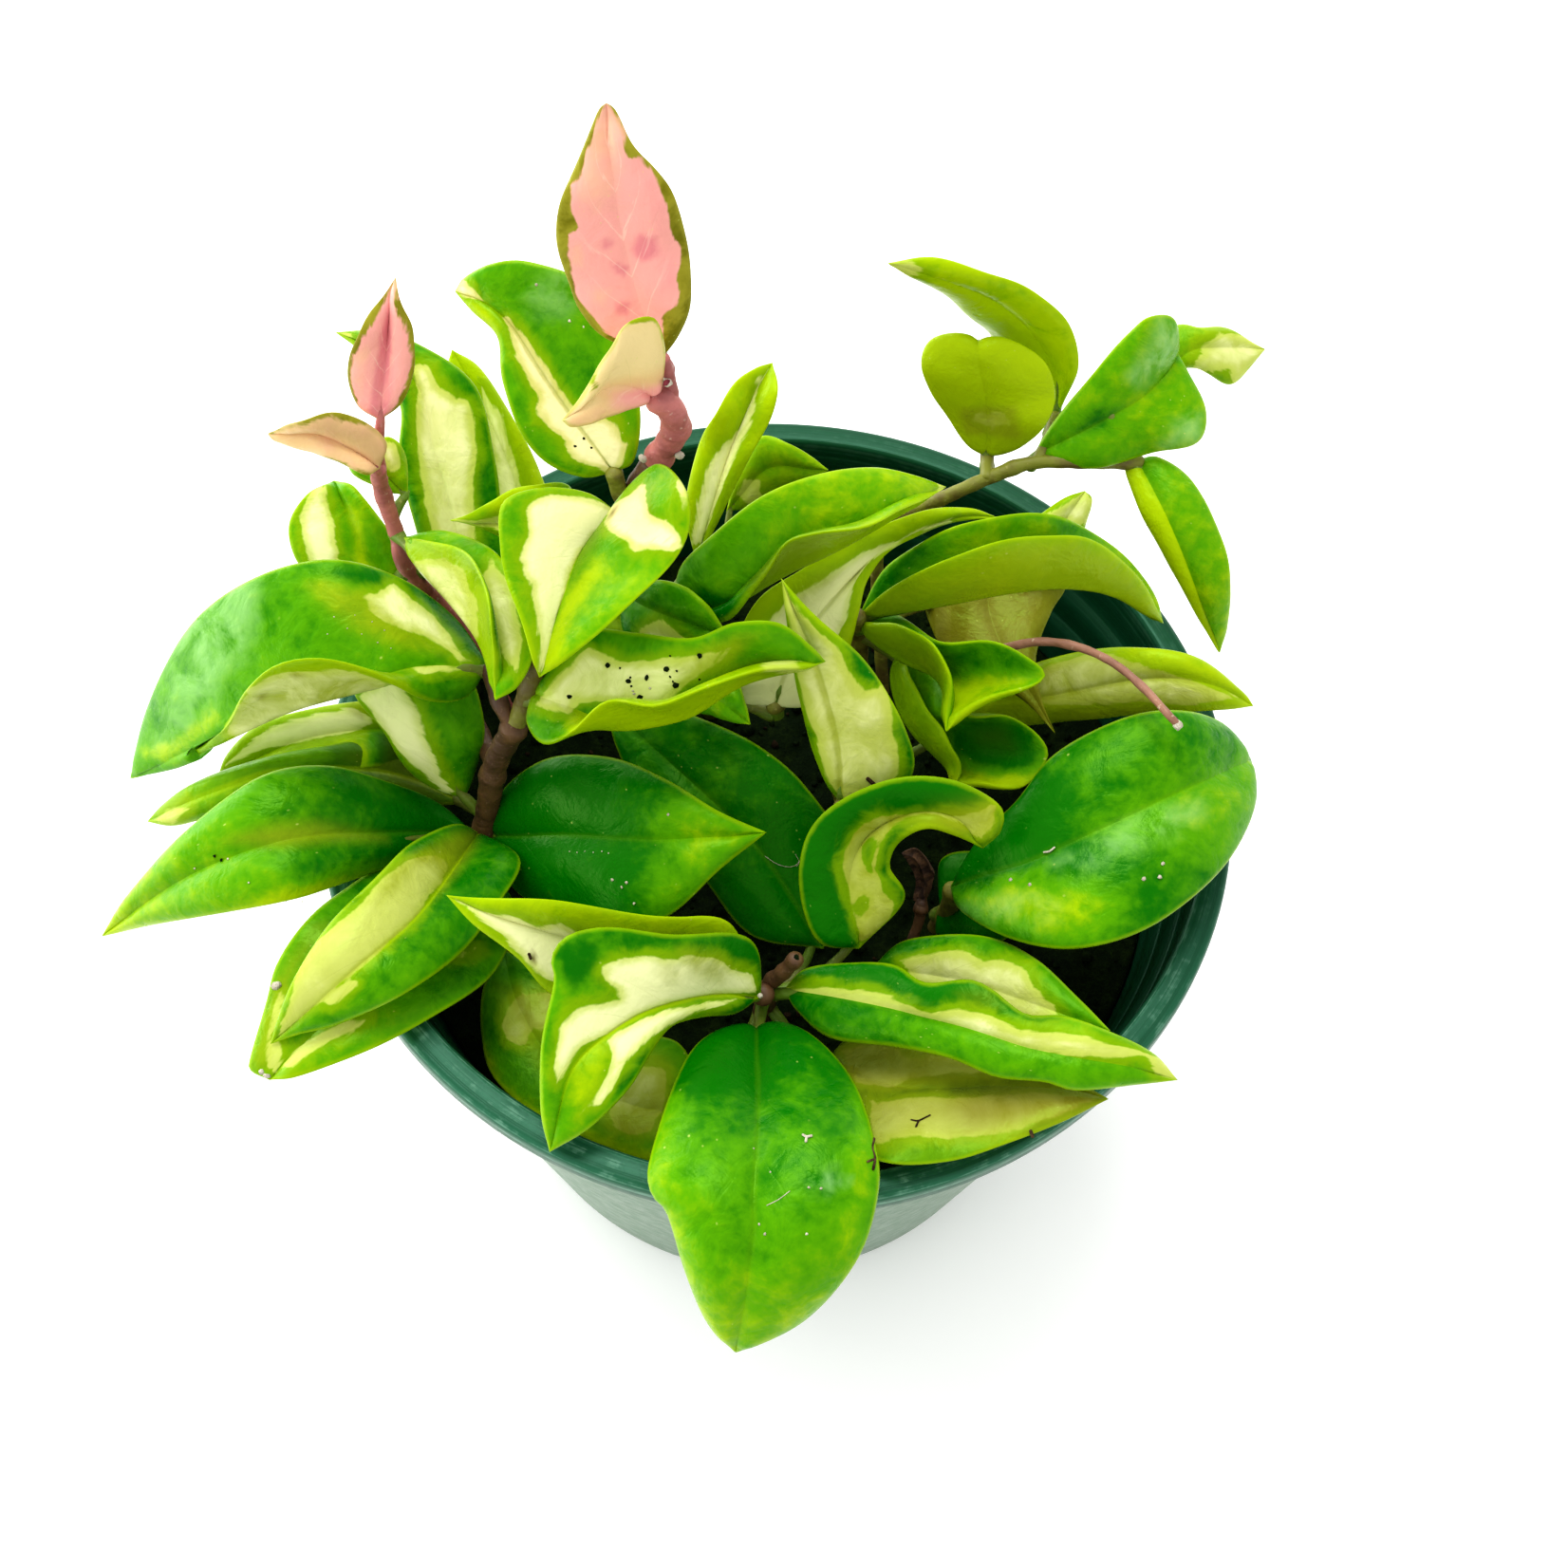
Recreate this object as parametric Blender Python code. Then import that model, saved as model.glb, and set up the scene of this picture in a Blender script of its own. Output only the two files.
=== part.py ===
"""Tricolor hoya carnosa in a nursery pot.

A young wax plant with cream-and-green leaves and pink new growth stands in a
round tapered plastic pot filled with dark soil.  Lengths are named in
millimetres and turned into metres when a mesh is made.  The origin is the
centre of the pot's base, +Z is up and the front of the plant faces -Y.

The leaves and stems were placed by eye: each of their points names the pixel
of the 1652 x 1652 photograph where it is seen and its height in millimetres,
and `seen` turns the two into a place.
"""

from collections import namedtuple
from math import cos, pi, radians, sin

import bmesh
import bpy
from mathutils import Vector

MM = 0.001

# Pot: a six-inch azalea pot.
RIM_RADIUS = 76.0
POT_HEIGHT = 108.0
BASE_RADIUS = 54.7
WALL = 1.8
FLOOR = 2.2
LIP_WIDTH = 4.8
LIP_DEPTH = 5.4
LEDGE_DEPTHS = (10.0, 17.0)
LEDGE_STEP = 0.7
DRAIN_COUNT = 8
DRAIN_RADIUS = 4.0
DRAIN_CIRCLE = 41.0
POT_SIDES = 60

# Soil, and the holes that the stems stand in.
SOIL_DEPTH = 26.0
SOIL_GAP = 0.4
SOIL_BUMP = 1.1
SOIL_SIDES = 40
STEM_FOOT = 74.0
HOLE_PLAY = 0.9
HOLE_FLOOR = 72.4
HOLE_SIDES = 8
GAP = 0.3

# Leaves and stems.
BLADE_THICKNESS = 1.3
BLADE_STEPS = 7
HALF_STEPS = 2
BLADE_DOME = 0.5
LEAF_FOOT_WIDTH = 1.8
LEAF_TIP_WIDTH = 0.9
PETIOLE_RADIUS = 1.15
PETIOLE_SINK = 0.35
TUBE_SIDES = 5
STALK_SIDES = 4
TUBE_STEP = 8.0

# The camera that took the photograph.
PHOTO_CENTRE = 826.0
PHOTO_FOCAL = 1950.0
EYE = Vector((0.0, -2.12 * RIM_RADIUS, POT_HEIGHT + 3.485 * RIM_RADIUS))
EYE_PAN = radians(0.37)
EYE_TILT = radians(59.25)
EYE_ROLL = radians(3.03)

Leaf = namedtuple("Leaf", "stem rib left right foot")
Stem = namedtuple("Stem", "stem radius path")


def ground(x, y, height):
    """A point given in millimetres in the part's own frame."""
    return Vector((x, y, height))


def eye_axes():
    """The camera's right, up and forward directions."""
    forward = Vector((sin(EYE_PAN) * cos(EYE_TILT), cos(EYE_PAN) * cos(EYE_TILT), -sin(EYE_TILT)))
    level = Vector((cos(EYE_PAN), -sin(EYE_PAN), 0.0))
    up = level.cross(forward)
    right = cos(EYE_ROLL) * level + sin(EYE_ROLL) * up
    return right, cos(EYE_ROLL) * up - sin(EYE_ROLL) * level, forward


EYE_RIGHT, EYE_UP, EYE_FORWARD = eye_axes()


def seen(x, y, height):
    """The point at this height that the photograph shows at pixel (x, y)."""
    ray = EYE_FORWARD + EYE_RIGHT * ((x - PHOTO_CENTRE) / PHOTO_FOCAL)
    ray = ray - EYE_UP * ((y - PHOTO_CENTRE) / PHOTO_FOCAL)
    return EYE + ray * ((height - EYE.z) / ray.z)


def place(point):
    """Turn a table entry into a point: a Vector as it is, or (pixel x, pixel y, height)."""
    return point if isinstance(point, Vector) else seen(*point)


# Stems: which plant stem they belong to, their radius and their path.
STEMS = (
    Stem("left_stem", 2.0, (ground(-50, -4, STEM_FOOT), (511, 885, 98), (515, 845, 108),
                            (522, 805, 116), (541, 768, 124))),
    Stem("left_stem", 1.3, ((541, 768, 124), (527, 741, 127), (515, 706, 128))),
    Stem("left_stem", 1.6, ((541, 768, 124), (552, 742, 128), (566, 700, 135))),
    Stem("left_stem", 1.5, ((522, 812, 114), (506, 772, 113), (484, 738, 113), (470, 712, 113))),
    Stem("left_shoot", 1.3, (ground(-46, 20, STEM_FOOT), ground(-56, 25, 105), (430, 600, 131),
                             (418, 563, 137), (402, 515, 146), (398, 495, 152))),
    Stem("centre_shoot", 1.9, (ground(-28, 30, STEM_FOOT), (660, 570, 130), (661, 535, 142),
                               (678, 502, 149), (694, 482, 154))),
    Stem("centre_shoot", 2.1, ((694, 482, 154), (712, 452, 161), (707, 432, 166), (696, 420, 168))),
    Stem("centre_shoot", 1.0, ((708, 440, 164), (706, 405, 170), (699, 378, 175))),
    Stem("centre_shoot", 1.4, ((664, 537, 142), (655, 524, 145), (647, 499, 150))),
    Stem("back_stem", 1.6, (ground(-12, 28, STEM_FOOT), (712, 650, 118), (705, 630, 126),
                            (712, 640, 130))),
    Stem("middle_stem", 1.6, (ground(14, -2, STEM_FOOT), ground(14, -6, 104), (888, 850, 118))),
    Stem("middle_stem", 1.4, (ground(14, -2, 84), ground(8, 10, 100), ground(3, 12, 112),
                              (815, 745, 117))),
    Stem("right_back_stem", 1.6, (ground(16, 12, STEM_FOOT), (905, 690, 110), (903, 650, 124))),
    Stem("right_back_stem", 1.2, ((904, 665, 118), (960, 640, 115), (1040, 612, 113), (1080, 608, 118))),
    Stem("right_back_stem", 0.8, ((903, 650, 122), (950, 650, 119), (1010, 662, 121), (1065, 678, 125),
                                  (1100, 677, 128), (1140, 683, 130), (1175, 700, 132),
                                  (1205, 725, 133), (1230, 752, 134), (1243, 766, 133))),
    Stem("vine_stem", 1.2, (ground(20, 30, STEM_FOOT), (925, 570, 112), (960, 540, 120), (1000, 522, 125),
                            (1045, 502, 128), (1090, 487, 130), (1150, 487, 130), (1200, 487, 129))),
    Stem("vine_stem", 1.2, ((1040, 503, 128), (1040, 480, 128))),
    Stem("vine_stem", 1.0, ((1092, 487, 130), (1105, 460, 132), (1112, 438, 134))),
    Stem("right_stem", 1.6, (ground(28, -15, STEM_FOOT), (1000, 955, 92), (1003, 938, 103))),
    Stem("front_stem", 1.8, (ground(0, -36, STEM_FOOT), (806, 1050, 96), (804, 1048, 104))),
    Stem("front_stem", 0.95, ((803, 1046, 100), (820, 1028, 106), (838, 1011, 111))),
    Stem("dried_leaf", 0.9, (ground(17, -37, STEM_FOOT), (963, 985, 90), (971, 952, 95))),
)

# Leaves: their midrib from foot to tip, their two margins between those ends (left
# and right as seen from above, facing the tip), and where the leaf stalk starts.
LEAVES = {
    # Left stem.
    "left_arch": Leaf(
        "left_stem",
        rib=((515, 702, 128), (440, 706, 133), (395, 722, 135), (340, 740, 134), (290, 758, 130),
             (235, 782, 124), (190, 800, 117), (137, 820, 109)),
        left=((490, 735, 125), (448, 738, 130), (400, 712, 140), (340, 695, 146), (290, 700, 145),
              (258, 727, 139), (238, 765, 129), (200, 796, 118)),
        right=((478, 650, 130), (425, 610, 138), (350, 589, 144), (270, 608, 141), (198, 662, 132),
               (155, 745, 119)),
        foot=((516, 708, 127),)),
    "far_left": Leaf(
        "left_stem",
        rib=((500, 880, 101), (400, 884, 113), (300, 892, 121), (200, 925, 116), (107, 987, 101)),
        left=((440, 903, 104), (350, 935, 116), (300, 950, 119), (230, 963, 116), (160, 975, 108)),
        right=((460, 845, 104), (400, 820, 114), (340, 807, 121), (270, 820, 124), (190, 880, 119),
               (135, 942, 109)),
        foot=((512, 876, 100),)),
    "left_under": Leaf(
        "left_stem",
        rib=((495, 847, 99), (400, 815, 108), (300, 812, 117), (220, 838, 115), (155, 866, 108)),
        left=((430, 850, 104), (330, 850, 112), (240, 858, 113), (185, 870, 110)),
        right=((460, 802, 100), (400, 779, 108), (340, 786, 115), (270, 800, 117), (205, 826, 114),
               (172, 848, 110)),
        foot=((512, 858, 104),)),
    "left_cream": Leaf(
        "left_stem",
        rib=((470, 765, 105), (400, 768, 109), (320, 780, 113), (228, 822, 111)),
        left=((440, 800, 104), (385, 810, 110), (310, 815, 113), (260, 822, 112)),
        right=((440, 740, 109), (390, 738, 112), (330, 746, 115), (272, 764, 115), (240, 793, 113)),
        foot=((480, 738, 112),)),
    "cream_down": Leaf(
        "left_stem",
        rib=((489, 842, 107), (455, 780, 118), (425, 710, 124), (405, 640, 128)),
        left=((440, 820, 110), (402, 770, 116), (373, 730, 121), (372, 680, 125)),
        right=((500, 815, 110), (511, 765, 117), (490, 700, 122), (445, 650, 127)),
        foot=((512, 862, 104),)),
    "bright_stripe": Leaf(
        "left_stem",
        rib=((505, 877, 103), (440, 965, 117), (370, 1025, 121), (285, 1100, 113)),
        left=((548, 905, 108), (530, 945, 112), (490, 1000, 115), (430, 1045, 118), (360, 1078, 117),
              (315, 1090, 115)),
        right=((478, 868, 109), (432, 889, 116), (395, 925, 121), (345, 975, 123), (310, 1030, 121),
               (292, 1075, 116)),
        foot=((512, 882, 99),)),
    "stripe_under": Leaf(
        "left_stem",
        rib=((512, 905, 97), (440, 1000, 108), (360, 1065, 113), (278, 1134, 110)),
        left=((545, 960, 97), (530, 1010, 102), (500, 1045, 107), (440, 1080, 111), (380, 1110, 113),
              (320, 1130, 112)),
        right=((430, 900, 106), (355, 942, 114), (318, 975, 117), (292, 1015, 115), (281, 1055, 113),
               (268, 1110, 111)),
        foot=((511, 890, 96),)),
    "dark_spade": Leaf(
        "left_stem",
        rib=((518, 880, 102), (600, 880, 113), (700, 882, 119), (808, 877, 120)),
        left=((530, 833, 108), (575, 800, 115), (640, 797, 120), (700, 820, 123), (755, 853, 123)),
        right=((545, 940, 100), (600, 965, 106), (650, 978, 110), (705, 965, 113), (760, 915, 118)),
        foot=((512, 878, 100),)),
    "pepper_leaf": Leaf(
        "left_stem",
        rib=((560, 730, 131), (600, 745, 132), (650, 766, 131), (720, 756, 132), (785, 718, 136),
             (870, 697, 141)),
        left=((590, 690, 136), (622, 663, 140), (670, 667, 142), (730, 672, 144), (775, 655, 148),
              (820, 655, 148), (855, 682, 144)),
        right=((555, 762, 129), (573, 784, 130), (603, 768, 137), (640, 741, 143), (690, 744, 144),
               (745, 724, 145), (800, 704, 145), (850, 703, 142)),
        foot=((555, 738, 129),)),
    # Left pink shoot.
    "pink_small": Leaf(
        "left_shoot",
        rib=((400, 443, 160), (405, 400, 165), (410, 340, 172), (417, 292, 178)),
        left=((375, 425, 162), (366, 390, 167), (378, 348, 173), (402, 315, 176)),
        right=((424, 424, 162), (437, 385, 167), (433, 345, 173), (421, 312, 177)),
        foot=((398, 495, 151), (399, 468, 156))),
    "peach_small": Leaf(
        "left_shoot",
        rib=((400, 494, 154), (370, 473, 157), (335, 455, 159), (303, 452, 159), (282, 457, 158)),
        left=((384, 500, 155), (350, 484, 156), (315, 474, 156), (290, 465, 157)),
        right=((407, 465, 158), (378, 441, 162), (340, 437, 164), (306, 446, 162)),
        foot=((400, 505, 149),)),
    "left_high_back": Leaf(
        "left_shoot",
        rib=((412, 620, 127), (380, 570, 132), (352, 506, 136)),
        left=((350, 625, 128), (315, 595, 132), (304, 555, 135), (322, 522, 137)),
        right=((440, 605, 127), (425, 580, 130), (400, 545, 134), (373, 513, 137)),
        foot=((428, 603, 130),)),
    "curled_pale": Leaf(
        "left_shoot",
        rib=((424, 566, 138), (447, 600, 138), (475, 633, 137), (504, 672, 137), (517, 705, 136),
             (522, 738, 136)),
        left=((470, 560, 140), (520, 580, 143), (552, 630, 142), (562, 685, 139), (546, 722, 137)),
        right=((448, 569, 141), (482, 577, 145), (503, 598, 147), (517, 640, 147), (522, 680, 143),
               (521, 715, 138)),
        foot=((417, 562, 137),)),
    "back_left_tall": Leaf(
        "left_shoot",
        rib=((490, 600, 128), (478, 545, 133), (455, 470, 141), (440, 410, 147), (400, 372, 150),
             (353, 350, 150)),
        left=((455, 600, 128), (433, 540, 134), (420, 480, 141), (422, 430, 146), (405, 395, 149),
              (375, 366, 150)),
        right=((528, 600, 129), (528, 540, 134), (521, 480, 140), (500, 405, 147), (440, 362, 151),
               (390, 349, 151)),
        foot=((430, 598, 131), (455, 604, 128))),
    "back_left_tall2": Leaf(
        "left_shoot",
        rib=((560, 590, 122), (540, 500, 131), (510, 430, 139), (476, 368, 146)),
        left=((520, 590, 123), (500, 500, 131), (478, 430, 139), (470, 395, 143)),
        right=((590, 560, 123), (572, 505, 130), (549, 455, 136), (508, 390, 143)),
        foot=((455, 604, 128), (510, 605, 123))),
    "small_back": Leaf(
        "left_shoot",
        rib=((430, 522, 142), (400, 498, 145), (365, 488, 146)),
        left=((415, 518, 142), (390, 510, 144), (372, 500, 145)),
        right=((428, 480, 146), (410, 460, 149), (385, 470, 149)),
        foot=((411, 545, 140),)),
    # Centre pink shoot.
    "star_leaf": Leaf(
        "centre_shoot",
        rib=((656, 545, 148), (612, 590, 147), (590, 640, 145), (568, 714, 143)),
        left=((690, 489, 158), (722, 515, 161), (725, 560, 158), (700, 605, 154), (650, 650, 151),
              (602, 690, 147)),
        right=((620, 519, 152), (570, 514, 155), (529, 530, 156), (527, 580, 154), (545, 640, 151),
               (560, 690, 147)),
        foot=((661, 537, 142),)),
    "mid_back": Leaf(
        "centre_shoot",
        rib=((648, 497, 150), (610, 450, 154), (568, 393, 159), (538, 345, 163), (510, 318, 165),
             (479, 307, 165)),
        left=((615, 503, 150), (575, 487, 152), (545, 450, 156), (529, 400, 160), (524, 355, 163),
              (497, 328, 164)),
        right=((668, 485, 152), (675, 435, 157), (660, 360, 164), (620, 300, 169), (560, 276, 171),
               (520, 277, 170), (490, 292, 167)),
        foot=((650, 508, 148),)),
    "pink_big": Leaf(
        "centre_shoot",
        rib=((699, 376, 175), (676, 320, 181), (660, 255, 188), (650, 190, 196), (638, 108, 205)),
        left=((640, 356, 176), (606, 300, 183), (588, 250, 190), (596, 190, 198), (618, 140, 203)),
        right=((722, 335, 179), (727, 275, 186), (715, 210, 194), (690, 172, 199), (660, 140, 203)),
        foot=((702, 390, 172),)),
    "pink_curl": Leaf(
        "centre_shoot",
        rib=((696, 420, 168), (665, 408, 171), (630, 412, 173), (592, 443, 172)),
        left=((682, 425, 168), (650, 437, 169), (620, 447, 170), (602, 450, 171)),
        right=((701, 372, 178), (690, 335, 184), (658, 341, 184), (640, 372, 180), (618, 410, 175)),
        foot=((704, 428, 166),)),
    "horn_leaf": Leaf(
        "centre_shoot",
        rib=((605, 560, 139), (540, 552, 143), (474, 548, 146)),
        left=((590, 590, 138), (540, 572, 141), (505, 556, 144)),
        right=((600, 512, 145), (555, 512, 148), (518, 528, 148), (495, 541, 147)),
        foot=((660, 572, 129), (635, 566, 134))),
    "under_star": Leaf(
        "centre_shoot",
        rib=((655, 625, 130), (705, 648, 134), (768, 668, 134)),
        left=((690, 611, 136), (722, 618, 138), (745, 638, 138)),
        right=((660, 670, 127), (705, 685, 129), (745, 684, 132)),
        foot=((661, 592, 120), (652, 612, 126))),
    "under_star_low": Leaf(
        "centre_shoot",
        rib=((600, 640, 122), (650, 652, 124), (690, 664, 125)),
        left=((620, 622, 124), (660, 622, 127), (686, 640, 127)),
        right=((600, 665, 120), (640, 675, 122), (670, 675, 123)),
        foot=((661, 598, 116), (625, 625, 118))),
    # Back stem.
    "centre_up_right": Leaf(
        "back_stem",
        rib=((733, 592, 128), (755, 520, 135), (780, 450, 142), (814, 382, 149)),
        left=((722, 535, 134), (736, 470, 141), (756, 430, 147), (775, 402, 149), (796, 388, 150)),
        right=((752, 560, 131), (776, 510, 137), (800, 465, 143), (819, 415, 149)),
        foot=((705, 630, 126), (718, 612, 126))),
    "back_strip": Leaf(
        "back_stem",
        rib=((765, 540, 119), (810, 492, 127), (873, 495, 128)),
        left=((775, 500, 125), (800, 460, 131), (830, 467, 132), (855, 482, 130)),
        right=((800, 530, 119), (840, 510, 124)),
        foot=(ground(-13, 27, 92), ground(-12, 34, 108))),
    "big_green_centre": Leaf(
        "back_stem",
        rib=((712, 645, 130), (760, 640, 134), (820, 608, 139), (880, 580, 143), (940, 545, 146),
             (997, 513, 143)),
        left=((715, 600, 136), (745, 568, 142), (800, 524, 148), (860, 500, 152), (920, 492, 151),
              (962, 501, 147)),
        right=((765, 655, 134), (800, 615, 141), (825, 573, 149), (858, 562, 153), (912, 555, 153),
               (952, 537, 150)),
        foot=((708, 640, 128),)),
    # Middle stem.
    "cream_right_back": Leaf(
        "middle_stem",
        rib=((815, 745, 117), (835, 690, 126), (870, 640, 131), (930, 580, 135), (1000, 545, 136),
             (1051, 545, 133)),
        left=((775, 735, 118), (775, 680, 127), (800, 630, 134), (850, 597, 138), (910, 562, 140),
              (970, 538, 140), (1020, 535, 136)),
        right=((858, 740, 118), (892, 690, 125), (905, 645, 131), (915, 610, 134), (945, 577, 136),
               (1000, 552, 135)),
        foot=((818, 752, 113),)),
    "spear_leaf": Leaf(
        "middle_stem",
        rib=((888, 848, 118), (880, 780, 128), (865, 720, 136), (845, 660, 143), (823, 609, 148)),
        left=((868, 820, 121), (848, 765, 129), (836, 700, 137), (828, 650, 144)),
        right=((938, 850, 118), (963, 810, 123), (955, 770, 129), (932, 725, 135), (903, 687, 140),
               (860, 650, 145)),
        foot=((888, 855, 115),)),
    "small_tip": Leaf(
        "middle_stem",
        rib=((728, 728, 121), (760, 740, 124), (791, 763, 122)),
        left=((745, 715, 123), (775, 717, 125), (786, 742, 124)),
        right=((735, 748, 120), (765, 758, 121)),
        foot=((812, 752, 113), (765, 735, 115))),
    # Right back stem.
    "right_arch": Leaf(
        "right_back_stem",
        rib=((905, 648, 123), (950, 641, 126), (1000, 634, 128), (1060, 624, 130), (1120, 619, 129),
             (1175, 627, 125), (1226, 657, 117)),
        left=((928, 603, 131), (960, 578, 137), (1000, 556, 142), (1045, 545, 145), (1090, 540, 145),
              (1130, 549, 142), (1175, 577, 134), (1212, 620, 123)),
        right=((930, 626, 130), (965, 605, 137), (1000, 587, 142), (1050, 570, 144), (1100, 564, 142),
               (1150, 569, 137), (1200, 610, 126)),
        foot=((904, 655, 121),)),
    "pale_tip_back": Leaf(
        "right_back_stem",
        rib=((1080, 610, 119), (1120, 550, 126), (1143, 517, 129)),
        left=((1060, 570, 124), (1098, 540, 127), (1122, 524, 129)),
        right=((1135, 590, 121), (1144, 555, 125), (1151, 527, 128)),
        foot=((1060, 612, 115),)),
    "under_right": Leaf(
        "right_back_stem",
        rib=((1040, 600, 116), (1045, 660, 114), (1085, 728, 114), (1112, 773, 113)),
        left=((1120, 610, 116), (1108, 645, 115), (1092, 690, 115), (1097, 735, 114)),
        right=((975, 610, 115), (985, 670, 111), (1020, 710, 111), (1080, 735, 113)),
        foot=((1040, 612, 112),)),
    "twist_green": Leaf(
        "right_back_stem",
        rib=((903, 655, 122), (945, 688, 120), (985, 710, 120), (999, 735, 121), (997, 771, 124)),
        left=((940, 645, 123), (990, 675, 130), (1045, 675, 134), (1080, 690, 134), (1100, 714, 132),
              (1050, 732, 129), (1015, 752, 126)),
        right=((925, 657, 126), (957, 661, 130), (985, 680, 132), (999, 710, 130), (998, 745, 126)),
        foot=((904, 662, 119),)),
    "cup_green": Leaf(
        "right_back_stem",
        rib=((950, 688, 114), (944, 722, 110), (962, 770, 108), (998, 806, 108), (1006, 829, 110)),
        left=((988, 695, 117), (1015, 750, 120), (1065, 756, 121), (1104, 792, 118), (1078, 830, 114),
              (1035, 827, 112)),
        right=((955, 702, 117), (975, 742, 116), (998, 780, 115), (1012, 805, 113)),
        foot=((904, 668, 116), (925, 680, 114))),
    "right_low_pale": Leaf(
        "right_back_stem",
        rib=((1000, 745, 102), (1100, 735, 107), (1200, 715, 114), (1265, 718, 116), (1321, 744, 112)),
        left=((1060, 712, 104), (1130, 687, 111), (1200, 682, 117), (1260, 692, 118), (1308, 727, 114)),
        right=((1060, 765, 101), (1150, 757, 105), (1220, 752, 110), (1290, 748, 113)),
        foot=(ground(15, 16, 88), ground(24, 11, 97))),
    # Vine.
    "heart_up": Leaf(
        "vine_stem",
        rib=((1040, 482, 128), (1038, 430, 138), (1030, 380, 147), (1030, 358, 148)),
        left=((1016, 465, 130), (988, 425, 136), (971, 388, 143), (978, 360, 147), (1005, 350, 149)),
        right=((1075, 472, 131), (1103, 445, 137), (1112, 415, 141), (1100, 380, 146), (1062, 357, 149)),
        foot=((1040, 492, 127),)),
    "sickle": Leaf(
        "vine_stem",
        rib=((1112, 440, 133), (1115, 395, 140), (1090, 350, 147), (1050, 315, 154), (1000, 294, 160),
             (935, 277, 164)),
        left=((1102, 443, 132), (1066, 400, 134), (1044, 352, 141), (1015, 328, 148), (978, 298, 156)),
        right=((1120, 425, 136), (1137, 385, 143), (1125, 340, 151), (1090, 309, 157), (1045, 288, 161),
               (985, 271, 164)),
        foot=((1106, 458, 131),)),
    "wing_green": Leaf(
        "vine_stem",
        rib=((1088, 480, 130), (1150, 448, 135), (1205, 415, 139), (1240, 370, 142)),
        left=((1110, 444, 135), (1150, 395, 142), (1190, 350, 148), (1212, 333, 151), (1237, 336, 149)),
        right=((1150, 494, 130), (1215, 477, 132), (1262, 466, 134), (1271, 432, 137), (1252, 392, 140)),
        foot=((1085, 490, 129),)),
    "torn_tip": Leaf(
        "vine_stem",
        rib=((1215, 400, 132), (1262, 368, 136), (1333, 368, 134)),
        left=((1235, 345, 137), (1265, 345, 138), (1292, 346, 137)),
        right=((1230, 392, 132), (1262, 388, 133), (1298, 405, 131)),
        foot=((1170, 440, 136),)),
    "right_hang": Leaf(
        "vine_stem",
        rib=((1198, 484, 129), (1230, 550, 126), (1255, 610, 119), (1285, 688, 106)),
        left=((1222, 482, 130), (1258, 508, 129), (1290, 575, 123), (1297, 625, 117), (1293, 660, 110)),
        right=((1185, 495, 128), (1205, 545, 124), (1230, 590, 119), (1262, 645, 112)),
        foot=((1190, 487, 129),)),
    # Right stem.
    "big_right": Leaf(
        "right_stem",
        rib=((1001, 935, 104), (1080, 905, 116), (1170, 865, 124), (1250, 825, 124), (1318, 800, 116)),
        left=((1030, 885, 110), (1070, 845, 117), (1110, 796, 122), (1180, 757, 127), (1240, 748, 128),
              (1288, 762, 122)),
        right=((1015, 962, 105), (1070, 991, 112), (1140, 999, 117), (1220, 972, 119), (1290, 912, 118),
               (1322, 850, 116)),
        foot=((1002, 941, 101),)),
    "right_dark": Leaf(
        "right_stem",
        rib=((990, 955, 89), (1040, 953, 95), (1100, 950, 98)),
        left=((993, 905, 92), (1040, 900, 97)),
        right=((990, 990, 87), (1050, 995, 93)),
        foot=(ground(28.5, -15.5, 86),)),
    # Front stem.
    "dark_behind": Leaf(
        "front_stem",
        rib=((868, 1000, 97), (800, 900, 105), (720, 820, 110), (640, 745, 111)),
        left=((790, 985, 97), (740, 925, 102), (690, 870, 106), (650, 790, 109)),
        right=((888, 900, 103), (850, 830, 109), (800, 786, 112), (740, 757, 114), (685, 740, 113)),
        foot=((808, 1048, 94), (840, 1026, 94))),
    "curl_leaf": Leaf(
        "front_stem",
        rib=((905, 1000, 104), (893, 930, 111), (912, 880, 116), (955, 858, 119), (1005, 862, 120),
             (1036, 894, 118)),
        left=((862, 992, 107), (842, 935, 113), (850, 880, 119), (885, 842, 124), (940, 821, 127),
              (1005, 823, 127), (1053, 848, 124), (1055, 875, 121)),
        right=((953, 948, 109), (937, 915, 114), (945, 888, 118), (975, 874, 121), (1005, 880, 120)),
        foot=((806, 1048, 99), (860, 1030, 100))),
    "cream_fold_front": Leaf(
        "front_stem",
        rib=((802, 1050, 106), (745, 1048, 111), (690, 1062, 115), (640, 1092, 117), (600, 1130, 117),
             (579, 1214, 112)),
        left=((775, 1068, 107), (740, 1072, 110), (707, 1082, 113), (685, 1112, 115), (662, 1148, 115),
              (622, 1188, 114)),
        right=((798, 1000, 113), (772, 983, 118), (705, 985, 124), (640, 977, 127), (598, 985, 128),
               (580, 1008, 127), (583, 1035, 125), (570, 1100, 121), (570, 1170, 116)),
        foot=((805, 1049, 102),)),
    "cream_fold_back": Leaf(
        "front_stem",
        rib=((792, 1018, 105), (700, 1000, 112), (600, 985, 119), (530, 965, 124), (470, 943, 127)),
        left=((740, 1040, 103), (650, 1060, 109), (585, 1050, 114), (545, 1010, 120), (500, 975, 125)),
        right=((768, 972, 114), (715, 966, 119), (650, 959, 123), (590, 949, 127), (530, 948, 128)),
        foot=((805, 1047, 99),)),
    "pot_left_shadow": Leaf(
        "front_stem",
        rib=((745, 1175, 86), (660, 1165, 88), (590, 1125, 88), (545, 1060, 90), (530, 1000, 90)),
        left=((700, 1226, 87), (620, 1203, 87), (563, 1175, 87), (519, 1134, 87), (507, 1090, 89),
              (509, 1040, 91)),
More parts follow.
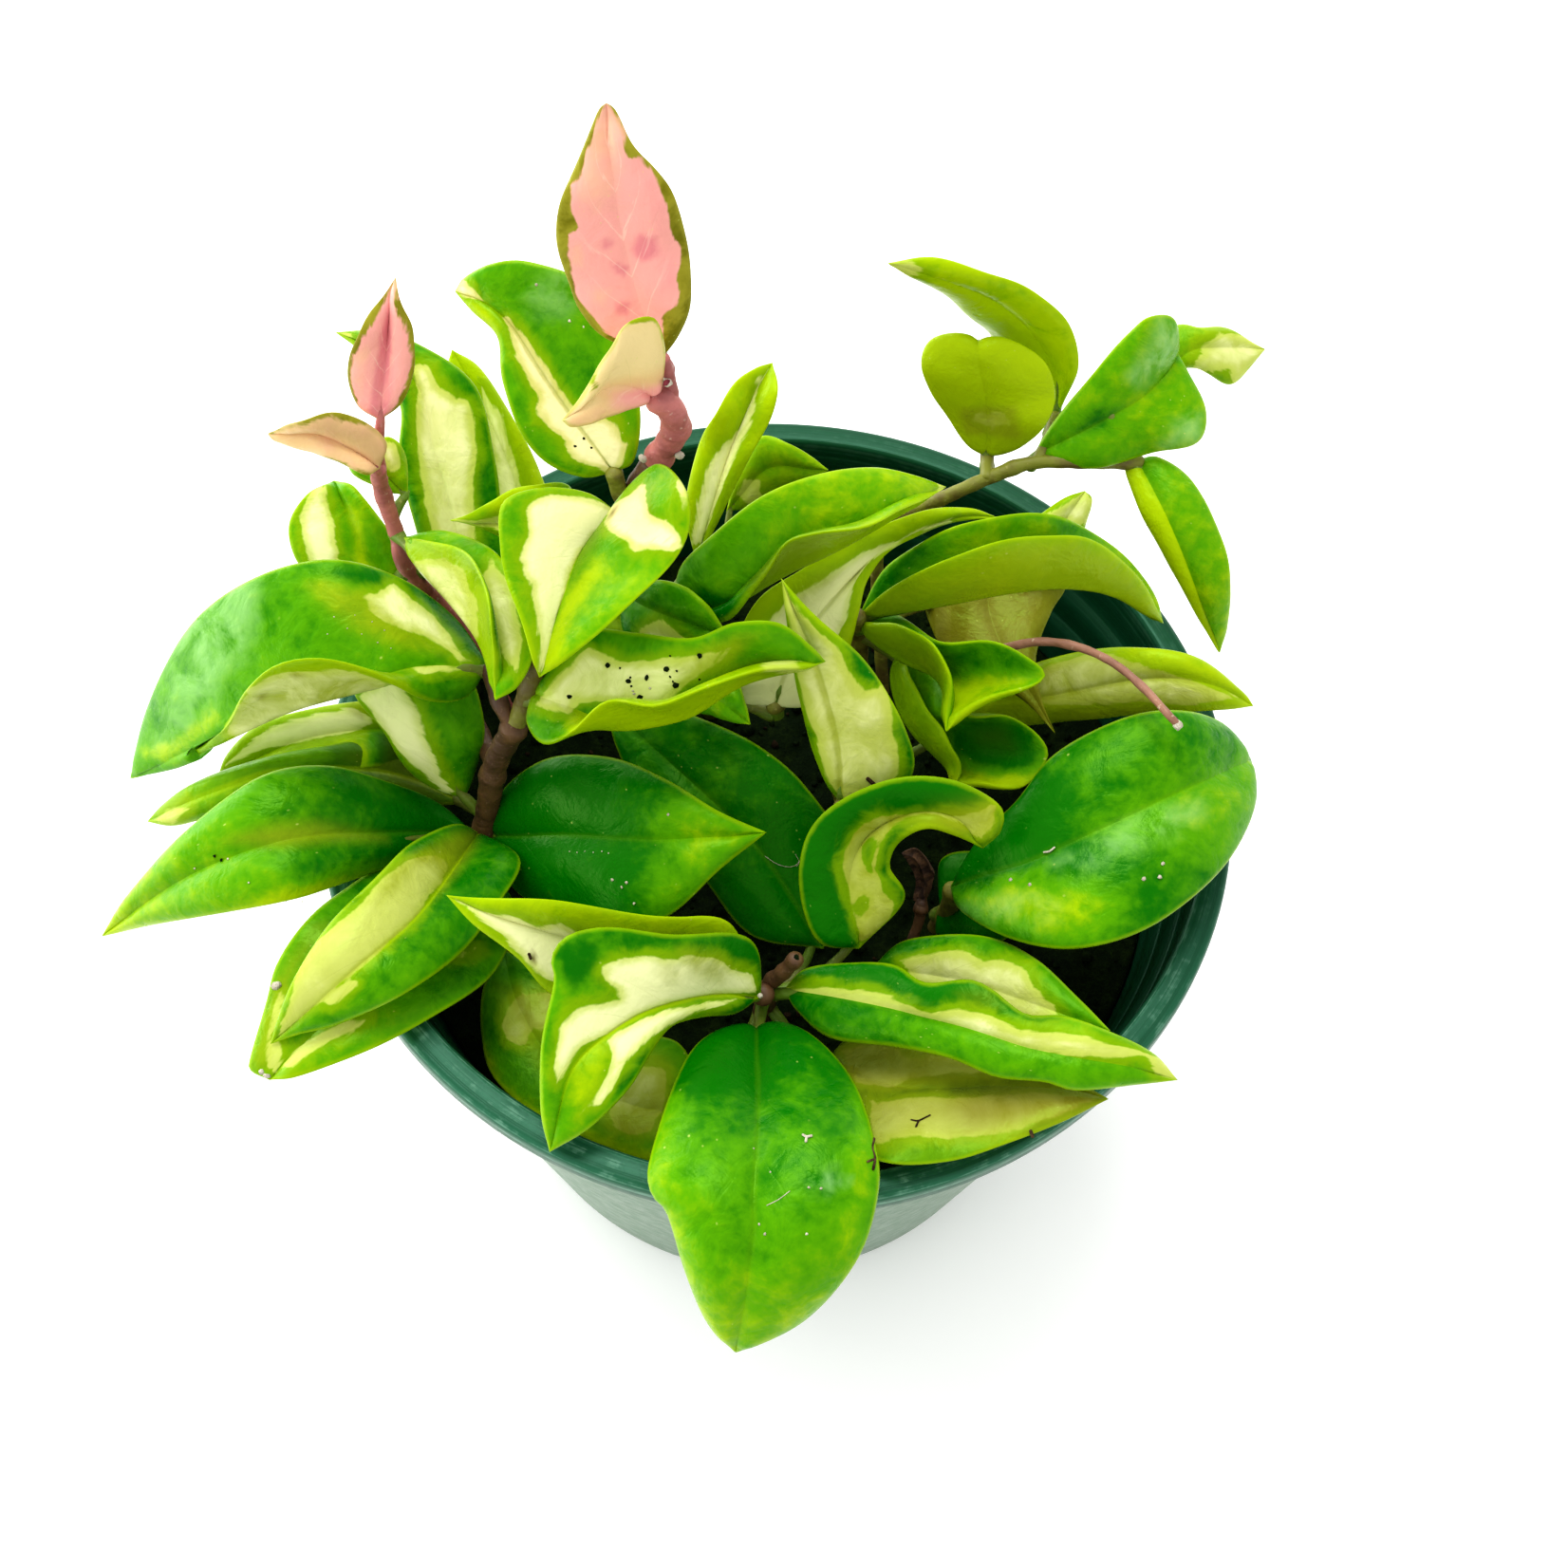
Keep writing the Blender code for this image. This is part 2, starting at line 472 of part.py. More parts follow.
        right=((700, 1120, 87), (640, 1085, 89), (590, 1030, 89)),
        foot=((804, 1056, 87), (780, 1110, 85))),
    "front_big": Leaf(
        "front_stem",
        rib=((797, 1085, 102), (795, 1160, 114), (790, 1250, 119), (782, 1340, 116), (775, 1425, 104)),
        left=((828, 1078, 104), (862, 1095, 109), (900, 1140, 114), (922, 1205, 118), (926, 1255, 118),
              (905, 1325, 115), (850, 1390, 108)),
        right=((768, 1082, 104), (730, 1105, 109), (703, 1160, 114), (683, 1225, 117), (686, 1258, 117),
               (703, 1278, 116), (722, 1340, 112), (745, 1392, 107)),
        foot=((804, 1052, 97),)),
    "right_stripe": Leaf(
        "front_stem",
        rib=((826, 1042, 104), (900, 1055, 110), (1000, 1078, 116), (1100, 1108, 119), (1180, 1122, 119),
             (1241, 1138, 116)),
        left=((850, 1020, 107), (900, 1014, 111), (945, 1017, 115), (975, 1035, 118), (1020, 1032, 121),
              (1045, 1042, 121), (1080, 1068, 121), (1120, 1070, 121), (1165, 1085, 121),
              (1215, 1110, 118)),
        right=((840, 1065, 104), (875, 1094, 107), (940, 1102, 112), (1000, 1115, 115), (1050, 1135, 116),
               (1100, 1140, 117), (1135, 1149, 117), (1200, 1143, 117)),
        foot=((806, 1048, 101),)),
    "right_behind": Leaf(
        "front_stem",
        rib=((918, 1020, 97), (1000, 1030, 104), (1080, 1055, 110), (1170, 1086, 113)),
        left=((950, 993, 100), (1000, 984, 106), (1050, 989, 108), (1095, 1013, 111), (1140, 1055, 113)),
        right=((960, 1062, 96), (1040, 1085, 103), (1110, 1098, 109)),
        foot=((808, 1050, 94), (860, 1040, 95))),
    "right_low_cream": Leaf(
        "front_stem",
        rib=((870, 1120, 98), (950, 1148, 105), (1050, 1145, 109), (1120, 1150, 113), (1168, 1158, 114)),
        left=((900, 1090, 96), (960, 1095, 101), (1060, 1115, 107), (1130, 1138, 112)),
        right=((890, 1200, 106), (935, 1226, 112), (1000, 1222, 112), (1060, 1206, 113),
               (1120, 1182, 114)),
        foot=((806, 1055, 91), (835, 1090, 93))),
    # A withered leaf that still stands behind the curled one.
    "withered": Leaf(
        "dried_leaf",
        rib=((971, 950, 95), (976, 925, 99), (966, 905, 103), (950, 899, 105)),
        left=((979, 940, 96), (983, 920, 101), (968, 895, 105)),
        right=((962, 948, 95), (965, 928, 98), (959, 914, 101)),
        foot=((970, 958, 94),)),
}


def curve_through(points, steps):
    """Even steps along a smooth (Catmull-Rom) curve through the points."""
    fine = 16
    ends = [2 * points[0] - points[1], *points, 2 * points[-1] - points[-2]]
    dense = []
    for a, b, c, d in zip(ends, ends[1:], ends[2:], ends[3:]):
        for k in range(fine):
            t = k / fine
            dense.append(0.5 * (2 * b + (c - a) * t + (2 * a - 5 * b + 4 * c - d) * t * t
                                + (3 * b - a - 3 * c + d) * t * t * t))
    dense.append(points[-1])
    reach = [0.0]
    for a, b in zip(dense, dense[1:]):
        reach.append(reach[-1] + (b - a).length)
    even, k = [], 0
    for step in range(steps + 1):
        want = reach[-1] * step / steps
        while k < len(reach) - 2 and reach[k + 1] < want:
            k += 1
        span = reach[k + 1] - reach[k]
        even.append(dense[k].lerp(dense[k + 1], (want - reach[k]) / span if span else 0.0))
    return even


def blade_surface(leaf):
    """The middle surface of a leaf, as rows of points from its foot to its tip."""
    rib = [place(p) for p in leaf.rib]
    middle = curve_through(rib, BLADE_STEPS)
    margins = [curve_through([rib[0]] + [place(p) for p in side] + [rib[-1]], BLADE_STEPS)
               for side in (leaf.left, leaf.right)]
    rows = []
    for i, centre in enumerate(middle):
        row = []
        for j in range(-HALF_STEPS, HALF_STEPS + 1):
            v = abs(j) / HALF_STEPS
            edge = margins[0 if j < 0 else 1][i]
            dome = 4 * BLADE_DOME * v * (1 - v) * sin(pi * i / BLADE_STEPS)
            row.append(centre.lerp(edge, v) + Vector((0, 0, dome)))
        rows.append(row)
    for end, beside, width in ((0, 1, LEAF_FOOT_WIDTH), (-1, -2, LEAF_TIP_WIDTH)):
        across = (rows[beside][-1] - rows[beside][0]).normalized() * width / 2
        rows[end] = [middle[end] + across * (j / HALF_STEPS) for j in range(-HALF_STEPS, HALF_STEPS + 1)]
    return rows


def surface_normals(rows):
    """The upward direction at each point of a surface made of rows."""
    last, wide = len(rows) - 1, len(rows[0]) - 1
    normals = []
    for i in range(last + 1):
        line = []
        for j in range(wide + 1):
            along = rows[min(i + 1, last)][j] - rows[max(i - 1, 0)][j]
            across = rows[i][min(j + 1, wide)] - rows[i][max(j - 1, 0)]
            line.append(across.cross(along).normalized())
        normals.append(line)
    return normals


def metres(point):
    """A point in millimetres as metres."""
    return point * MM


def mesh_object(name, bm, material=None):
    """Put a finished bmesh into a new object."""
    bmesh.ops.recalc_face_normals(bm, faces=bm.faces)
    mesh = bpy.data.meshes.new(name)
    bm.to_mesh(mesh)
    bm.free()
    obj = bpy.data.objects.new(name, mesh)
    bpy.context.scene.collection.objects.link(obj)
    if material:
        mesh.materials.append(material)
    return obj


def surface_material(name, colour, roughness):
    """A plain Principled material."""
    material = bpy.data.materials.new(name)
    material.use_nodes = True
    shader = material.node_tree.nodes["Principled BSDF"]
    shader.inputs["Base Color"].default_value = (*colour, 1.0)
    shader.inputs["Roughness"].default_value = roughness
    shader.inputs["Metallic"].default_value = 0.0
    return material


def leaf_blade(name, leaf):
    """A leaf blade of even thickness, split into the same triangles above and below."""
    rows = blade_surface(leaf)
    normals = surface_normals(rows)
    bm = bmesh.new()
    faces = []
    for side in (0.5, -0.5):
        faces.append([[bm.verts.new(metres(p + n * side * BLADE_THICKNESS)) for p, n in zip(row, line)]
                      for row, line in zip(rows, normals)])
    top, under = faces
    last, wide = len(rows) - 1, len(rows[0]) - 1
    for i in range(last):
        for j in range(wide):
            for a, b, c in (((i, j), (i + 1, j), (i + 1, j + 1)), ((i, j), (i + 1, j + 1), (i, j + 1))):
                bm.faces.new([top[k][m] for k, m in (a, b, c)])
                bm.faces.new([under[k][m] for k, m in (c, b, a)])
    border = ([(i, 0) for i in range(last)] + [(last, j) for j in range(wide)]
              + [(i, wide) for i in range(last, 0, -1)] + [(0, j) for j in range(wide, 0, -1)])
    for (i, j), (k, m) in zip(border, border[1:] + border[:1]):
        bm.faces.new([top[i][j], under[i][j], under[k][m], top[k][m]])
    return mesh_object(name, bm)


def tube(name, path, radius, steps, end_radius=None, sides=TUBE_SIDES):
    """A closed round tube along a smooth path."""
    line = curve_through(path, steps)
    bm = bmesh.new()
    rings = []
    side = None
    for i, centre in enumerate(line):
        along = (line[min(i + 1, steps)] - line[max(i - 1, 0)]).normalized()
        if side is None:
            side = along.cross(Vector((0.31, 1.0, 0.17))).normalized()
        side = (side - along * side.dot(along)).normalized()
        other = along.cross(side)
        r = radius + ((end_radius or radius) - radius) * i / steps
        rings.append([bm.verts.new(metres(centre + side * (r * cos(2 * pi * k / sides))
                                          + other * (r * sin(2 * pi * k / sides))))
                      for k in range(sides)])
    for low, high in zip(rings, rings[1:]):
        for k in range(sides):
            n = (k + 1) % sides
            bm.faces.new((low[k], low[n], high[n], high[k]))
    bm.faces.new(rings[0][::-1])
    bm.faces.new(rings[-1])
    return mesh_object(name, bm)


def leaf_stalk(name, leaf):
    """The short stalk of a leaf, from its stem to under the foot of its midrib."""
    rib = curve_through([place(p) for p in leaf.rib], 20)
    path = [place(p) for p in leaf.foot] + [rib[1], rib[2]]
    path = path[:len(leaf.foot)] + [p - Vector((0, 0, PETIOLE_SINK)) for p in path[len(leaf.foot):]]
    return tube(name, path, PETIOLE_RADIUS, 2 + len(leaf.foot), PETIOLE_RADIUS * 0.8, STALK_SIDES)


def path_length(points):
    """The length of a path of straight pieces."""
    return sum((b - a).length for a, b in zip(points, points[1:]))


def apply_modifiers(obj):
    """Replace an object's mesh by what its modifiers make of it."""
    evaluated = obj.evaluated_get(bpy.context.evaluated_depsgraph_get())
    mesh = bpy.data.meshes.new_from_object(evaluated)
    old = obj.data
    obj.modifiers.clear()
    obj.data = mesh
    mesh.name = obj.name
    bpy.data.meshes.remove(old)


def fuse(obj, others):
    """Join other closed solids into the object as one body."""
    parts = bpy.data.collections.new(obj.name + "_parts")
    bpy.context.scene.collection.children.link(parts)
    for other in others:
        parts.objects.link(other)
        bpy.context.scene.collection.objects.unlink(other)
    union = obj.modifiers.new("fuse", "BOOLEAN")
    union.operation = "UNION"
    union.operand_type = "COLLECTION"
    union.collection = parts
    union.solver = "MANIFOLD"
    apply_modifiers(obj)
    for other in list(parts.objects):
        mesh = other.data
        bpy.data.objects.remove(other)
        bpy.data.meshes.remove(mesh)
    bpy.data.collections.remove(parts)


def leafy_stem(name, material):
    """One stem of the plant with everything that grows on it, as one body."""
    pieces = []
    for index, stem in enumerate(s for s in STEMS if s.stem == name):
        path = [place(p) for p in stem.path]
        steps = max(3, round(path_length(path) / TUBE_STEP))
        pieces.append(tube("%s_tube_%d" % (name, index), path, stem.radius, steps))
    for leaf_name, leaf in LEAVES.items():
        if leaf.stem == name:
            pieces.append(leaf_blade(leaf_name + "_blade", leaf))
            pieces.append(leaf_stalk(leaf_name + "_stalk", leaf))
    body = pieces[0]
    body.name = name
    body.data.materials.append(material)
    fuse(body, pieces[1:])
    return body


def lathe(name, profile, sides, material):
    """A closed solid turned about the pot's axis from an outline of (radius, height)."""
    bm = bmesh.new()
    loops = []
    for radius, height in profile:
        if radius == 0.0:
            loops.append([bm.verts.new(metres(Vector((0, 0, height))))])
            continue
        loops.append([bm.verts.new(metres(Vector((radius * cos(2 * pi * k / sides),
                                                  radius * sin(2 * pi * k / sides), height))))
                      for k in range(sides)])
    for low, high in zip(loops, loops[1:]):
        for k in range(sides):
            n = (k + 1) % sides
            ring = [low[k % len(low)], low[n % len(low)], high[n % len(high)], high[k % len(high)]]
            bm.faces.new(list(dict.fromkeys(ring)))
    return mesh_object(name, bm, material)


def wall_radius(height):
    """The outer radius of the pot's wall at a height, without its lip."""
    return BASE_RADIUS + (RIM_RADIUS - 2.4 - BASE_RADIUS) * height / POT_HEIGHT


def inner_radius(height):
    """The inner radius of the pot's wall at a height."""
    ledges = sum(LEDGE_STEP for depth in LEDGE_DEPTHS if height < POT_HEIGHT - depth)
    return wall_radius(height) - WALL - ledges + LEDGE_STEP * len(LEDGE_DEPTHS) * (height > FLOOR) * 0.5


def cutter(name, radius, low, high, x, y, sides=HOLE_SIDES):
    """A hidden upright cylinder that a Boolean takes away."""
    bm = bmesh.new()
    bmesh.ops.create_cone(bm, cap_ends=True, segments=sides, radius1=radius * MM, radius2=radius * MM,
                          depth=(high - low) * MM)
    bmesh.ops.translate(bm, verts=bm.verts, vec=metres(Vector((x, y, (high + low) / 2))))
    return mesh_object(name, bm)


def take_away(obj, cutters):
    """Cut holes in the object, and remove the cutters."""
    for tool in cutters:
        cut = obj.modifiers.new("hole", "BOOLEAN")
        cut.operation = "DIFFERENCE"
        cut.object = tool
    apply_modifiers(obj)
    for tool in cutters:
        mesh = tool.data
        bpy.data.objects.remove(tool)
        bpy.data.meshes.remove(mesh)


def make_pot():
    """The pot: a tapered wall, a rolled lip, stacking ledges and drain holes."""
    plastic = surface_material("teal_plastic", (0.03, 0.14, 0.11), 0.38)
    lip_low = POT_HEIGHT - LIP_DEPTH
    outline = [(0.0, 0.0), (BASE_RADIUS - 1.2, 0.0), (BASE_RADIUS, 1.4),
               (wall_radius(lip_low - 1.0), lip_low - 1.0), (RIM_RADIUS - 1.2, lip_low),
               (RIM_RADIUS, lip_low + 1.4), (RIM_RADIUS, POT_HEIGHT - 1.2),
               (RIM_RADIUS - 1.2, POT_HEIGHT), (RIM_RADIUS - LIP_WIDTH + 0.8, POT_HEIGHT),
               (RIM_RADIUS - LIP_WIDTH, POT_HEIGHT - 0.9)]
    for depth in LEDGE_DEPTHS:
        step = POT_HEIGHT - depth
        outline += [(inner_radius(step + 0.5), step + 0.5), (inner_radius(step - 0.3), step - 0.3)]
    outline += [(inner_radius(FLOOR + 2.0), FLOOR + 2.0), (inner_radius(FLOOR + 2.0) - 2.0, FLOOR),
                (0.0, FLOOR)]
    pot = lathe("pot", outline, POT_SIDES, plastic)
    holes = []
    for k in range(DRAIN_COUNT):
        turn = 2 * pi * (k + 0.5) / DRAIN_COUNT
        holes.append(cutter("drain_%d" % k, DRAIN_RADIUS, -3.0, FLOOR + 3.0,
                            DRAIN_CIRCLE * cos(turn), DRAIN_CIRCLE * sin(turn)))
    take_away(pot, holes)
    return pot


def soil_top(x, y):
    """The height of the soil: level, with low bumps."""
    level = POT_HEIGHT - SOIL_DEPTH
    return level + SOIL_BUMP * (0.6 * sin(0.21 * x + 0.4) * cos(0.17 * y) + 0.4 * sin(0.33 * y - 0.19 * x))


def make_soil():
    """The soil, as one plug that fills the pot, with a plain hole for each stem."""
    earth = surface_material("dark_soil", (0.035, 0.025, 0.02), 0.95)
    bm = bmesh.new()
    top_radius = inner_radius(POT_HEIGHT - SOIL_DEPTH) - SOIL_GAP
    floor = FLOOR + GAP
    rings = [(0.0, floor), (inner_radius(FLOOR + 2.0) - 2.0 - SOIL_GAP, floor),
             (inner_radius(FLOOR + 2.0) - SOIL_GAP, FLOOR + 2.0 + GAP)]
    loops = [[bm.verts.new(metres(Vector((0, 0, floor))))]]
    for radius, height in rings[1:]:
        loops.append([bm.verts.new(metres(Vector((radius * cos(2 * pi * k / SOIL_SIDES),
                                                  radius * sin(2 * pi * k / SOIL_SIDES), height))))
                      for k in range(SOIL_SIDES)])
    for share in (1.0, 0.86, 0.7, 0.53, 0.36, 0.18, 0.0):
        radius = top_radius * share
        count = SOIL_SIDES if share else 1
        loop = []
        for k in range(count):
            x, y = radius * cos(2 * pi * k / SOIL_SIDES), radius * sin(2 * pi * k / SOIL_SIDES)
            height = POT_HEIGHT - SOIL_DEPTH if share == 1.0 else soil_top(x, y)
            loop.append(bm.verts.new(metres(Vector((x, y, height)))))
        loops.append(loop)
    for low, high in zip(loops, loops[1:]):
        for k in range(SOIL_SIDES):
            n = (k + 1) % SOIL_SIDES
            ring = [low[k % len(low)], low[n % len(low)], high[n % len(high)], high[k % len(high)]]
            bm.faces.new(list(dict.fromkeys(ring)))
    bmesh.ops.triangulate(bm, faces=bm.faces)
    soil = mesh_object("soil", bm, earth)
    holes = []
    for index, stem in enumerate(STEMS):
        foot = stem.path[0]
        if isinstance(foot, Vector) and foot.z == STEM_FOOT:
            above = place(stem.path[1])
            lean = (above - foot) / (above.z - foot.z)
            high = POT_HEIGHT - SOIL_DEPTH + 3.0
            middle = foot + lean * ((high - STEM_FOOT) / 2)
            reach = lean.xy.length * (high - STEM_FOOT) / 2
            holes.append(cutter("stem_hole_%d" % index, stem.radius + reach + HOLE_PLAY,
                                HOLE_FLOOR, high, middle.x, middle.y))
    take_away(soil, holes)
    return soil


def main():
    """Build the pot, the soil and every stem of the plant."""
    for obj in list(bpy.data.objects):
        bpy.data.objects.remove(obj)
    make_pot()
    make_soil()
    green = surface_material("leaf_green", (0.12, 0.36, 0.02), 0.32)
    lime = surface_material("leaf_lime", (0.26, 0.46, 0.04), 0.32)
    cream = surface_material("leaf_cream", (0.72, 0.74, 0.38), 0.34)
    pink = surface_material("leaf_pink", (0.82, 0.36, 0.32), 0.36)
    brown = surface_material("withered_brown", (0.16, 0.08, 0.05), 0.7)
    for name, material in (("left_stem", green), ("left_shoot", pink), ("centre_shoot", pink),
                           ("back_stem", lime), ("middle_stem", cream), ("right_back_stem", lime),
                           ("vine_stem", lime), ("right_stem", green), ("front_stem", cream),
                           ("dried_leaf", brown)):
        leafy_stem(name, material)


main()
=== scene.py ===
"""Looks of a potted tricolor hoya carnosa.

A young wax plant with folded, curled and arching leaves stands in a round
teal nursery pot.  Its leaves are cream in the middle with green margins, or
plain green, and the newest ones are pink.  Lengths are in millimetres and
turn into metres when a mesh is made.  +Z is up, the front of the plant faces
-Y and the origin is the centre of the pot's base.

The plant's points name the pixel of the 1652 x 1652 photograph where each is
seen and its height in millimetres; PhotoCamera turns the two into a place.
The tables write points as text: spots("515,702,128") is a column, a row and
a height, and pixels("500,699") is a column and a row.
"""
import logging
import math
from dataclasses import dataclass
from enum import Enum
from functools import partial
from typing import NamedTuple, Sequence, Union

import bmesh
import bpy
import numpy as np
from mathutils import Matrix, Vector, noise


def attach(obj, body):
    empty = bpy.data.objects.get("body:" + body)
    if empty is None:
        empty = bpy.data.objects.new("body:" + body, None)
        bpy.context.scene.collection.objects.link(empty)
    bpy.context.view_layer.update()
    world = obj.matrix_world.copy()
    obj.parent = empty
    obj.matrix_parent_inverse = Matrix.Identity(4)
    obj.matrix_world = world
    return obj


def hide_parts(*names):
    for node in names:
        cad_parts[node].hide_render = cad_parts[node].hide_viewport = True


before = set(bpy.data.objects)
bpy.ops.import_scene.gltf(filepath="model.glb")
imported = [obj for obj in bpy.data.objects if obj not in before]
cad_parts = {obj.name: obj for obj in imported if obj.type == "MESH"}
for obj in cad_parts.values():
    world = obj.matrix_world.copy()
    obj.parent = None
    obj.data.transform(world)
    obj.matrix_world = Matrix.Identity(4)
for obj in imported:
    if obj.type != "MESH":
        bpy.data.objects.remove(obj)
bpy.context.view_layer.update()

BODY = "root"
MM = 0.001
TINY = 1e-9
# In metres: points of a mesh this close are welded, and edges this short are dropped.
WELD, SLIVER = 2e-6, 1e-7
LOG = logging.getLogger("hoya")


@dataclass(frozen=True)
class PhotoCamera:
    """The camera that took the photograph, fitted to the ellipse of the pot's rim."""

    image_size: float = 1652.0
    focal: float = 1950.0
    sensor: float = 36.0
    eye: tuple[float, float, float] = (0.0, -161.12, 372.86)
    pan_degrees: float = 0.37
    tilt_degrees: float = 59.25
    roll_degrees: float = 3.03

    def axes(self) -> tuple[np.ndarray, np.ndarray, np.ndarray]:
        """The camera's right, up and forward directions."""
        pan, tilt, roll = (math.radians(a) for a in (self.pan_degrees, self.tilt_degrees, self.roll_degrees))
        forward = np.array([math.sin(pan) * math.cos(tilt), math.cos(pan) * math.cos(tilt), -math.sin(tilt)])
        level = np.array([math.cos(pan), -math.sin(pan), 0.0])
        up = np.cross(level, forward)
        right = math.cos(roll) * level + math.sin(roll) * up
        return right, math.cos(roll) * up - math.sin(roll) * level, forward

    def seen(self, x: float, y: float, height: float) -> np.ndarray:
        """The point at a height that the photograph shows at a pixel.

        Args:
            x: the pixel's column.
            y: the pixel's row.
            height: the height above the pot's base in millimetres.

        Returns:
            The point in millimetres.
        """
        right, up, forward = self.axes()
        middle = self.image_size / 2
        ray = forward + right * ((x - middle) / self.focal) - up * ((y - middle) / self.focal)
        eye = np.array(self.eye)
        return eye + ray * ((height - eye[2]) / ray[2])

    def pixels(self, points: np.ndarray) -> np.ndarray:
        """The pixels at which points are seen.

        Args:
            points: an array of points in millimetres, with x, y, z last.

        Returns:
            An array of the same shape, with column and row last.
        """
        right, up, forward = self.axes()
        away = points - np.array(self.eye)
        depth = away @ forward
        middle = self.image_size / 2
        return np.stack([middle + self.focal * (away @ right) / depth,
                         middle - self.focal * (away @ up) / depth], axis=-1)

    def build(self) -> None:
        """Make the scene's camera."""
        data = bpy.data.cameras.new("photo_camera")
        data.sensor_width = self.sensor
        data.lens = self.focal * self.sensor / self.image_size
        camera = bpy.data.objects.new("photo_camera", data)
        right, up, forward = (Vector(a) for a in self.axes())
        turn = Matrix((right, up, -forward)).transposed().to_4x4()
        camera.matrix_world = Matrix.Translation(Vector(self.eye) * MM) @ turn
        bpy.context.scene.collection.objects.link(camera)
        bpy.context.scene.camera = camera


CAMERA = PhotoCamera()


class Ground(NamedTuple):
    """A point in millimetres in the object's own frame."""

    x: float
    y: float
    z: float


class Seen(NamedTuple):
    """A point by the pixel that shows it and its height in millimetres."""

    x: float
    y: float
    height: float


Path = Sequence[Union[Ground, Seen]]
Outline = Sequence[tuple[float, float]]
Colour = tuple[float, float, float]
Material = bpy.types.Material


def spots(text: str) -> tuple[Seen, ...]:
    """Points from text such as "515,702,128 440,706,133": column, row and height."""
    return tuple(Seen(*map(float, word.split(","))) for word in text.split())


def pixels(text: str) -> Outline:
    """Pixels from text such as "500,699 488,697": column and row."""
    return tuple(tuple(map(float, word.split(","))) for word in text.split())


def place(spot: Union[Ground, Seen]) -> np.ndarray:
    """The point in millimetres that a table entry stands for."""
    return np.array(spot, float) if isinstance(spot, Ground) else CAMERA.seen(*spot)


def places(path: Path) -> np.ndarray:
    """The points in millimetres that a row of table entries stands for."""
    return np.array([place(spot) for spot in path])


def curve_through(points: np.ndarray, shares: np.ndarray) -> np.ndarray:
    """Points at given shares of the length of a smooth curve.

    Args:
        points: the points that the (Catmull-Rom) curve goes through.
        shares: shares of the curve's length, from 0 to 1.

    Returns:
        One point for each share.
    """
    fine = np.linspace(0.0, 1.0, 16, endpoint=False)[:, None]
    ends = np.vstack([2 * points[0] - points[1], points, 2 * points[-1] - points[-2]])
    dense = []
    for a, b, c, d in zip(ends, ends[1:], ends[2:], ends[3:]):
        dense.append(0.5 * (2 * b + (c - a) * fine + (2 * a - 5 * b + 4 * c - d) * fine ** 2
                            + (3 * b - a - 3 * c + d) * fine ** 3))
    line = np.vstack(dense + [points[-1:]])
    reach = np.concatenate([[0.0], np.cumsum(np.linalg.norm(np.diff(line, axis=0), axis=1))])
    return np.stack([np.interp(shares * reach[-1], reach, line[:, k]) for k in range(3)], axis=-1)


def unit(vectors: np.ndarray) -> np.ndarray:
    """Vectors brought to length one."""
    return vectors / np.maximum(np.linalg.norm(vectors, axis=-1, keepdims=True), TINY)


def smooth_step(low: float, high: float, value: np.ndarray) -> np.ndarray:
    """A smooth rise from 0 to 1 between two values."""
    t = np.clip((value - low) / (high - low), 0.0, 1.0)
    return t * t * (3 - 2 * t)


def signed_distance(points: np.ndarray, outline: Outline) -> np.ndarray:
    """How far points lie inside a closed outline, negative outside.

    Args:
        points: an array of 2-D points.
        outline: the outline's corners in order.

    Returns:
        A distance for each point.
    """
    corners = np.array(outline, float)
    nearest = np.full(points.shape[:-1], np.inf)
    inside = np.zeros(points.shape[:-1], bool)
    for a, b in zip(corners, np.roll(corners, -1, axis=0)):
        edge = b - a
        t = np.clip(((points - a) @ edge) / max(edge @ edge, TINY), 0.0, 1.0)
        nearest = np.minimum(nearest, np.linalg.norm(points - a - t[..., None] * edge, axis=-1))
        crosses = (a[1] > points[..., 1]) != (b[1] > points[..., 1])
        rise = edge[1] if abs(edge[1]) > TINY else TINY
        inside ^= crosses & (points[..., 0] < a[0] + edge[0] * (points[..., 1] - a[1]) / rise)
    return np.where(inside, nearest, -nearest)


def wrapped_grid(skin: np.ndarray, fields: dict[str, np.ndarray] | None = None) -> bmesh.types.BMesh:
    """Lay a flat grid onto a skin and weld it where its edges meet.

    Args:
        skin: the place in millimetres of each grid point, as rows and columns.
        fields: values for each grid point, kept as attributes of the mesh.

    Returns:
        The closed mesh.
    """
    rows, columns = skin.shape[0] - 1, skin.shape[1] - 1
    bm = bmesh.new()
    bmesh.ops.create_grid(bm, x_segments=columns, y_segments=rows, size=1.0)
    layers = {name: bm.verts.layers.float.new(name) for name in fields or {}}
    for vert in bm.verts:
        i = round((vert.co.y + 1) / 2 * rows)
        j = round((vert.co.x + 1) / 2 * columns)
        vert.co = Vector(skin[i, j]) * MM
        for name, layer in layers.items():
            vert[layer] = float(fields[name][i, j])
    bmesh.ops.remove_doubles(bm, verts=bm.verts, dist=WELD)
    bmesh.ops.dissolve_degenerate(bm, edges=bm.edges, dist=SLIVER)
    bmesh.ops.recalc_face_normals(bm, faces=bm.faces)
    return bm


def linked(name: str, bm: bmesh.types.BMesh, materials: Sequence[Material] = ()) -> bpy.types.Object:
    """Turn a bmesh into an object of the scene.

    Args:
        name: the object's name.
        bm: the mesh, which is freed.
        materials: its materials, by the faces' material index.

    Returns:
        The new object.
    """
    mesh = bpy.data.meshes.new(name)
    bm.to_mesh(mesh)
    bm.free()
    for material in materials:
        mesh.materials.append(material)
    made = bpy.data.objects.new(name, mesh)
    bpy.context.scene.collection.objects.link(made)
    return made


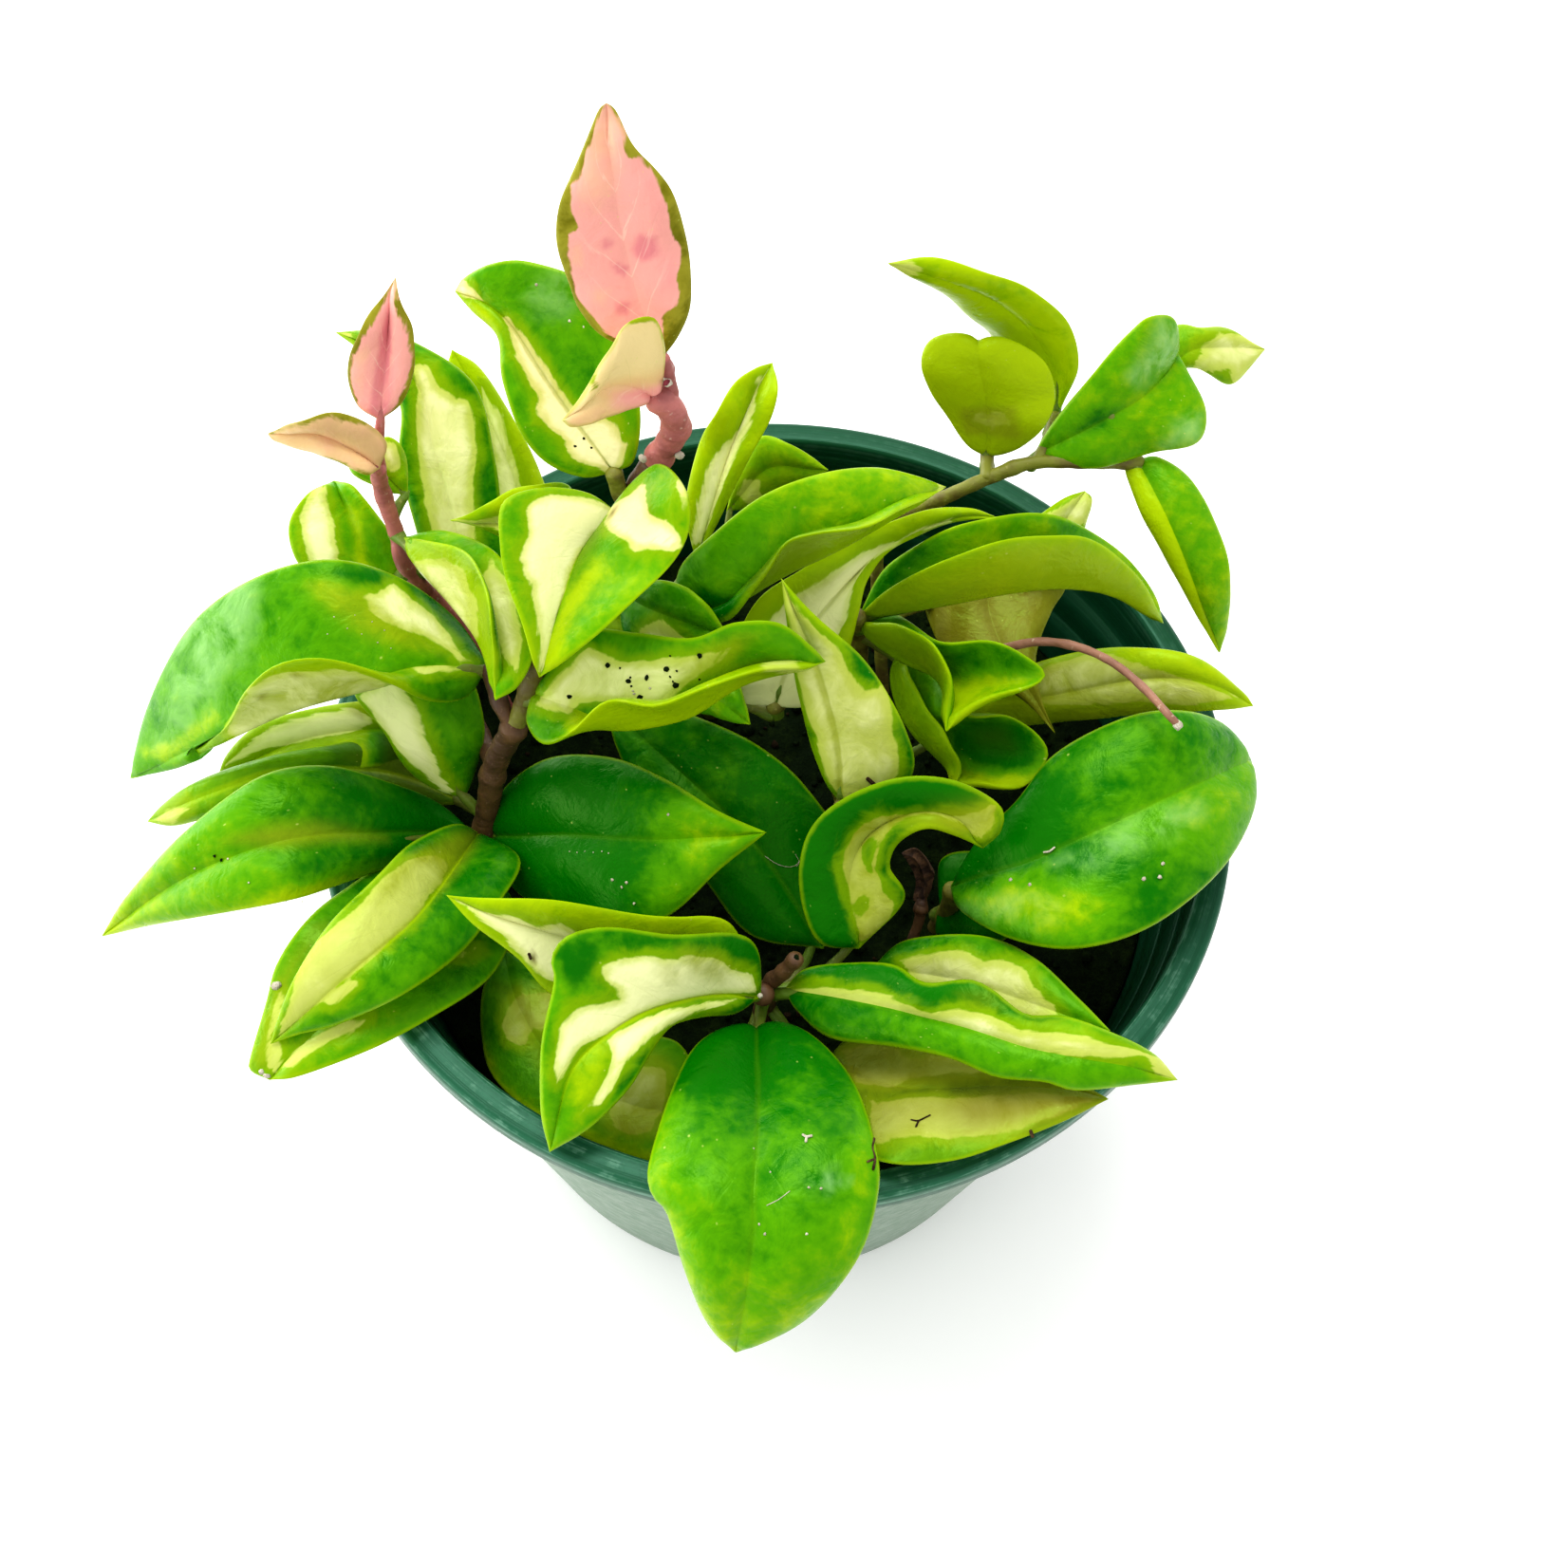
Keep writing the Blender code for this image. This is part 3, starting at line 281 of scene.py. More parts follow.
def add_piece(name: str, bm: bmesh.types.BMesh, materials: Sequence[Material],
              nodes: Sequence[str], sharp_degrees: float | None = None) -> bpy.types.Object:
    """Turn a finished bmesh into a piece of the object.

    Args:
        name: the piece's name.
        bm: the mesh, which is freed.
        materials: its materials, by the faces' material index.
        nodes: the CAD nodes that it stands for.
        sharp_degrees: the angle past which edges stay sharp, or None for all smooth.

    Returns:
        The new object.
    """
    for face in bm.faces:
        face.smooth = True
    piece = linked(name, bm, materials)
    if sharp_degrees is not None:
        piece.data.set_sharp_from_angle(angle=math.radians(sharp_degrees))
    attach(piece, BODY)
    if nodes:
        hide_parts(*nodes)
    return piece


class Value:
    """A number or colour of a material that can be added, subtracted and multiplied."""

    def __init__(self, shading: "Shading", socket: bpy.types.NodeSocket) -> None:
        """Note the material and the socket that gives the value."""
        self.shading = shading
        self.socket = socket

    def __add__(self, other: "Value | float") -> "Value":
        """The sum."""
        return self.shading.math("ADD", self, other)

    def __sub__(self, other: "Value | float") -> "Value":
        """The difference."""
        return self.shading.math("SUBTRACT", self, other)

    def __mul__(self, other: "Value | float") -> "Value":
        """The product."""
        return self.shading.math("MULTIPLY", self, other)

    def __abs__(self) -> "Value":
        """The value without its sign."""
        return self.shading.math("ABSOLUTE", self)

    def swing(self, reach: float) -> "Value":
        """A noise between 0 and 1, brought to swing about zero."""
        return (self - 0.5) * reach

    def step(self, low: float, high: float, bottom: float = 0.0, top: float = 1.0) -> "Value":
        """A smooth step of the value.

        Args:
            low: the value at which the result is bottom.
            high: the value at which the result is top.
            bottom: the lower result.
            top: the upper result.

        Returns:
            The stepped value.
        """
        return self.shading.made("ShaderNodeMapRange", "Result", interpolation_type="SMOOTHSTEP", inputs={
            "Value": self, "From Min": low, "From Max": high, "To Min": bottom, "To Max": top})


class Shading:
    """A material's node tree, with short methods for the nodes that the finishes use."""

    MIX_SHARE, MIX_FIRST, MIX_SECOND = 0, 6, 7
    MIX_RESULT = 2

    def __init__(self, name: str) -> None:
        """Start a material with one Principled shader.

        Args:
            name: the material's name.
        """
        self.material = bpy.data.materials.new(name)
        self.material.use_nodes = True
        self.shader = self.material.node_tree.nodes["Principled BSDF"]
        self.place = self.made("ShaderNodeTexCoord", "Object")

    def feed(self, socket: bpy.types.NodeSocket, value: Value | float | tuple[float, ...]) -> None:
        """Link a socket to a value, or set its number or colour."""
        if isinstance(value, Value):
            self.material.node_tree.links.new(value.socket, socket)
        elif isinstance(value, tuple) and len(value) == 3 and socket.type == "RGBA":
            socket.default_value = (*value, 1.0)
        else:
            socket.default_value = value

    def made(self, kind: str, output: str | int = 0, inputs: dict[str | int, object] | None = None,
             **settings: object) -> Value:
        """Add a node.

        Args:
            kind: the node's type.
            output: the output that is wanted.
            inputs: what its inputs are fed with.
            settings: the node's own properties.

        Returns:
            The output's value.
        """
        node = self.material.node_tree.nodes.new(kind)
        for key, setting in settings.items():
            setattr(node, key, setting)
        for key, value in (inputs or {}).items():
            self.feed(node.inputs[key], value)
        return Value(self, node.outputs[output])

    def value(self, name: str) -> Value:
        """The value of a mesh attribute."""
        return self.made("ShaderNodeAttribute", "Fac", attribute_name=name)

    def math(self, operation: str, *inputs: Value | float) -> Value:
        """The result of a Math node's operation on values and numbers."""
        return self.made("ShaderNodeMath", 0, dict(enumerate(inputs)), operation=operation)

    def noise(self, scale: float, detail: float = 3.0, rough: float = 0.55, twist: float = 0.0,
              vector: Value | None = None) -> Value:
        """A noise between 0 and 1, on the object's own coordinates unless a vector is given."""
        return self.made("ShaderNodeTexNoise", "Fac", {
            "Vector": vector or self.place, "Scale": scale, "Detail": detail, "Roughness": rough,
            "Distortion": twist})

    def mix(self, share: Value | float, first: Value | Colour, second: Value | Colour) -> Value:
        """The first colour with a share of the second."""
        return self.made("ShaderNodeMix", self.MIX_RESULT, {
            self.MIX_SHARE: share, self.MIX_FIRST: first, self.MIX_SECOND: second}, data_type="RGBA")

    def combine(self, x: Value | float, y: Value | float, z: Value | float) -> Value:
        """A vector of three values."""
        return self.made("ShaderNodeCombineXYZ", 0, {0: x, 1: y, 2: z})

    def bump(self, height: Value, strength: float, depth: float, under: Value | None = None) -> Value:
        """A bumped normal.

        Args:
            height: the relief, from 0 to 1.
            strength: how strongly it shows.
            depth: the relief's depth in metres.
            under: a normal that this one is added to.

        Returns:
            The normal.
        """
        inputs = {"Height": height, "Strength": strength, "Distance": depth}
        return self.made("ShaderNodeBump", "Normal", inputs | ({"Normal": under} if under else {}))

    def finish(self, colour: Value | Colour, roughness: Value | float, normal: Value | None = None,
               **constants: float | tuple[float, ...]) -> Material:
        """Feed the shader.

        Args:
            colour: the base colour.
            roughness: its roughness.
            normal: the bumped normal, or None.
            constants: values for other sockets, with _ for a space in their names.

        Returns:
            The finished material.
        """
        self.feed(self.shader.inputs["Base Color"], colour)
        self.feed(self.shader.inputs["Roughness"], roughness)
        if normal is not None:
            self.feed(self.shader.inputs["Normal"], normal)
        for name, value in constants.items():
            self.shader.inputs[name.replace("_", " ")].default_value = value
        return self.material


class LeafValues:
    """What a point of a leaf offers to the leaf's finish: its attributes and its noises."""

    VEINS = 6.0
    VEIN_SLANT = 2.0
    BORDER_STREAKS = 10.0
    BORDER_BLOTCHES = 7.0

    def __init__(self, s: Shading) -> None:
        """Read the attributes and make the noises.

        Args:
            s: the material.
        """
        self.along, self.across, self.flush = s.value("along"), s.value("across"), s.value("pink")
        self.seed = s.value("seed")
        self.off = abs(self.across)
        self.vein_place = self.along * self.VEINS - self.off * self.VEIN_SLANT
        grain = s.combine(self.vein_place * 2.2, self.across * 1.6, self.seed)
        self.streaks = s.noise(1.0, 3.0, 0.55, 0.2, grain)
        self.fine, self.broad = s.noise(520.0, 4.0), s.noise(52.0, 2.0)
        self.blotches = s.noise(150.0, 4.0, 0.6, 0.5)
        wander = self.streaks.swing(self.BORDER_STREAKS) + self.blotches.swing(self.BORDER_BLOTCHES)
        self.border = s.value("cream_px") + wander
        self.creamy = (self.border + self.fine.swing(4.0)).step(-1.2, 1.6)


@dataclass(frozen=True)
class LeafFinish:
    """The thick waxy skin of a variegated leaf."""

    name: str = "waxy_leaf"
    dark: Colour = (0.0, 0.135, 0.0)
    green: Colour = (0.085, 0.30, 0.0)
    lime: Colour = (0.36, 0.51, 0.0)
    band: Colour = (0.22, 0.37, 0.0)
    cream: Colour = (0.56, 0.61, 0.16)
    cream_pale: Colour = (0.88, 0.88, 0.47)
    cream_edge: Colour = (0.50, 0.60, 0.08)
    olive: Colour = (0.27, 0.31, 0.01)
    pink: Colour = (0.83, 0.36, 0.33)
    peach: Colour = (0.76, 0.50, 0.25)
    rose: Colour = (0.68, 0.20, 0.24)
    pink_vein: Colour = (0.95, 0.68, 0.55)
    pink_rib: Colour = (0.93, 0.62, 0.47)
    rim_dark: Colour = (0.15, 0.13, 0.004)
    rim_olive: Colour = (0.29, 0.26, 0.025)
    brown: Colour = (0.13, 0.08, 0.01)
    # The colour of the painted sheen: a pale highlight painted on the glossy skin.
    bloom: Colour = (0.36, 0.62, 0.28)
    gloss: float = 0.32
    gloss_tint: tuple[float, ...] = (0.5, 1.0, 0.16, 1.0)

    def material(self) -> Material:
        """Make the material.

        Returns:
            A material that reads the leaf's own attributes.
        """
        s = Shading(self.name)
        v = LeafValues(s)
        vein = abs(s.math("FRACT", v.vein_place + v.streaks * 0.9) - 0.5).step(0.0, 0.055, 1.0, 0.0)
        vein = vein * v.off.step(0.1, 0.85, 1.0, 0.0)
        pale = s.mix(vein * v.flush.step(0.0, 1.0, 0.07, 0.35), self._pale(s, v),
                     s.mix(v.flush.step(0.3, 0.6), self.olive, self.pink_vein))
        base = self._lines(s, v, s.mix(v.creamy, self._greens(s, v), pale))
        base = s.mix(s.value("brown"), base, self.brown)
        # Painted highlight: pale sheen patches mixed into the colour where the marks lie.
        base = s.mix(s.value("bloom") * v.blotches.step(0.3, 0.6), base, self.bloom)
        under = s.value("side").step(0.35, -0.35, 0.0, 0.42) * v.creamy.step(0.0, 1.0, 1.0, 0.25)
        base = s.mix(under, base, s.mix(v.flush.step(0.2, 0.6), self.lime, self.peach))
        flat = s.combine(v.along * 90.0 + v.seed, v.across * 22.0, 0.0)
        dots = s.made("ShaderNodeTexVoronoi", "Distance", {"Vector": flat, "Scale": 0.24})
        base = s.mix(dots.step(0.04, 0.09, 1.0, 0.0) * v.broad.step(0.42, 0.6) * 0.5, base, self.cream)
        normal = s.bump(v.fine, 0.3, 0.3 * MM, s.bump(v.blotches - vein * 0.04, 0.4, 1.2 * MM))
        return s.finish(base, v.blotches.step(0.25, 0.75, 0.22, 0.42), normal, Specular_IOR_Level=self.gloss,
                        Specular_Tint=self.gloss_tint)

    def _greens(self, s: Shading, v: LeafValues) -> Value:
        """The green parts, yellower where the leaf is young and beside the cream.

        Args:
            s: the material.
            v: the leaf's values.

        Returns:
            The colour.
        """
        mottle = v.broad.swing(0.4) + v.blotches.swing(0.75)
        youth = s.value("lime") + (mottle + v.fine.swing(0.55))
        greens = s.mix(youth.step(-0.05, 0.5), self.dark, self.green)
        greens = s.mix(youth.step(0.4, 1.05), greens, self.lime)
        greens = s.mix((v.border + v.blotches.swing(26.0)).step(-15.0, -1.0, 0.0, 0.75), greens, self.band)
        greens = s.mix(s.value("olive") * 0.8, greens, self.olive)
        rim = s.mix(v.blotches.step(0.4, 0.6), self.rim_dark, self.rim_olive)
        return s.mix(v.flush.step(0.15, 0.6), greens, rim)

    def _pale(self, s: Shading, v: LeafValues) -> Value:
        """The cream parts, pink in the youngest leaves.

        Args:
            s: the material.
            v: the leaf's values.

        Returns:
            The colour.
        """
        whiteness = s.value("pale") + v.blotches.swing(1.4) + v.border.step(0.0, 14.0, -0.35, 0.25)
        pale = s.mix(whiteness.step(0.0, 1.0), self.cream, self.cream_pale)
        edge = v.border.step(0.0, 11.0, 0.55, 0.0) * v.flush.step(0.1, 0.5, 1.0, 0.3)
        pale = s.mix(edge, pale, self.cream_edge)
        # Olive in the cream: partly green showing through, partly painted shade on cream that lies in
        # shadow.
        sheer = s.value("sheer") * (v.blotches + v.fine * 0.3).step(0.4, 0.9, 0.95, 0.45)
        pale = s.mix(sheer * v.flush.step(0.2, 0.5, 1.0, 0.0), pale, self.olive)
        pale = s.mix(v.flush.step(0.0, 0.5), pale, self.peach)
        rosy = v.flush + v.blotches.swing(0.5)
        pale = s.mix(rosy.step(0.45, 0.95), pale, self.pink)
        return s.mix(rosy.step(1.08, 1.6, 0.0, 0.85), pale, self.rose)

    def _lines(self, s: Shading, v: LeafValues, base: Value) -> Value:
        """Lay the midrib's line and the pale margin line over the colour; the margin line is partly the
        leaf's paler edge and partly a painted highlight along the rounded edge.

        Args:
            s: the material.
            v: the leaf's values.
            base: the colour.

        Returns:
            The colour with its lines.
        """
        rib = (s.value("rib_mm") + v.fine.swing(0.5)).step(0.15, 0.7, 1.0, 0.0)
        rib = rib * v.along.step(0.6, 1.0, 1.0, 0.0)
        on_cream = s.mix(v.flush.step(0.3, 0.6), self.olive, self.pink_rib)
        base = s.mix(rib * s.value("rib_tint"), base, s.mix(v.creamy, self.lime, on_cream))
        # Painted highlight in part: the pale line along the margin is partly the leaf's paler edge and
        # partly light caught by the rounded edge.
        rim = (s.value("rim_mm") + v.fine * 0.5).step(0.3, 0.95, 0.45, 0.0)
        return s.mix(rim, base, s.mix(v.flush.step(0.2, 0.6), self.lime, self.rim_olive))


@dataclass(frozen=True)
class BarkFinish:
    """The skin of a stem, with pale flecks and short rings."""

    name: str
    young: Colour
    old: Colour
    fleck: Colour

    def material(self) -> Material:
        """Make the material."""
        s = Shading(self.name)
        broad, fine = s.noise(160.0, 3.0, 0.6, 0.4), s.noise(900.0, 4.0)
        base = s.mix(broad.step(0.35, 0.65), self.young, self.old)
        base = s.mix(fine.step(0.62, 0.72, 0.0, 0.6), base, self.fleck)
        stretched = s.made("ShaderNodeMapping", 0, {"Scale": (1.0, 1.0, 4.0), "Vector": s.place})
        rings = s.noise(260.0, 2.0, 0.5, 0.0, stretched)
        return s.finish(base, fine.step(0.2, 0.8, 0.45, 0.65), s.bump(rings + fine * 0.4, 0.5, 0.5 * MM))


@dataclass(frozen=True)
class PlasticFinish:
    """The pot's thin teal plastic, turned with fine rings, with painted glare on the outer wall, painted
    highlights on the lip and painted shade at the back and inside.
    """

    name: str = "teal_plastic"
    deep: Colour = (0.001, 0.042, 0.014)
    lit: Colour = (0.028, 0.13, 0.07)
    haze: Colour = (0.16, 0.235, 0.155)
    lip_glint: Colour = (0.18, 0.34, 0.25)
    gloss: float = 0.3
    gloss_tint: tuple[float, ...] = (0.5, 1.0, 0.75, 1.0)

    def material(self) -> Material:
        """Make the material."""
        s = Shading(self.name)
        x, y, z = (s.made("ShaderNodeSeparateXYZ", axis, {0: s.place}) for axis in "XYZ")
        turned = s.combine(s.math("SQRT", x * x + y * y), z * 0.6, 0.0)
        broad, fine = s.noise(28.0, 3.0), s.noise(420.0, 4.0)
        rings, bands = s.noise(1500.0, 3.0, 0.6, 0.0, turned), s.noise(330.0, 2.0, 0.5, 0.0, turned)
        base = s.mix((rings * 0.5 + bands * 0.7).step(0.42, 0.82), self.deep, self.lit)
        # Painted shade: darker at the back and inside the pot.
        base = s.mix(s.value("shade"), base, self.deep)
        # Painted glare: a pale haze on the outer wall, strongest at the front.
        base = s.mix(s.value("haze") * broad.step(0.2, 0.8, 0.8, 1.0), base, self.haze)
        # Painted highlights: pale streaks along the lip's rings, strongest at the front.
        base = s.mix(s.value("lip") * (rings + fine * 0.4).step(0.72, 0.86, 0.0, 0.6), base, self.lip_glint)
        normal = s.bump(fine, 0.08, 0.2 * MM, s.bump(rings, 0.35, 0.3 * MM))
        return s.finish(base, fine.step(0.3, 0.7, 0.30, 0.42), normal, Specular_IOR_Level=self.gloss,
                        Specular_Tint=self.gloss_tint)


@dataclass(frozen=True)
class CrumbFinish:
    """Loose dark potting mix, flecks and bits of twig."""

    name: str
    dark: Colour
    light: Colour

    def material(self) -> Material:
        """Make the material."""
        s = Shading(self.name)
        broad, fine = s.noise(150.0, 4.0, 0.65), s.noise(700.0, 5.0, 0.7)
        base = s.mix((broad * fine).step(0.18, 0.42), self.dark, self.light)
        return s.finish(base, 0.92, s.bump(fine, 0.8, 1.2 * MM), Specular_IOR_Level=0.12)


@dataclass(frozen=True)
class DryFinish:
    """A withered, papery leaf."""

    name: str = "withered_leaf"
    dark: Colour = (0.035, 0.014, 0.008)
    light: Colour = (0.20, 0.10, 0.05)

    def material(self) -> Material:
        """Make the material."""
        s = Shading(self.name)
        creases = s.noise(330.0, 5.0, 0.7, 1.2)
        base = s.mix(creases.step(0.4, 0.7), self.dark, self.light)
        return s.finish(base, 0.75, s.bump(creases, 0.8, 1.0 * MM))


class Tint(Enum):
    """What a mark does to a leaf's colour, its usual strength and the usual width of its soft border."""

    CREAM = ("cream instead of green", 1.0, 12.0)
    GREEN = ("a green island in the cream", 1.0, 12.0)
    LIME = ("yellower green", 0.6, 12.0)
    # Most DARK marks are a deeper green; some paint shade where a leaf lies in shadow.
    DARK = ("deeper green", 0.6, 12.0)
    # OLIVE is partly the green that shows through the cream and partly painted shade on cream that lies in
    # shadow.
    OLIVE = ("green that shows through the cream", 0.6, 12.0)
    # Besides corky spots, some BROWN marks join DARK ones to paint a brown-tinged shadow.
    BROWN = ("a corky spot", 0.9, 3.0)
    ROSY = ("stronger pink, or weaker pink when the amount is negative", 0.5, 12.0)
    # This tint paints a pale sheen: a painted highlight where the lamps' reflection lies on the glossy skin.
    BLOOM = ("pale waxy bloom", 0.5, 14.0)


class Half(Enum):
    """The half of a leaf that a mark lies on, as seen from above and facing the tip."""

    LEFT = -1
    BOTH = 0
    RIGHT = 1


class Bark(Enum):
    """The colours that the stems have."""

    BROWN = "brown"
    ROSE = "rose"
    OLIVE = "olive"
    GREEN = "green"
    TAN = "tan"


LEFT, RIGHT = Half.LEFT, Half.RIGHT
FAR_OUTSIDE = -60.0


@dataclass(frozen=True)
class Mark:
    """A coloured patch of a leaf, outlined by the pixels where the photograph shows it."""

    tint: Tint
    outline: Outline
    half: Half
    amount: float
    soft: float

    def depth(self, seen_at: np.ndarray, across: np.ndarray) -> np.ndarray:
        """How many pixels inside the patch each point of a leaf lies.

        Args:
            seen_at: the pixels at which the points are seen.
            across: where the points lie across the leaf, from -1 to 1.

        Returns:
            A depth for each point, negative outside the patch.
        """
        inside = np.maximum(signed_distance(seen_at, self.outline), FAR_OUTSIDE)
        return np.where(across * self.half.value < 0, FAR_OUTSIDE, inside)

    def weight(self, seen_at: np.ndarray, across: np.ndarray) -> np.ndarray:
        """The patch's strength at each point, fading out over its soft border."""
        return self.amount * smooth_step(-self.soft, self.soft, self.depth(seen_at, across))


def drawn(tint: Tint, text: str, half: Half = Half.BOTH, amount: float | None = None,
          soft: float | None = None) -> Mark:
    """Draw a mark.

    Args:
        tint: what it does to the colour.
        text: the pixels of its outline.
        half: the half of the leaf that it stays on.
        amount: its strength, or None for the tint's usual one.
        soft: the width of its soft border in pixels, or None for the tint's usual one.

    Returns:
        The mark.
    """
    usual_amount, usual_soft = tint.value[1:]
    return Mark(tint, pixels(text), half, usual_amount if amount is None else amount,
                usual_soft if soft is None else soft)


# The last of these draws the painted sheen, a painted highlight.
cream, green, lime, dark, olive, brown, rosy, bloom = (partial(drawn, tint) for tint in Tint)


@dataclass(frozen=True)
class Stem:
    """A round piece of stem."""

    plant: str
    radius: float
    path: Path
    bark: Bark = Bark.BROWN
    nodes: tuple[float, ...] = ()
    end_radius: float | None = None
    swelling: float = 0.16


@dataclass(frozen=True)
class Leaf:
    """A leaf: its midrib from foot to tip, its margins between those ends, its stalk and its colours."""

    name: str
    plant: str
    rib: Path
    left: Path
    right: Path
    foot: Path
    marks: tuple[Mark, ...] = ()
    lime: tuple[float, float] = (0.3, 0.5)
    olive: float = 0.0
    flush: float = 0.0
    pale: float = 0.3
    # How far the cream turns olive: partly green showing through, partly painted shade on leaves that lie in
    # shadow.
    sheer: float = 0.1
    rib_tint: float = 0.06
    crease: float = 0.1
    thickness: float = 1.5
    dome: float = 0.7
    wave: float = 0.25


STEM_FOOT = 74.0

STEMS = (
    Stem("left_stem", 2.0, (Ground(-50, -4, STEM_FOOT),
                            *spots("511,885,98 515,845,108 522,805,116 541,768,124")),
         Bark.BROWN, (0.55, 0.78, 1.0)),
    Stem("left_stem", 1.3, spots("541,768,124 527,741,127 515,706,128"), Bark.BROWN, (0.5,)),
    Stem("left_stem", 1.6, spots("541,768,124 552,742,128 566,700,135"), Bark.OLIVE, (0.6,)),
    Stem("left_stem", 1.5, spots("522,812,114 506,772,113 484,738,113 470,712,113"), Bark.BROWN, (0.5,)),
    Stem("left_shoot", 1.3, (Ground(-46, 20, STEM_FOOT), Ground(-56, 25, 105),
                             *spots("430,600,131 418,563,137 402,515,146 398,495,152")),
         Bark.ROSE, (0.6, 0.75, 0.9)),
    Stem("centre_shoot", 1.9, (Ground(-28, 30, STEM_FOOT),
                               *spots("660,570,130 661,535,142 678,502,149 694,482,154")),
         Bark.BROWN, (0.6, 0.82)),
    Stem("centre_shoot", 2.1, spots("694,482,154 712,452,161 707,432,166 696,420,168"),
         Bark.ROSE, (0.0, 0.5, 1.0)),
    Stem("centre_shoot", 1.0, spots("708,440,164 706,405,170 699,378,175"), Bark.ROSE, (0.4,)),
    Stem("centre_shoot", 1.4, spots("664,537,142 655,524,145 647,499,150"), Bark.OLIVE),
    Stem("back_stem", 1.6, (Ground(-12, 28, STEM_FOOT), *spots("712,650,118 705,630,126 712,640,130")),
         Bark.OLIVE, (0.7,)),
    Stem("middle_stem", 1.6, (Ground(14, -2, STEM_FOOT), Ground(14, -6, 104), *spots("888,850,118")),
         Bark.OLIVE, (0.6,)),
    Stem("middle_stem", 1.4, (Ground(14, -2, 84), Ground(8, 10, 100), Ground(3, 12, 112),
                              *spots("815,745,117")), Bark.OLIVE),
    Stem("right_back_stem", 1.6, (Ground(16, 12, STEM_FOOT), *spots("905,690,110 903,650,124")),
         Bark.OLIVE, (0.5, 0.8)),
    Stem("right_back_stem", 1.2, spots("904,665,118 960,640,115 1040,612,113 1080,608,118"),
         Bark.OLIVE, (0.4, 0.8)),
    Stem("right_back_stem", 0.85, spots("903,650,120 950,664,118.5 1000,684,119.5 1040,688,122 "
                                        "1065,681,125.5 1100,676,128 1140,683,130 1175,700,132 1205,725,133 "
                                        "1230,752,134 1241,764,133"), Bark.TAN, (0.35, 0.62, 0.86), 0.6),
    Stem("vine_stem", 1.2, (Ground(20, 30, STEM_FOOT),
                            *spots("925,570,112 960,540,120 1000,522,125 1045,502,128 1090,487,130 "
                                   "1150,487,130 1200,487,129")), Bark.OLIVE, (0.3, 0.62, 0.76, 0.98)),
    Stem("vine_stem", 1.2, spots("1040,503,128 1040,480,128"), Bark.OLIVE),
    Stem("vine_stem", 1.0, spots("1092,487,130 1105,460,132 1112,438,134"), Bark.OLIVE),
    Stem("right_stem", 1.6, (Ground(28, -15, STEM_FOOT), *spots("1000,955,92 1003,938,103")), Bark.OLIVE),
    Stem("front_stem", 1.8, (Ground(0, -36, STEM_FOOT), *spots("806,1050,96 804,1048,104")),
         Bark.BROWN, (0.5,)),
    Stem("front_stem", 0.9, spots("803,1046,100 812,1034,103.5 822,1027,107 838,1011,111"),
         Bark.BROWN, (0.12, 0.34, 0.5, 0.72, 0.97), 1.0, 0.4),
    Stem("dried_leaf", 0.9, (Ground(17, -37, STEM_FOOT), *spots("963,985,90 971,952,95")), Bark.BROWN),
)

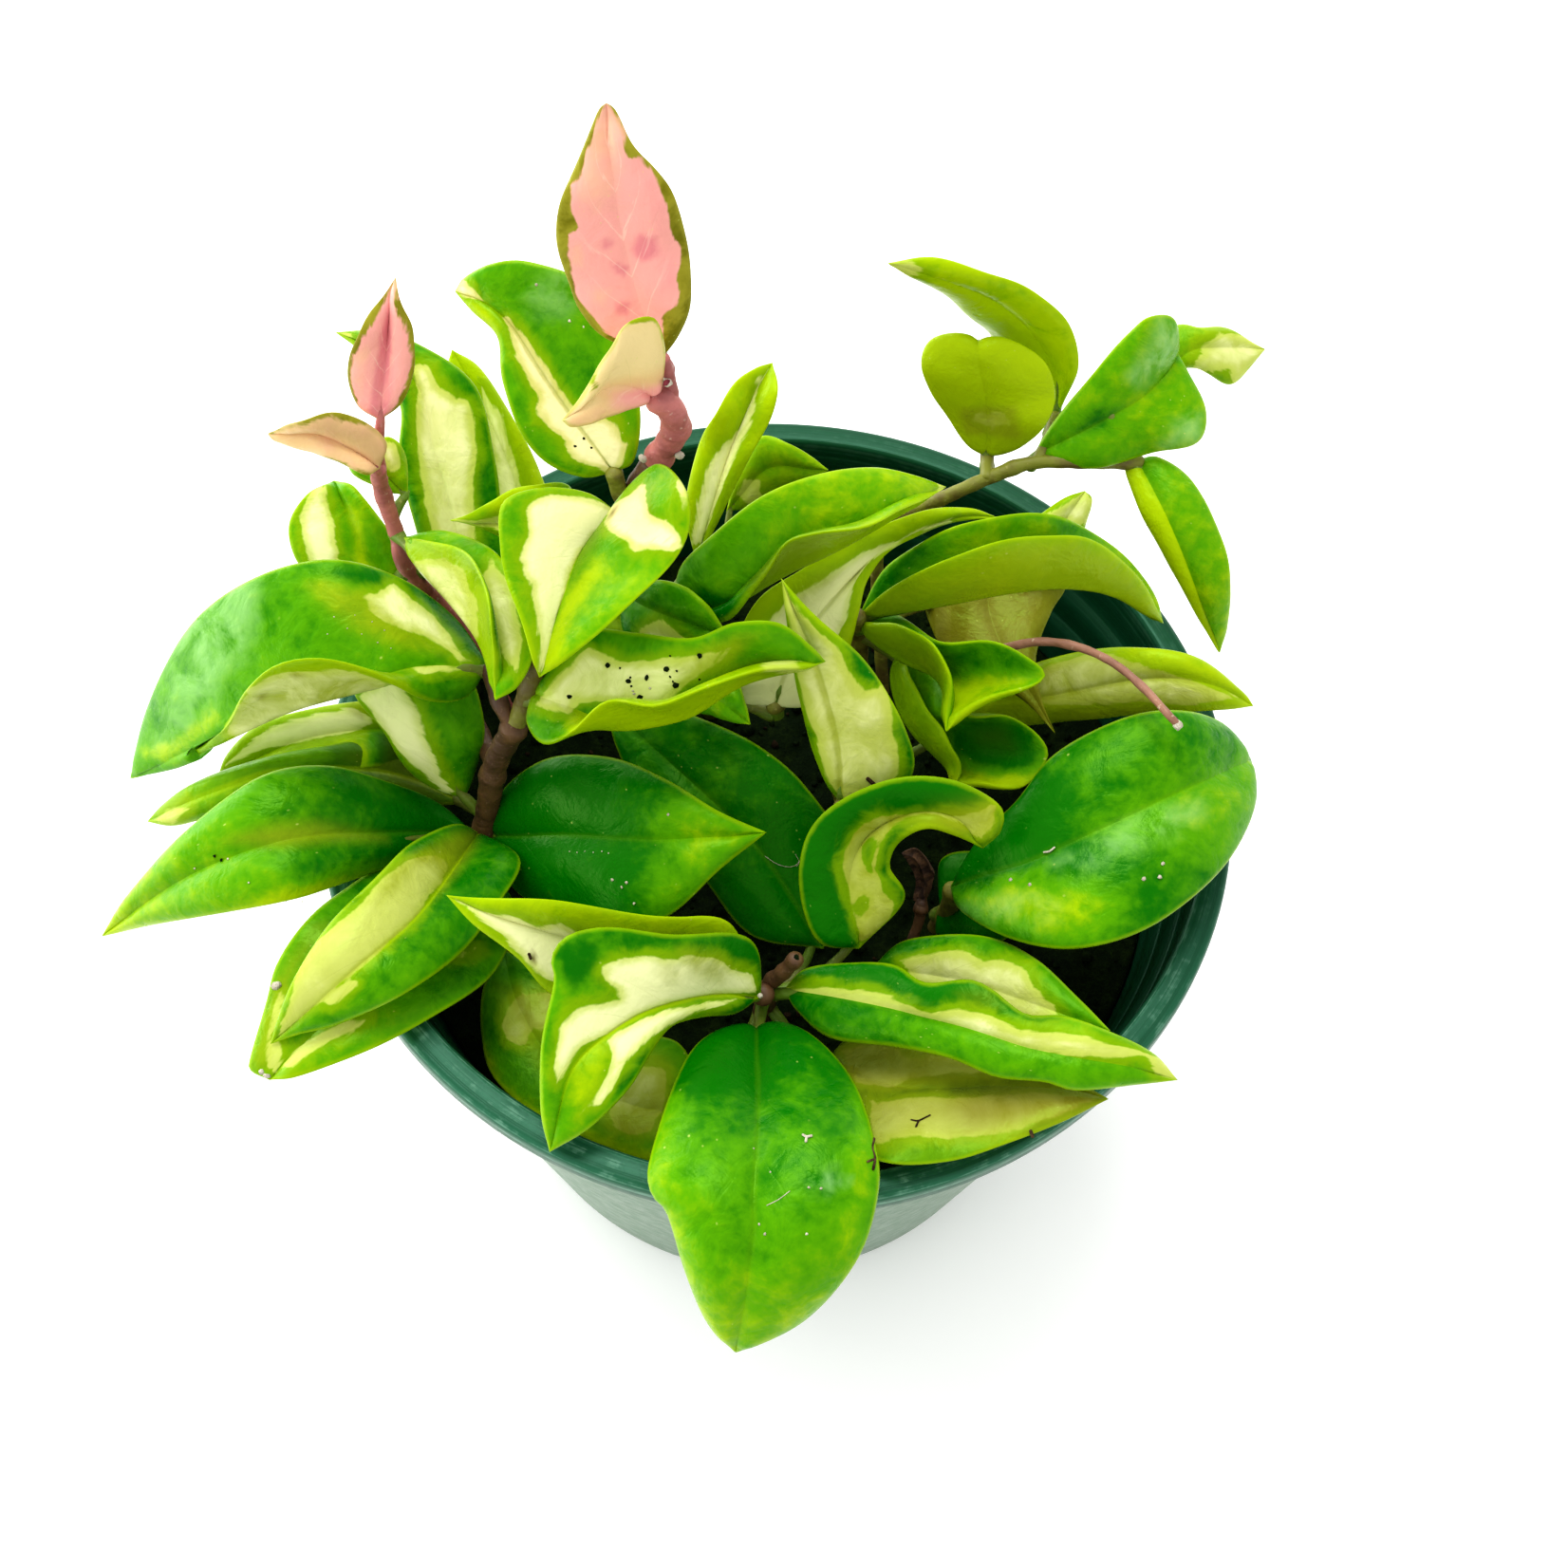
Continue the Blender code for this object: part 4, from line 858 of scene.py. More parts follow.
LEAVES = (
    Leaf("left_arch", "left_stem",
        rib=spots("515,702,128 440,706,133 395,722,135 340,740,134 290,758,130 235,782,124 190,800,117 "
                  "137,820,109"),
        left=spots("490,735,125 448,738,130 400,712,140 340,695,146 290,700,145 258,727,139 238,765,129 "
                   "200,796,118"),
        right=spots("478,650,130 425,610,138 350,589,144 270,608,141 198,662,132 155,745,119"),
        foot=spots("516,708,127"),
        lime=(0.3, 0.4), pale=0.6, thickness=1.9, marks=(
            cream("500,699 488,697 478,686 466,668 455,652 440,640 425,628 412,615 395,628 378,626 381,640 "
                  "397,655 418,664 440,672 458,682 472,694 482,702", RIGHT),
            lime("323,616 340,610 380,618 400,625 430,668 470,695 420,685 385,672 360,655 "
                 "340,640", RIGHT, amount=0.3),
            olive("323,616 345,612 385,630 430,668 470,695 420,685 385,672 355,650", RIGHT),
            dark("330,600 385,600 440,612 480,660 500,690 455,650 420,615 400,625 "
                 "375,615", RIGHT, amount=0.4),
            lime("160,792 200,772 232,742 236,762 210,784 180,797"),
            cream("428,705 455,702 503,703 470,707 440,710", LEFT),
            cream("240,772 250,745 262,722 285,710 320,706 370,706 400,716 415,724 350,740 300,758 "
                  "262,775", LEFT),
            olive("240,772 250,745 285,710 370,706 415,724 350,740 262,775", LEFT, amount=0.85),
            # Painted highlights: the pale sheen on the arch's outer part.
            bloom("188,650 240,610 272,612 278,650 262,690 225,725 190,728", RIGHT, amount=0.4),
            bloom("172,748 205,728 235,720 232,745 200,780 170,790", RIGHT, amount=0.25),
            brown("302,709 313,708 312,714 304,714", LEFT),
            brown("274,731 279,731 279,735 274,735", LEFT, amount=0.7))),
    Leaf("far_left", "left_stem",
        rib=spots("500,880,101 400,884,113 300,892,121 200,925,116 107,987,101"),
        left=spots("440,903,104 350,935,116 300,950,119 230,963,116 160,975,108"),
        right=spots("460,845,104 400,820,114 340,807,121 270,820,124 190,880,119 135,942,109"),
        foot=spots("512,876,100"),
        lime=(-0.35, 0.95), crease=0.5, thickness=1.7, dome=1.2, marks=(
            lime("250,960 330,930 420,900 450,905 380,935 300,955", amount=0.7),
            olive("245,887 290,872 330,870 370,878 400,884 345,888 300,895", amount=0.8))),
    Leaf("left_under", "left_stem",
        rib=spots("495,847,99 400,815,108 300,812,117 220,838,115 155,866,108"),
        left=spots("430,850,104 330,850,112 240,858,113 185,870,110"),
        right=spots("460,802,100 400,779,108 340,786,115 270,800,117 205,826,114 172,848,110"),
        foot=spots("512,858,104"),
        lime=(0.2, 0.6), olive=0.25, sheer=0.5, rib_tint=0.55, marks=(
            # Painted shadow: dark, red-brown shade over the leaf's right part.
            dark("350,790 440,775 500,840 420,850 360,830", amount=0.9, soft=24),
            brown("365,800 440,785 490,840 430,845", amount=0.45, soft=20),
            cream("158,866 185,852 205,850 185,868"))),
    Leaf("left_cream", "left_stem",
        rib=spots("470,765,105 400,768,109 320,780,113 228,822,111"),
        left=spots("440,800,104 385,810,110 310,815,113 260,822,112"),
        right=spots("440,740,109 390,738,112 330,746,115 272,764,115 240,793,113"),
        foot=spots("480,738,112"),
        lime=(0.8, 1.0), pale=2.2, marks=(
            cream("240,806 262,785 285,768 330,752 372,748 392,758 380,770 350,778 310,786 280,789 262,797"),
            # Painted shadow: dark, brown-tinged shade over the leaf's foot.
            dark("392,772 462,768 462,806 392,815", amount=1.0, soft=14),
            brown("400,772 470,768 470,806 400,812", amount=0.45, soft=14),
            brown("355,736 372,732 388,748 378,760 362,748", amount=0.3))),
    Leaf("cream_down", "left_stem",
        rib=spots("489,842,107 455,780,118 425,710,124 405,640,128"),
        left=spots("440,820,110 402,770,116 373,730,121 372,680,125"),
        right=spots("500,815,110 511,765,117 490,700,122 445,650,127"),
        foot=spots("512,862,104"),
        lime=(0.2, 0.4), pale=2.2, marks=(
            cream("377,733 398,724 413,700 425,700 430,732 440,745 452,778 462,802 478,832 470,832 450,812 "
                  "425,790 405,765 390,745"),)),
    Leaf("bright_stripe", "left_stem",
        rib=spots("505,877,103 440,965,117 370,1025,121 285,1100,113"),
        left=spots("548,905,108 530,945,112 490,1000,115 430,1045,118 360,1078,117 315,1090,115"),
        right=spots("478,868,109 432,889,116 395,925,121 345,975,123 310,1030,121 292,1075,116"),
        foot=spots("512,882,99"),
        lime=(0.0, 0.45), pale=-0.25, sheer=0.35, rib_tint=0.55, marks=(
            cream("455,905 470,915 462,935 448,950 430,975 405,1000 385,1017 360,1035 335,1055 310,1078 "
                  "292,1096 297,1075 305,1055 310,1035 320,1010 335,990 358,972 375,958 392,940 405,925 "
                  "420,915 440,905"),
            olive("395,952 405,925 430,905 450,895 475,880 500,878 498,900 480,925 462,942 455,915 435,915 "
                  "405,945", amount=0.85),
            cream("343,1052 350,1042 375,1030 378,1036 360,1052 347,1058", LEFT))),
    Leaf("stripe_under", "left_stem",
        rib=spots("512,905,97 440,1000,108 360,1065,113 284,1138,110"),
        left=spots("545,960,97 530,1010,102 500,1045,107 440,1080,111 380,1110,113 314,1134,112"),
        right=spots("430,900,106 355,942,114 318,975,117 292,1015,115 281,1055,113 264,1112,111 "
                    "264,1128,110"),
        foot=spots("511,890,96"),
        lime=(0.0, 0.65), pale=0.05, marks=(
            cream("300,1128 312,1108 335,1092 365,1080 388,1076 375,1090 350,1100 330,1112 312,1128"),
            cream("285,1098 298,1096 300,1115 292,1132 282,1124"),
            cream("300,1040 303,1050 290,1090 285,1120 280,1115 285,1085 293,1050"),
            olive("262,1125 275,1080 285,1050 300,1020 330,975 345,975 310,1030 295,1070 "
                  "283,1125", amount=0.6),
            cream("475,1018 490,1005 500,1003 492,1012"))),
    Leaf("dark_spade", "left_stem",
        rib=spots("518,880,102 600,880,113 700,882,119 808,877,120"),
        left=spots("530,833,108 575,800,115 640,797,120 700,820,123 755,853,123"),
        right=spots("545,940,100 600,965,106 650,978,110 705,965,113 760,915,118"),
        foot=spots("512,878,100"),
        lime=(-0.3, 0.1), crease=0.4, dome=1.4, thickness=1.8, marks=(
            lime("740,845 808,877 770,905 740,925 710,960 690,950 712,905 700,860", amount=0.7, soft=45),)),
    Leaf("pepper_leaf", "left_stem",
        rib=spots("560,730,131 600,745,132 650,766,131 720,756,132 785,718,136 870,697,141"),
        left=spots("590,690,136 622,663,140 670,667,142 730,672,144 775,655,148 820,655,148 855,682,144"),
        right=spots("555,762,129 573,784,130 603,768,137 640,741,143 690,744,144 745,724,145 800,704,145 "
                    "850,703,142"),
        foot=spots("555,738,129"),
        lime=(0.2, 0.45), pale=0.35, sheer=0.15, thickness=1.9, marks=(
            cream("572,735 590,714 606,700 612,688 625,682 645,690 670,697 700,692 735,686 760,680 772,674 "
                  "766,684 745,700 730,712 712,730 695,742 660,742 630,738 612,740 600,757 585,750 570,744"),
            olive("735,690 760,675 785,665 792,666 775,685 760,700 735,712 708,722 "
                  "716,700", LEFT, amount=0.75),
            cream("765,704 785,698 800,695 840,696 852,701 830,706 800,703"),
            lime("600,772 605,748 640,739 680,743 720,738 760,722 805,704 770,737 720,759 "
                 "660,772", RIGHT, amount=1.1))),
    Leaf("pink_small", "left_shoot",
        rib=spots("400,443,160 405,400,165 410,340,172 417,292,178"),
        left=spots("375,425,162 366,390,167 378,348,173 402,315,176"),
        right=spots("424,424,162 437,385,167 433,345,173 421,312,177"),
        foot=spots("398,495,151 399,468,156"),
        flush=1.1, lime=(0.0, 0.0), olive=0.6, thickness=1.2, marks=(
            cream("400,450 380,430 369,402 369,375 381,350 405,315 418,290 422,312 429,345 435,370 432,392 "
                  "428,405 418,425 406,446"),
            rosy("392,448 395,400 400,350 407,325 412,355 409,400 406,448", amount=0.85),
            rosy("366,400 368,370 380,350 392,345 390,400 384,430", amount=-0.25))),
    Leaf("peach_small", "left_shoot",
        rib=spots("400,494,154 370,473,157 335,455,159 303,452,159 282,457,158"),
        left=spots("384,500,155 350,484,156 315,474,156 290,465,157"),
        right=spots("407,465,158 378,441,162 340,437,164 306,446,162"),
        foot=spots("400,505,149"),
        flush=0.55, lime=(0.0, 0.0), olive=0.5, thickness=1.2, marks=(
            cream("280,458 300,446 345,438 395,446 409,464 409,500 395,500 380,498 350,482 310,476 290,466"),
            brown("300,450 345,440 395,448 406,465 404,495 388,480 360,462 330,452", amount=0.3, soft=10))),
    Leaf("left_high_back", "left_shoot",
        rib=spots("412,620,127 380,570,132 352,506,136"),
        left=spots("350,625,128 315,595,132 304,555,135 322,522,137"),
        right=spots("440,605,127 425,580,130 400,545,134 373,513,137"),
        foot=spots("428,603,130"),
        lime=(0.5, 0.6), pale=0.6, marks=(
            cream("322,522 338,510 345,535 352,560 360,600 330,600 318,565 316,545"),
            lime("372,540 378,540 388,600 378,600"))),
    Leaf("curled_pale", "left_shoot",
        rib=spots("424,566,138 447,600,138 475,633,137 504,672,137 517,705,136 522,738,136"),
        left=spots("470,560,140 520,580,143 552,630,142 562,685,139 546,722,137"),
        right=spots("448,569,141 482,577,145 503,598,147 517,640,147 522,680,143 521,715,138"),
        foot=spots("417,562,137"),
        lime=(0.55, 0.5), pale=0.3, thickness=1.9, marks=(
            cream("520,588 545,625 556,680 545,712 534,690 522,650 514,612", LEFT),
            cream("438,590 470,588 492,600 504,640 510,690 490,670 462,628", RIGHT),
            olive("425,568 500,590 515,640 520,700 500,690 450,610", RIGHT, amount=0.35),
            dark("478,570 500,585 516,620 524,680 520,705 511,640 500,606 484,588", RIGHT, amount=0.5))),
    Leaf("back_left_tall", "left_shoot",
        rib=spots("490,600,128 478,545,133 455,470,141 440,410,147 400,372,150 353,350,150"),
        left=spots("455,600,128 433,540,134 420,480,141 422,430,146 405,395,149 375,366,150"),
        right=spots("528,600,129 528,540,134 521,480,140 500,405,147 440,362,151 390,349,151"),
        foot=spots("430,598,131 455,604,128"),
        lime=(0.15, 0.2), pale=0.35, marks=(
            cream("436,385 450,386 460,405 480,420 494,422 501,440 503,480 500,530 504,560 500,602 470,602 "
                  "458,570 448,530 440,490 438,450 440,410"),
            cream("355,351 372,352 372,358"),
            lime("445,380 462,385 470,415 458,420 446,400", amount=0.5))),
    Leaf("back_left_tall2", "left_shoot",
        rib=spots("560,590,122 540,500,131 510,430,139 476,368,146"),
        left=spots("520,590,123 500,500,131 478,430,139 470,395,143"),
        right=spots("590,560,123 572,505,130 549,455,136 508,390,143"),
        foot=spots("455,604,128 510,605,123"),
        lime=(1.1, 1.1), pale=0.7, marks=(
            cream("508,410 530,440 545,490 556,590 530,600 522,530 514,460"),
            lime("478,375 510,395 560,450 590,560 560,590 530,440"))),
    Leaf("small_back", "left_shoot",
        rib=spots("430,522,142 400,498,145 365,488,146"),
        left=spots("415,518,142 390,510,144 372,500,145"),
        right=spots("428,480,146 410,460,149 385,470,149"),
        foot=spots("411,545,140"),
        lime=(0.6, 0.5), marks=(
            cream("402,462 415,468 423,492 412,497 400,480"),)),
    Leaf("star_leaf", "centre_shoot",
        rib=spots("656,545,148 612,590,147 590,640,145 568,714,143"),
        left=spots("690,489,158 722,515,161 725,560,158 700,605,154 650,650,151 602,690,147"),
        right=spots("620,519,152 570,514,155 529,530,156 527,580,154 545,640,151 560,690,147"),
        foot=spots("661,537,142"),
        lime=(0.5, 0.65), pale=0.9, flush=0.08, rib_tint=0.55, thickness=1.8, marks=(
            cream("555,530 590,521 620,526 657,541 642,552 625,570 610,590 598,615 590,650 583,690 575,710 "
                  "566,707 560,670 556,640 552,615 545,605 542,590 548,575 553,560 551,545", RIGHT),
            cream("640,562 650,546 656,534 672,524 684,508 688,520 688,542 706,549 716,562 722,582 705,583 "
                  "689,582 672,584 664,573 650,564", LEFT),
            lime("600,640 612,620 626,606 640,594 636,604 618,628 603,655 590,692 580,702 588,670", LEFT),
            olive("606,590 622,568 638,556 645,563 632,580 615,602 602,622", LEFT, amount=0.55),
            cream("714,498 724,506 727,530 721,540 716,520"),
            rosy("648,548 655,532 690,500 705,548 680,560 655,560", LEFT, amount=0.2),
            brown("648,543 655,543 655,548 648,548"))),
    Leaf("mid_back", "centre_shoot",
        rib=spots("648,497,150 610,450,154 568,393,159 538,345,163 510,318,165 479,307,165"),
        left=spots("615,503,150 575,487,152 545,450,156 529,400,160 524,355,163 497,328,164"),
        right=spots("668,485,152 675,435,157 660,360,164 620,300,169 560,276,171 520,277,170 490,292,167"),
        foot=spots("650,508,148"),
        lime=(0.35, 0.5), pale=0.75, flush=0.14, rib_tint=0.5, thickness=1.8, marks=(
            cream("645,500 625,493 608,487 598,478 590,462 575,450 562,432 565,420 555,405 545,385 535,360 "
                  "530,335 537,333 547,345 558,360 572,380 587,400 602,425 620,438 635,438 650,445 655,462 "
                  "662,468 658,490"),
            cream("478,303 490,295 505,304 514,318 500,316 488,312"),
            lime("480,312 500,318 520,330 522,352 500,336"),
            # Painted highlight: a pale sheen patch.
            bloom("552,300 590,282 615,300 600,330 565,330", amount=0.3),
            dark("565,325 600,325 645,350 655,400 625,420 592,385 566,352", amount=0.12),
            olive("612,440 650,440 652,452 640,446 625,445", amount=0.5))),
    Leaf("pink_big", "centre_shoot",
        rib=spots("699,376,175 676,320,181 660,255,188 650,190,196 639,108,205"),
        left=spots("640,358,176 612,328,179.5 600,300,183 588,265,188 586,237,191.5 592,208,195.4 "
                   "608,170,198.8 622,135,202.5 631,115,204.4"),
        right=spots("715,354,177.5 727,325,180.5 728,290,184.5 723,250,189 710,205,195 690,176,198.4 "
                    "665,150,201.8 649,117,204.4"),
        foot=spots("702,390,172"),
        flush=1.0, lime=(0.05, 0.05), olive=0.65, thickness=1.3, dome=0.8, crease=0.8, marks=(
            cream("638,106 646,114 654,125 661,142 662,153 666,162 676,163 684,174 690,187 696,199 704,214 "
                  "707,229 711,246 717,265 716,280 712,290 716,305 714,319 703,326 698,334 700,353 690,372 "
                  "660,365 642,351 632,340 627,332 619,324 608,311 603,292 599,275 595,266 600,258 598,244 "
                  "610,240 605,229 602,216 603,195 608,187 617,160 625,138 633,118"),
            rosy("600,100 680,100 676,150 655,165 640,200 600,215", amount=-0.3, soft=40),
            olive("640,100 652,118 645,132 624,168 610,184 616,140", amount=0.8),
            brown("630,105 648,105 650,122 634,128 624,150 618,145", amount=0.25, soft=12),
            rosy("674,246 688,248 690,264 677,272 668,262", amount=0.9, soft=11),
            rosy("632,248 646,250 642,258 633,257", amount=0.7, soft=8),
            rosy("644,274 662,281 658,288 646,281", amount=0.8, soft=8),
            rosy("650,316 664,318 662,330 651,328", amount=0.7, soft=9),
            rosy("680,180 700,205 716,260 716,300 695,310 690,240", amount=0.25, soft=16),
            rosy("598,255 610,250 612,276 602,280", amount=-0.25, soft=10),
            rosy("622,300 645,302 640,325 622,318", amount=-0.25, soft=12))),
    Leaf("pink_curl", "centre_shoot",
        rib=spots("696,420,168 665,408,171 630,412,173 592,443,172"),
        left=spots("682,425,168 650,437,169 620,447,170 602,450,171"),
        right=spots("701,372,178 690,335,184 658,341,184 640,372,180 618,410,175"),
        foot=spots("704,428,166"),
        flush=0.32, pale=1.3, lime=(0.9, 0.9), olive=0.6, thickness=1.3, crease=0.2, marks=(
            cream("582,456 590,436 624,402 634,370 650,340 690,336 708,372 708,432 680,432 650,444 620,456 "
                  "596,458"),
            rosy("706,420 700,400 670,404 640,412 660,424 690,430", amount=0.55, soft=24),
            rosy("700,400 706,430 650,445 600,452 600,440 650,415", amount=0.25, soft=8))),
    Leaf("horn_leaf", "centre_shoot",
        rib=spots("605,560,139 540,552,143 474,548,146"),
        left=spots("590,590,138 540,572,141 505,556,144"),
        right=spots("600,512,145 555,512,148 518,528,148 495,541,147"),
        foot=spots("660,572,129 635,566,134"),
        lime=(0.5, 0.5), marks=(
            cream("474,546 500,543 534,538 534,558 500,553"),
            lime("500,520 560,508 600,515 600,525 540,528 520,538"))),
    Leaf("under_star", "centre_shoot",
        rib=spots("655,625,130 705,648,134 768,668,134"),
        left=spots("690,611,136 722,618,138 745,638,138"),
        right=spots("660,670,127 705,685,129 745,684,132"),
        foot=spots("661,592,120 652,612,126"),
        lime=(0.1, 0.45), marks=(
            cream("680,660 700,650 715,660 737,674 720,684 695,684 676,675"),)),
    Leaf("under_star_low", "centre_shoot",
        rib=spots("600,640,122 650,652,124 690,664,125"),
        left=spots("620,622,124 660,622,127 686,640,127"),
        right=spots("600,665,120 640,675,122 670,675,123"),
        foot=spots("661,598,116 625,625,118"),
        lime=(0.3, 0.3), olive=0.6),
    Leaf("centre_up_right", "back_stem",
        rib=spots("733,592,128 755,520,135 780,450,142 814,382,149"),
        left=spots("722,535,134 736,470,141 756,430,147 775,402,149 796,388,150"),
        right=spots("752,560,131 776,510,137 800,465,143 819,415,149"),
        foot=spots("705,630,126 718,612,126"),
        lime=(1.1, 1.1), pale=1.1, marks=(
            cream("727,575 733,530 745,490 760,465 775,450 785,425 795,395 808,388 801,430 796,450 781,480 "
                  "765,510 750,545 738,572"),)),
    Leaf("back_strip", "back_stem",
        rib=spots("765,540,119 810,492,127 873,495,128"),
        left=spots("775,500,125 800,460,131 830,467,132 855,482,130"),
        right=spots("800,530,119 840,510,124"),
        foot=(Ground(-13, 27, 92), Ground(-12, 34, 108)),
        lime=(0.6, 0.6), olive=0.2, marks=(
            cream("776,520 784,504 800,502 802,516 788,528"),)),
    Leaf("big_green_centre", "back_stem",
        rib=spots("712,645,130 760,640,134 820,608,139 880,580,143 940,545,146 997,513,143"),
        left=spots("715,600,136 745,568,142 800,524,148 860,500,152 920,492,151 962,501,147"),
        right=spots("765,655,134 800,615,141 825,573,149 858,562,153 912,555,153 952,537,150"),
        foot=spots("708,640,128"),
        lime=(0.35, 0.7), dome=1.0, thickness=1.7, marks=(
            olive("790,625 800,600 830,568 858,559 912,552 930,556 900,578 860,595 "
                  "820,610", RIGHT, amount=0.55),
            dark("790,625 800,600 830,568 870,559 860,590 820,610", RIGHT, amount=0.7),
            # Painted shade at the lower left, near the foot.
            dark("715,640 745,618 790,640 760,656", amount=0.6),
            cream("987,511 999,510 998,517 986,517"))),
    Leaf("cream_right_back", "middle_stem",
        rib=spots("815,745,117 835,690,126 870,640,131 930,580,135 1000,545,136 1051,545,133"),
        left=spots("775,735,118 775,680,127 800,630,134 850,597,138 910,562,140 970,538,140 1020,535,136"),
        right=spots("858,740,118 892,690,125 905,645,131 915,610,134 945,577,136 1000,552,135"),
        foot=spots("818,752,113"),
        lime=(1.3, 1.4), pale=2.2, rib_tint=0.4, marks=(
            cream("776,745 783,700 800,660 825,634 850,614 880,594 905,578 945,564 960,552 1000,543 "
                  "1000,549 958,566 940,582 916,598 905,612 898,630 892,650 885,665 880,700 862,745 "
                  "820,755"),
            olive("826,650 836,620 862,600 882,598 870,617 855,644", amount=0.6),
            olive("780,740 790,690 830,660 850,745", amount=0.2),
            lime("870,575 900,560 960,540 1020,535 1050,545 1000,540 930,562 880,590"))),
    Leaf("spear_leaf", "middle_stem",
        rib=spots("888,848,118 880,780,128 865,720,136 845,660,143 823,609,148"),
        left=spots("868,820,121 848,765,129 836,700,137 828,650,144"),
        right=spots("938,850,118 963,810,123 955,770,129 932,725,135 903,687,140 860,650,145"),
        foot=spots("888,855,115"),
        sheer=0.45, lime=(0.0, 0.15), pale=0.1, rib_tint=0.6, thickness=1.6, marks=(
            cream("822,606 835,630 848,645 862,660 876,672 885,685 893,700 900,712 908,724 930,722 936,732 "
                  "939,760 945,790 945,810 935,828 905,850 888,850 876,820 863,780 850,740 843,705 836,670 "
                  "828,640"),
            olive("893,840 915,820 945,800 938,835 905,850", amount=0.35))),
    Leaf("small_tip", "middle_stem",
        rib=spots("728,728,121 760,740,124 791,763,122"),
        left=spots("745,715,123 775,717,125 786,742,124"),
        right=spots("735,748,120 765,758,121"),
        foot=spots("812,752,113 765,735,115"),
        lime=(0.2, 0.5), marks=(
            cream("750,721 762,716 770,727 760,732"),)),
    Leaf("right_arch", "right_back_stem",
        rib=spots("905,648,123 950,641,126 1000,634,128 1060,624,130 1120,619,129 1175,627,125 "
                  "1226,657,117"),
        left=spots("928,603,129 960,578,134 1000,556,139 1045,545,142 1090,540,141 1130,549,137 "
                   "1175,577,129 1212,620,120"),
        right=spots("930,626,130 965,605,137 1000,587,142 1050,570,144 1100,564,142 1150,569,138.5 "
                    "1200,608,128"),
        foot=spots("904,655,121"),
        lime=(0.5, 0.7), thickness=1.9, dome=-0.4, marks=(
            # Painted shade where the far half's upper face lies in shadow behind the fold.
            dark("905,645 925,604 960,576 1005,560 992,582 960,602 925,636", LEFT, amount=0.45),
            dark("1110,548 1150,556 1160,565 1120,560", LEFT, amount=0.5),
            olive("905,650 930,622 1000,592 1060,572 1130,566 1190,596 1226,660 1175,640 1110,632 1050,638 "
                  "980,648", RIGHT, amount=0.8),
            lime("985,634 1020,620 1058,606 1062,611 1035,624 1000,638", RIGHT))),
    Leaf("pale_tip_back", "right_back_stem",
        rib=spots("1080,610,119 1120,550,126 1143,517,129"),
        left=spots("1060,570,124 1098,540,127 1122,524,129"),
        right=spots("1135,590,121 1144,555,125 1151,527,128"),
        foot=spots("1060,612,115"),
        lime=(0.4, 0.7), marks=(
            cream("1100,542 1143,516 1152,528 1146,550 1132,553 1108,547"),)),
    Leaf("under_right", "right_back_stem",
        rib=spots("1040,600,116 1045,660,114 1085,728,114 1112,773,113"),
        left=spots("1120,610,116 1108,645,115 1092,690,115 1097,735,114"),
        right=spots("975,610,115 985,670,111 1020,710,111 1080,735,113"),
        foot=spots("1040,612,112"),
        lime=(0.2, 0.4), olive=0.9, sheer=0.9, pale=-0.4, marks=(
            cream("1020,620 1095,620 1098,640 1083,670 1072,700 1040,700 1020,680"),
            cream("985,620 1005,620 1002,690 988,680"),
            olive("985,620 1100,620 1075,700 1000,690", amount=0.6),
            brown("970,600 1130,600 1120,780 960,720", amount=0.65, soft=10),
            dark("1004,620 1020,620 1018,700 1003,700", amount=0.6, soft=5),
            lime("1080,705 1095,720 1112,773 1095,745"))),
    Leaf("twist_green", "right_back_stem",
        rib=spots("903,655,122 945,688,120 985,710,120 999,735,121 997,771,124"),
        left=spots("940,645,123 990,675,130 1045,675,134 1080,690,134 1100,714,132 1050,732,129 "
                   "1015,752,126"),
        right=spots("925,657,126 957,661,130 985,680,132 999,710,130 998,745,126"),
        foot=spots("904,662,119"),
        lime=(0.4, 0.55), thickness=2.0, dome=-0.3, marks=(
            dark("985,675 1030,672 1080,688 1095,705 1040,706 1000,702", LEFT, amount=0.3),
            olive("903,652 940,655 980,680 999,706 985,708 950,687 920,672", RIGHT, amount=0.45),
            lime("1002,720 1040,712 1095,712 1040,738 1000,765", LEFT, amount=0.45))),
    Leaf("cup_green", "right_back_stem",
        rib=spots("950,688,114 944,722,110 962,770,108 998,806,108 1006,829,110"),
        left=spots("988,695,117 1015,750,120 1065,756,121 1104,792,118 1078,830,114 1035,827,112"),
        right=spots("955,702,117 975,742,116 998,780,115 1012,805,113"),
        foot=spots("904,668,116 925,680,114"),
        lime=(0.5, 0.5), thickness=1.9, dome=-0.3, marks=(
            dark("1000,760 1050,754 1088,775 1098,800 1080,812 1040,808 1012,795", LEFT, amount=0.65),
            brown("1020,765 1060,762 1070,790 1030,785", LEFT, amount=0.25, soft=16),
            lime("1002,818 1040,822 1085,818 1080,834 1035,834 1008,834", amount=0.5),
            cream("1002,822 1010,822 1008,832"))),
    Leaf("right_low_pale", "right_back_stem",
        rib=spots("1000,745,102 1100,735,107 1200,715,114 1265,718,116 1321,744,112"),
        left=spots("1060,712,104 1130,687,111 1200,682,117 1260,692,118 1308,727,114"),
        right=spots("1060,765,101 1150,757,105 1220,752,110 1290,748,113"),
        foot=(Ground(15, 16, 88), Ground(24, 11, 97)),
        lime=(1.0, 1.0), olive=0.2, sheer=0.75, pale=0.1, rib_tint=0.5, marks=(
            cream("1080,722 1110,702 1140,692 1165,688 1200,698 1240,710 1300,735 1250,742 1200,736 "
                  "1150,738 1100,740"),
            olive("1050,745 1080,715 1140,735 1220,738 1240,750 1150,760", amount=0.5))),
    Leaf("heart_up", "vine_stem",
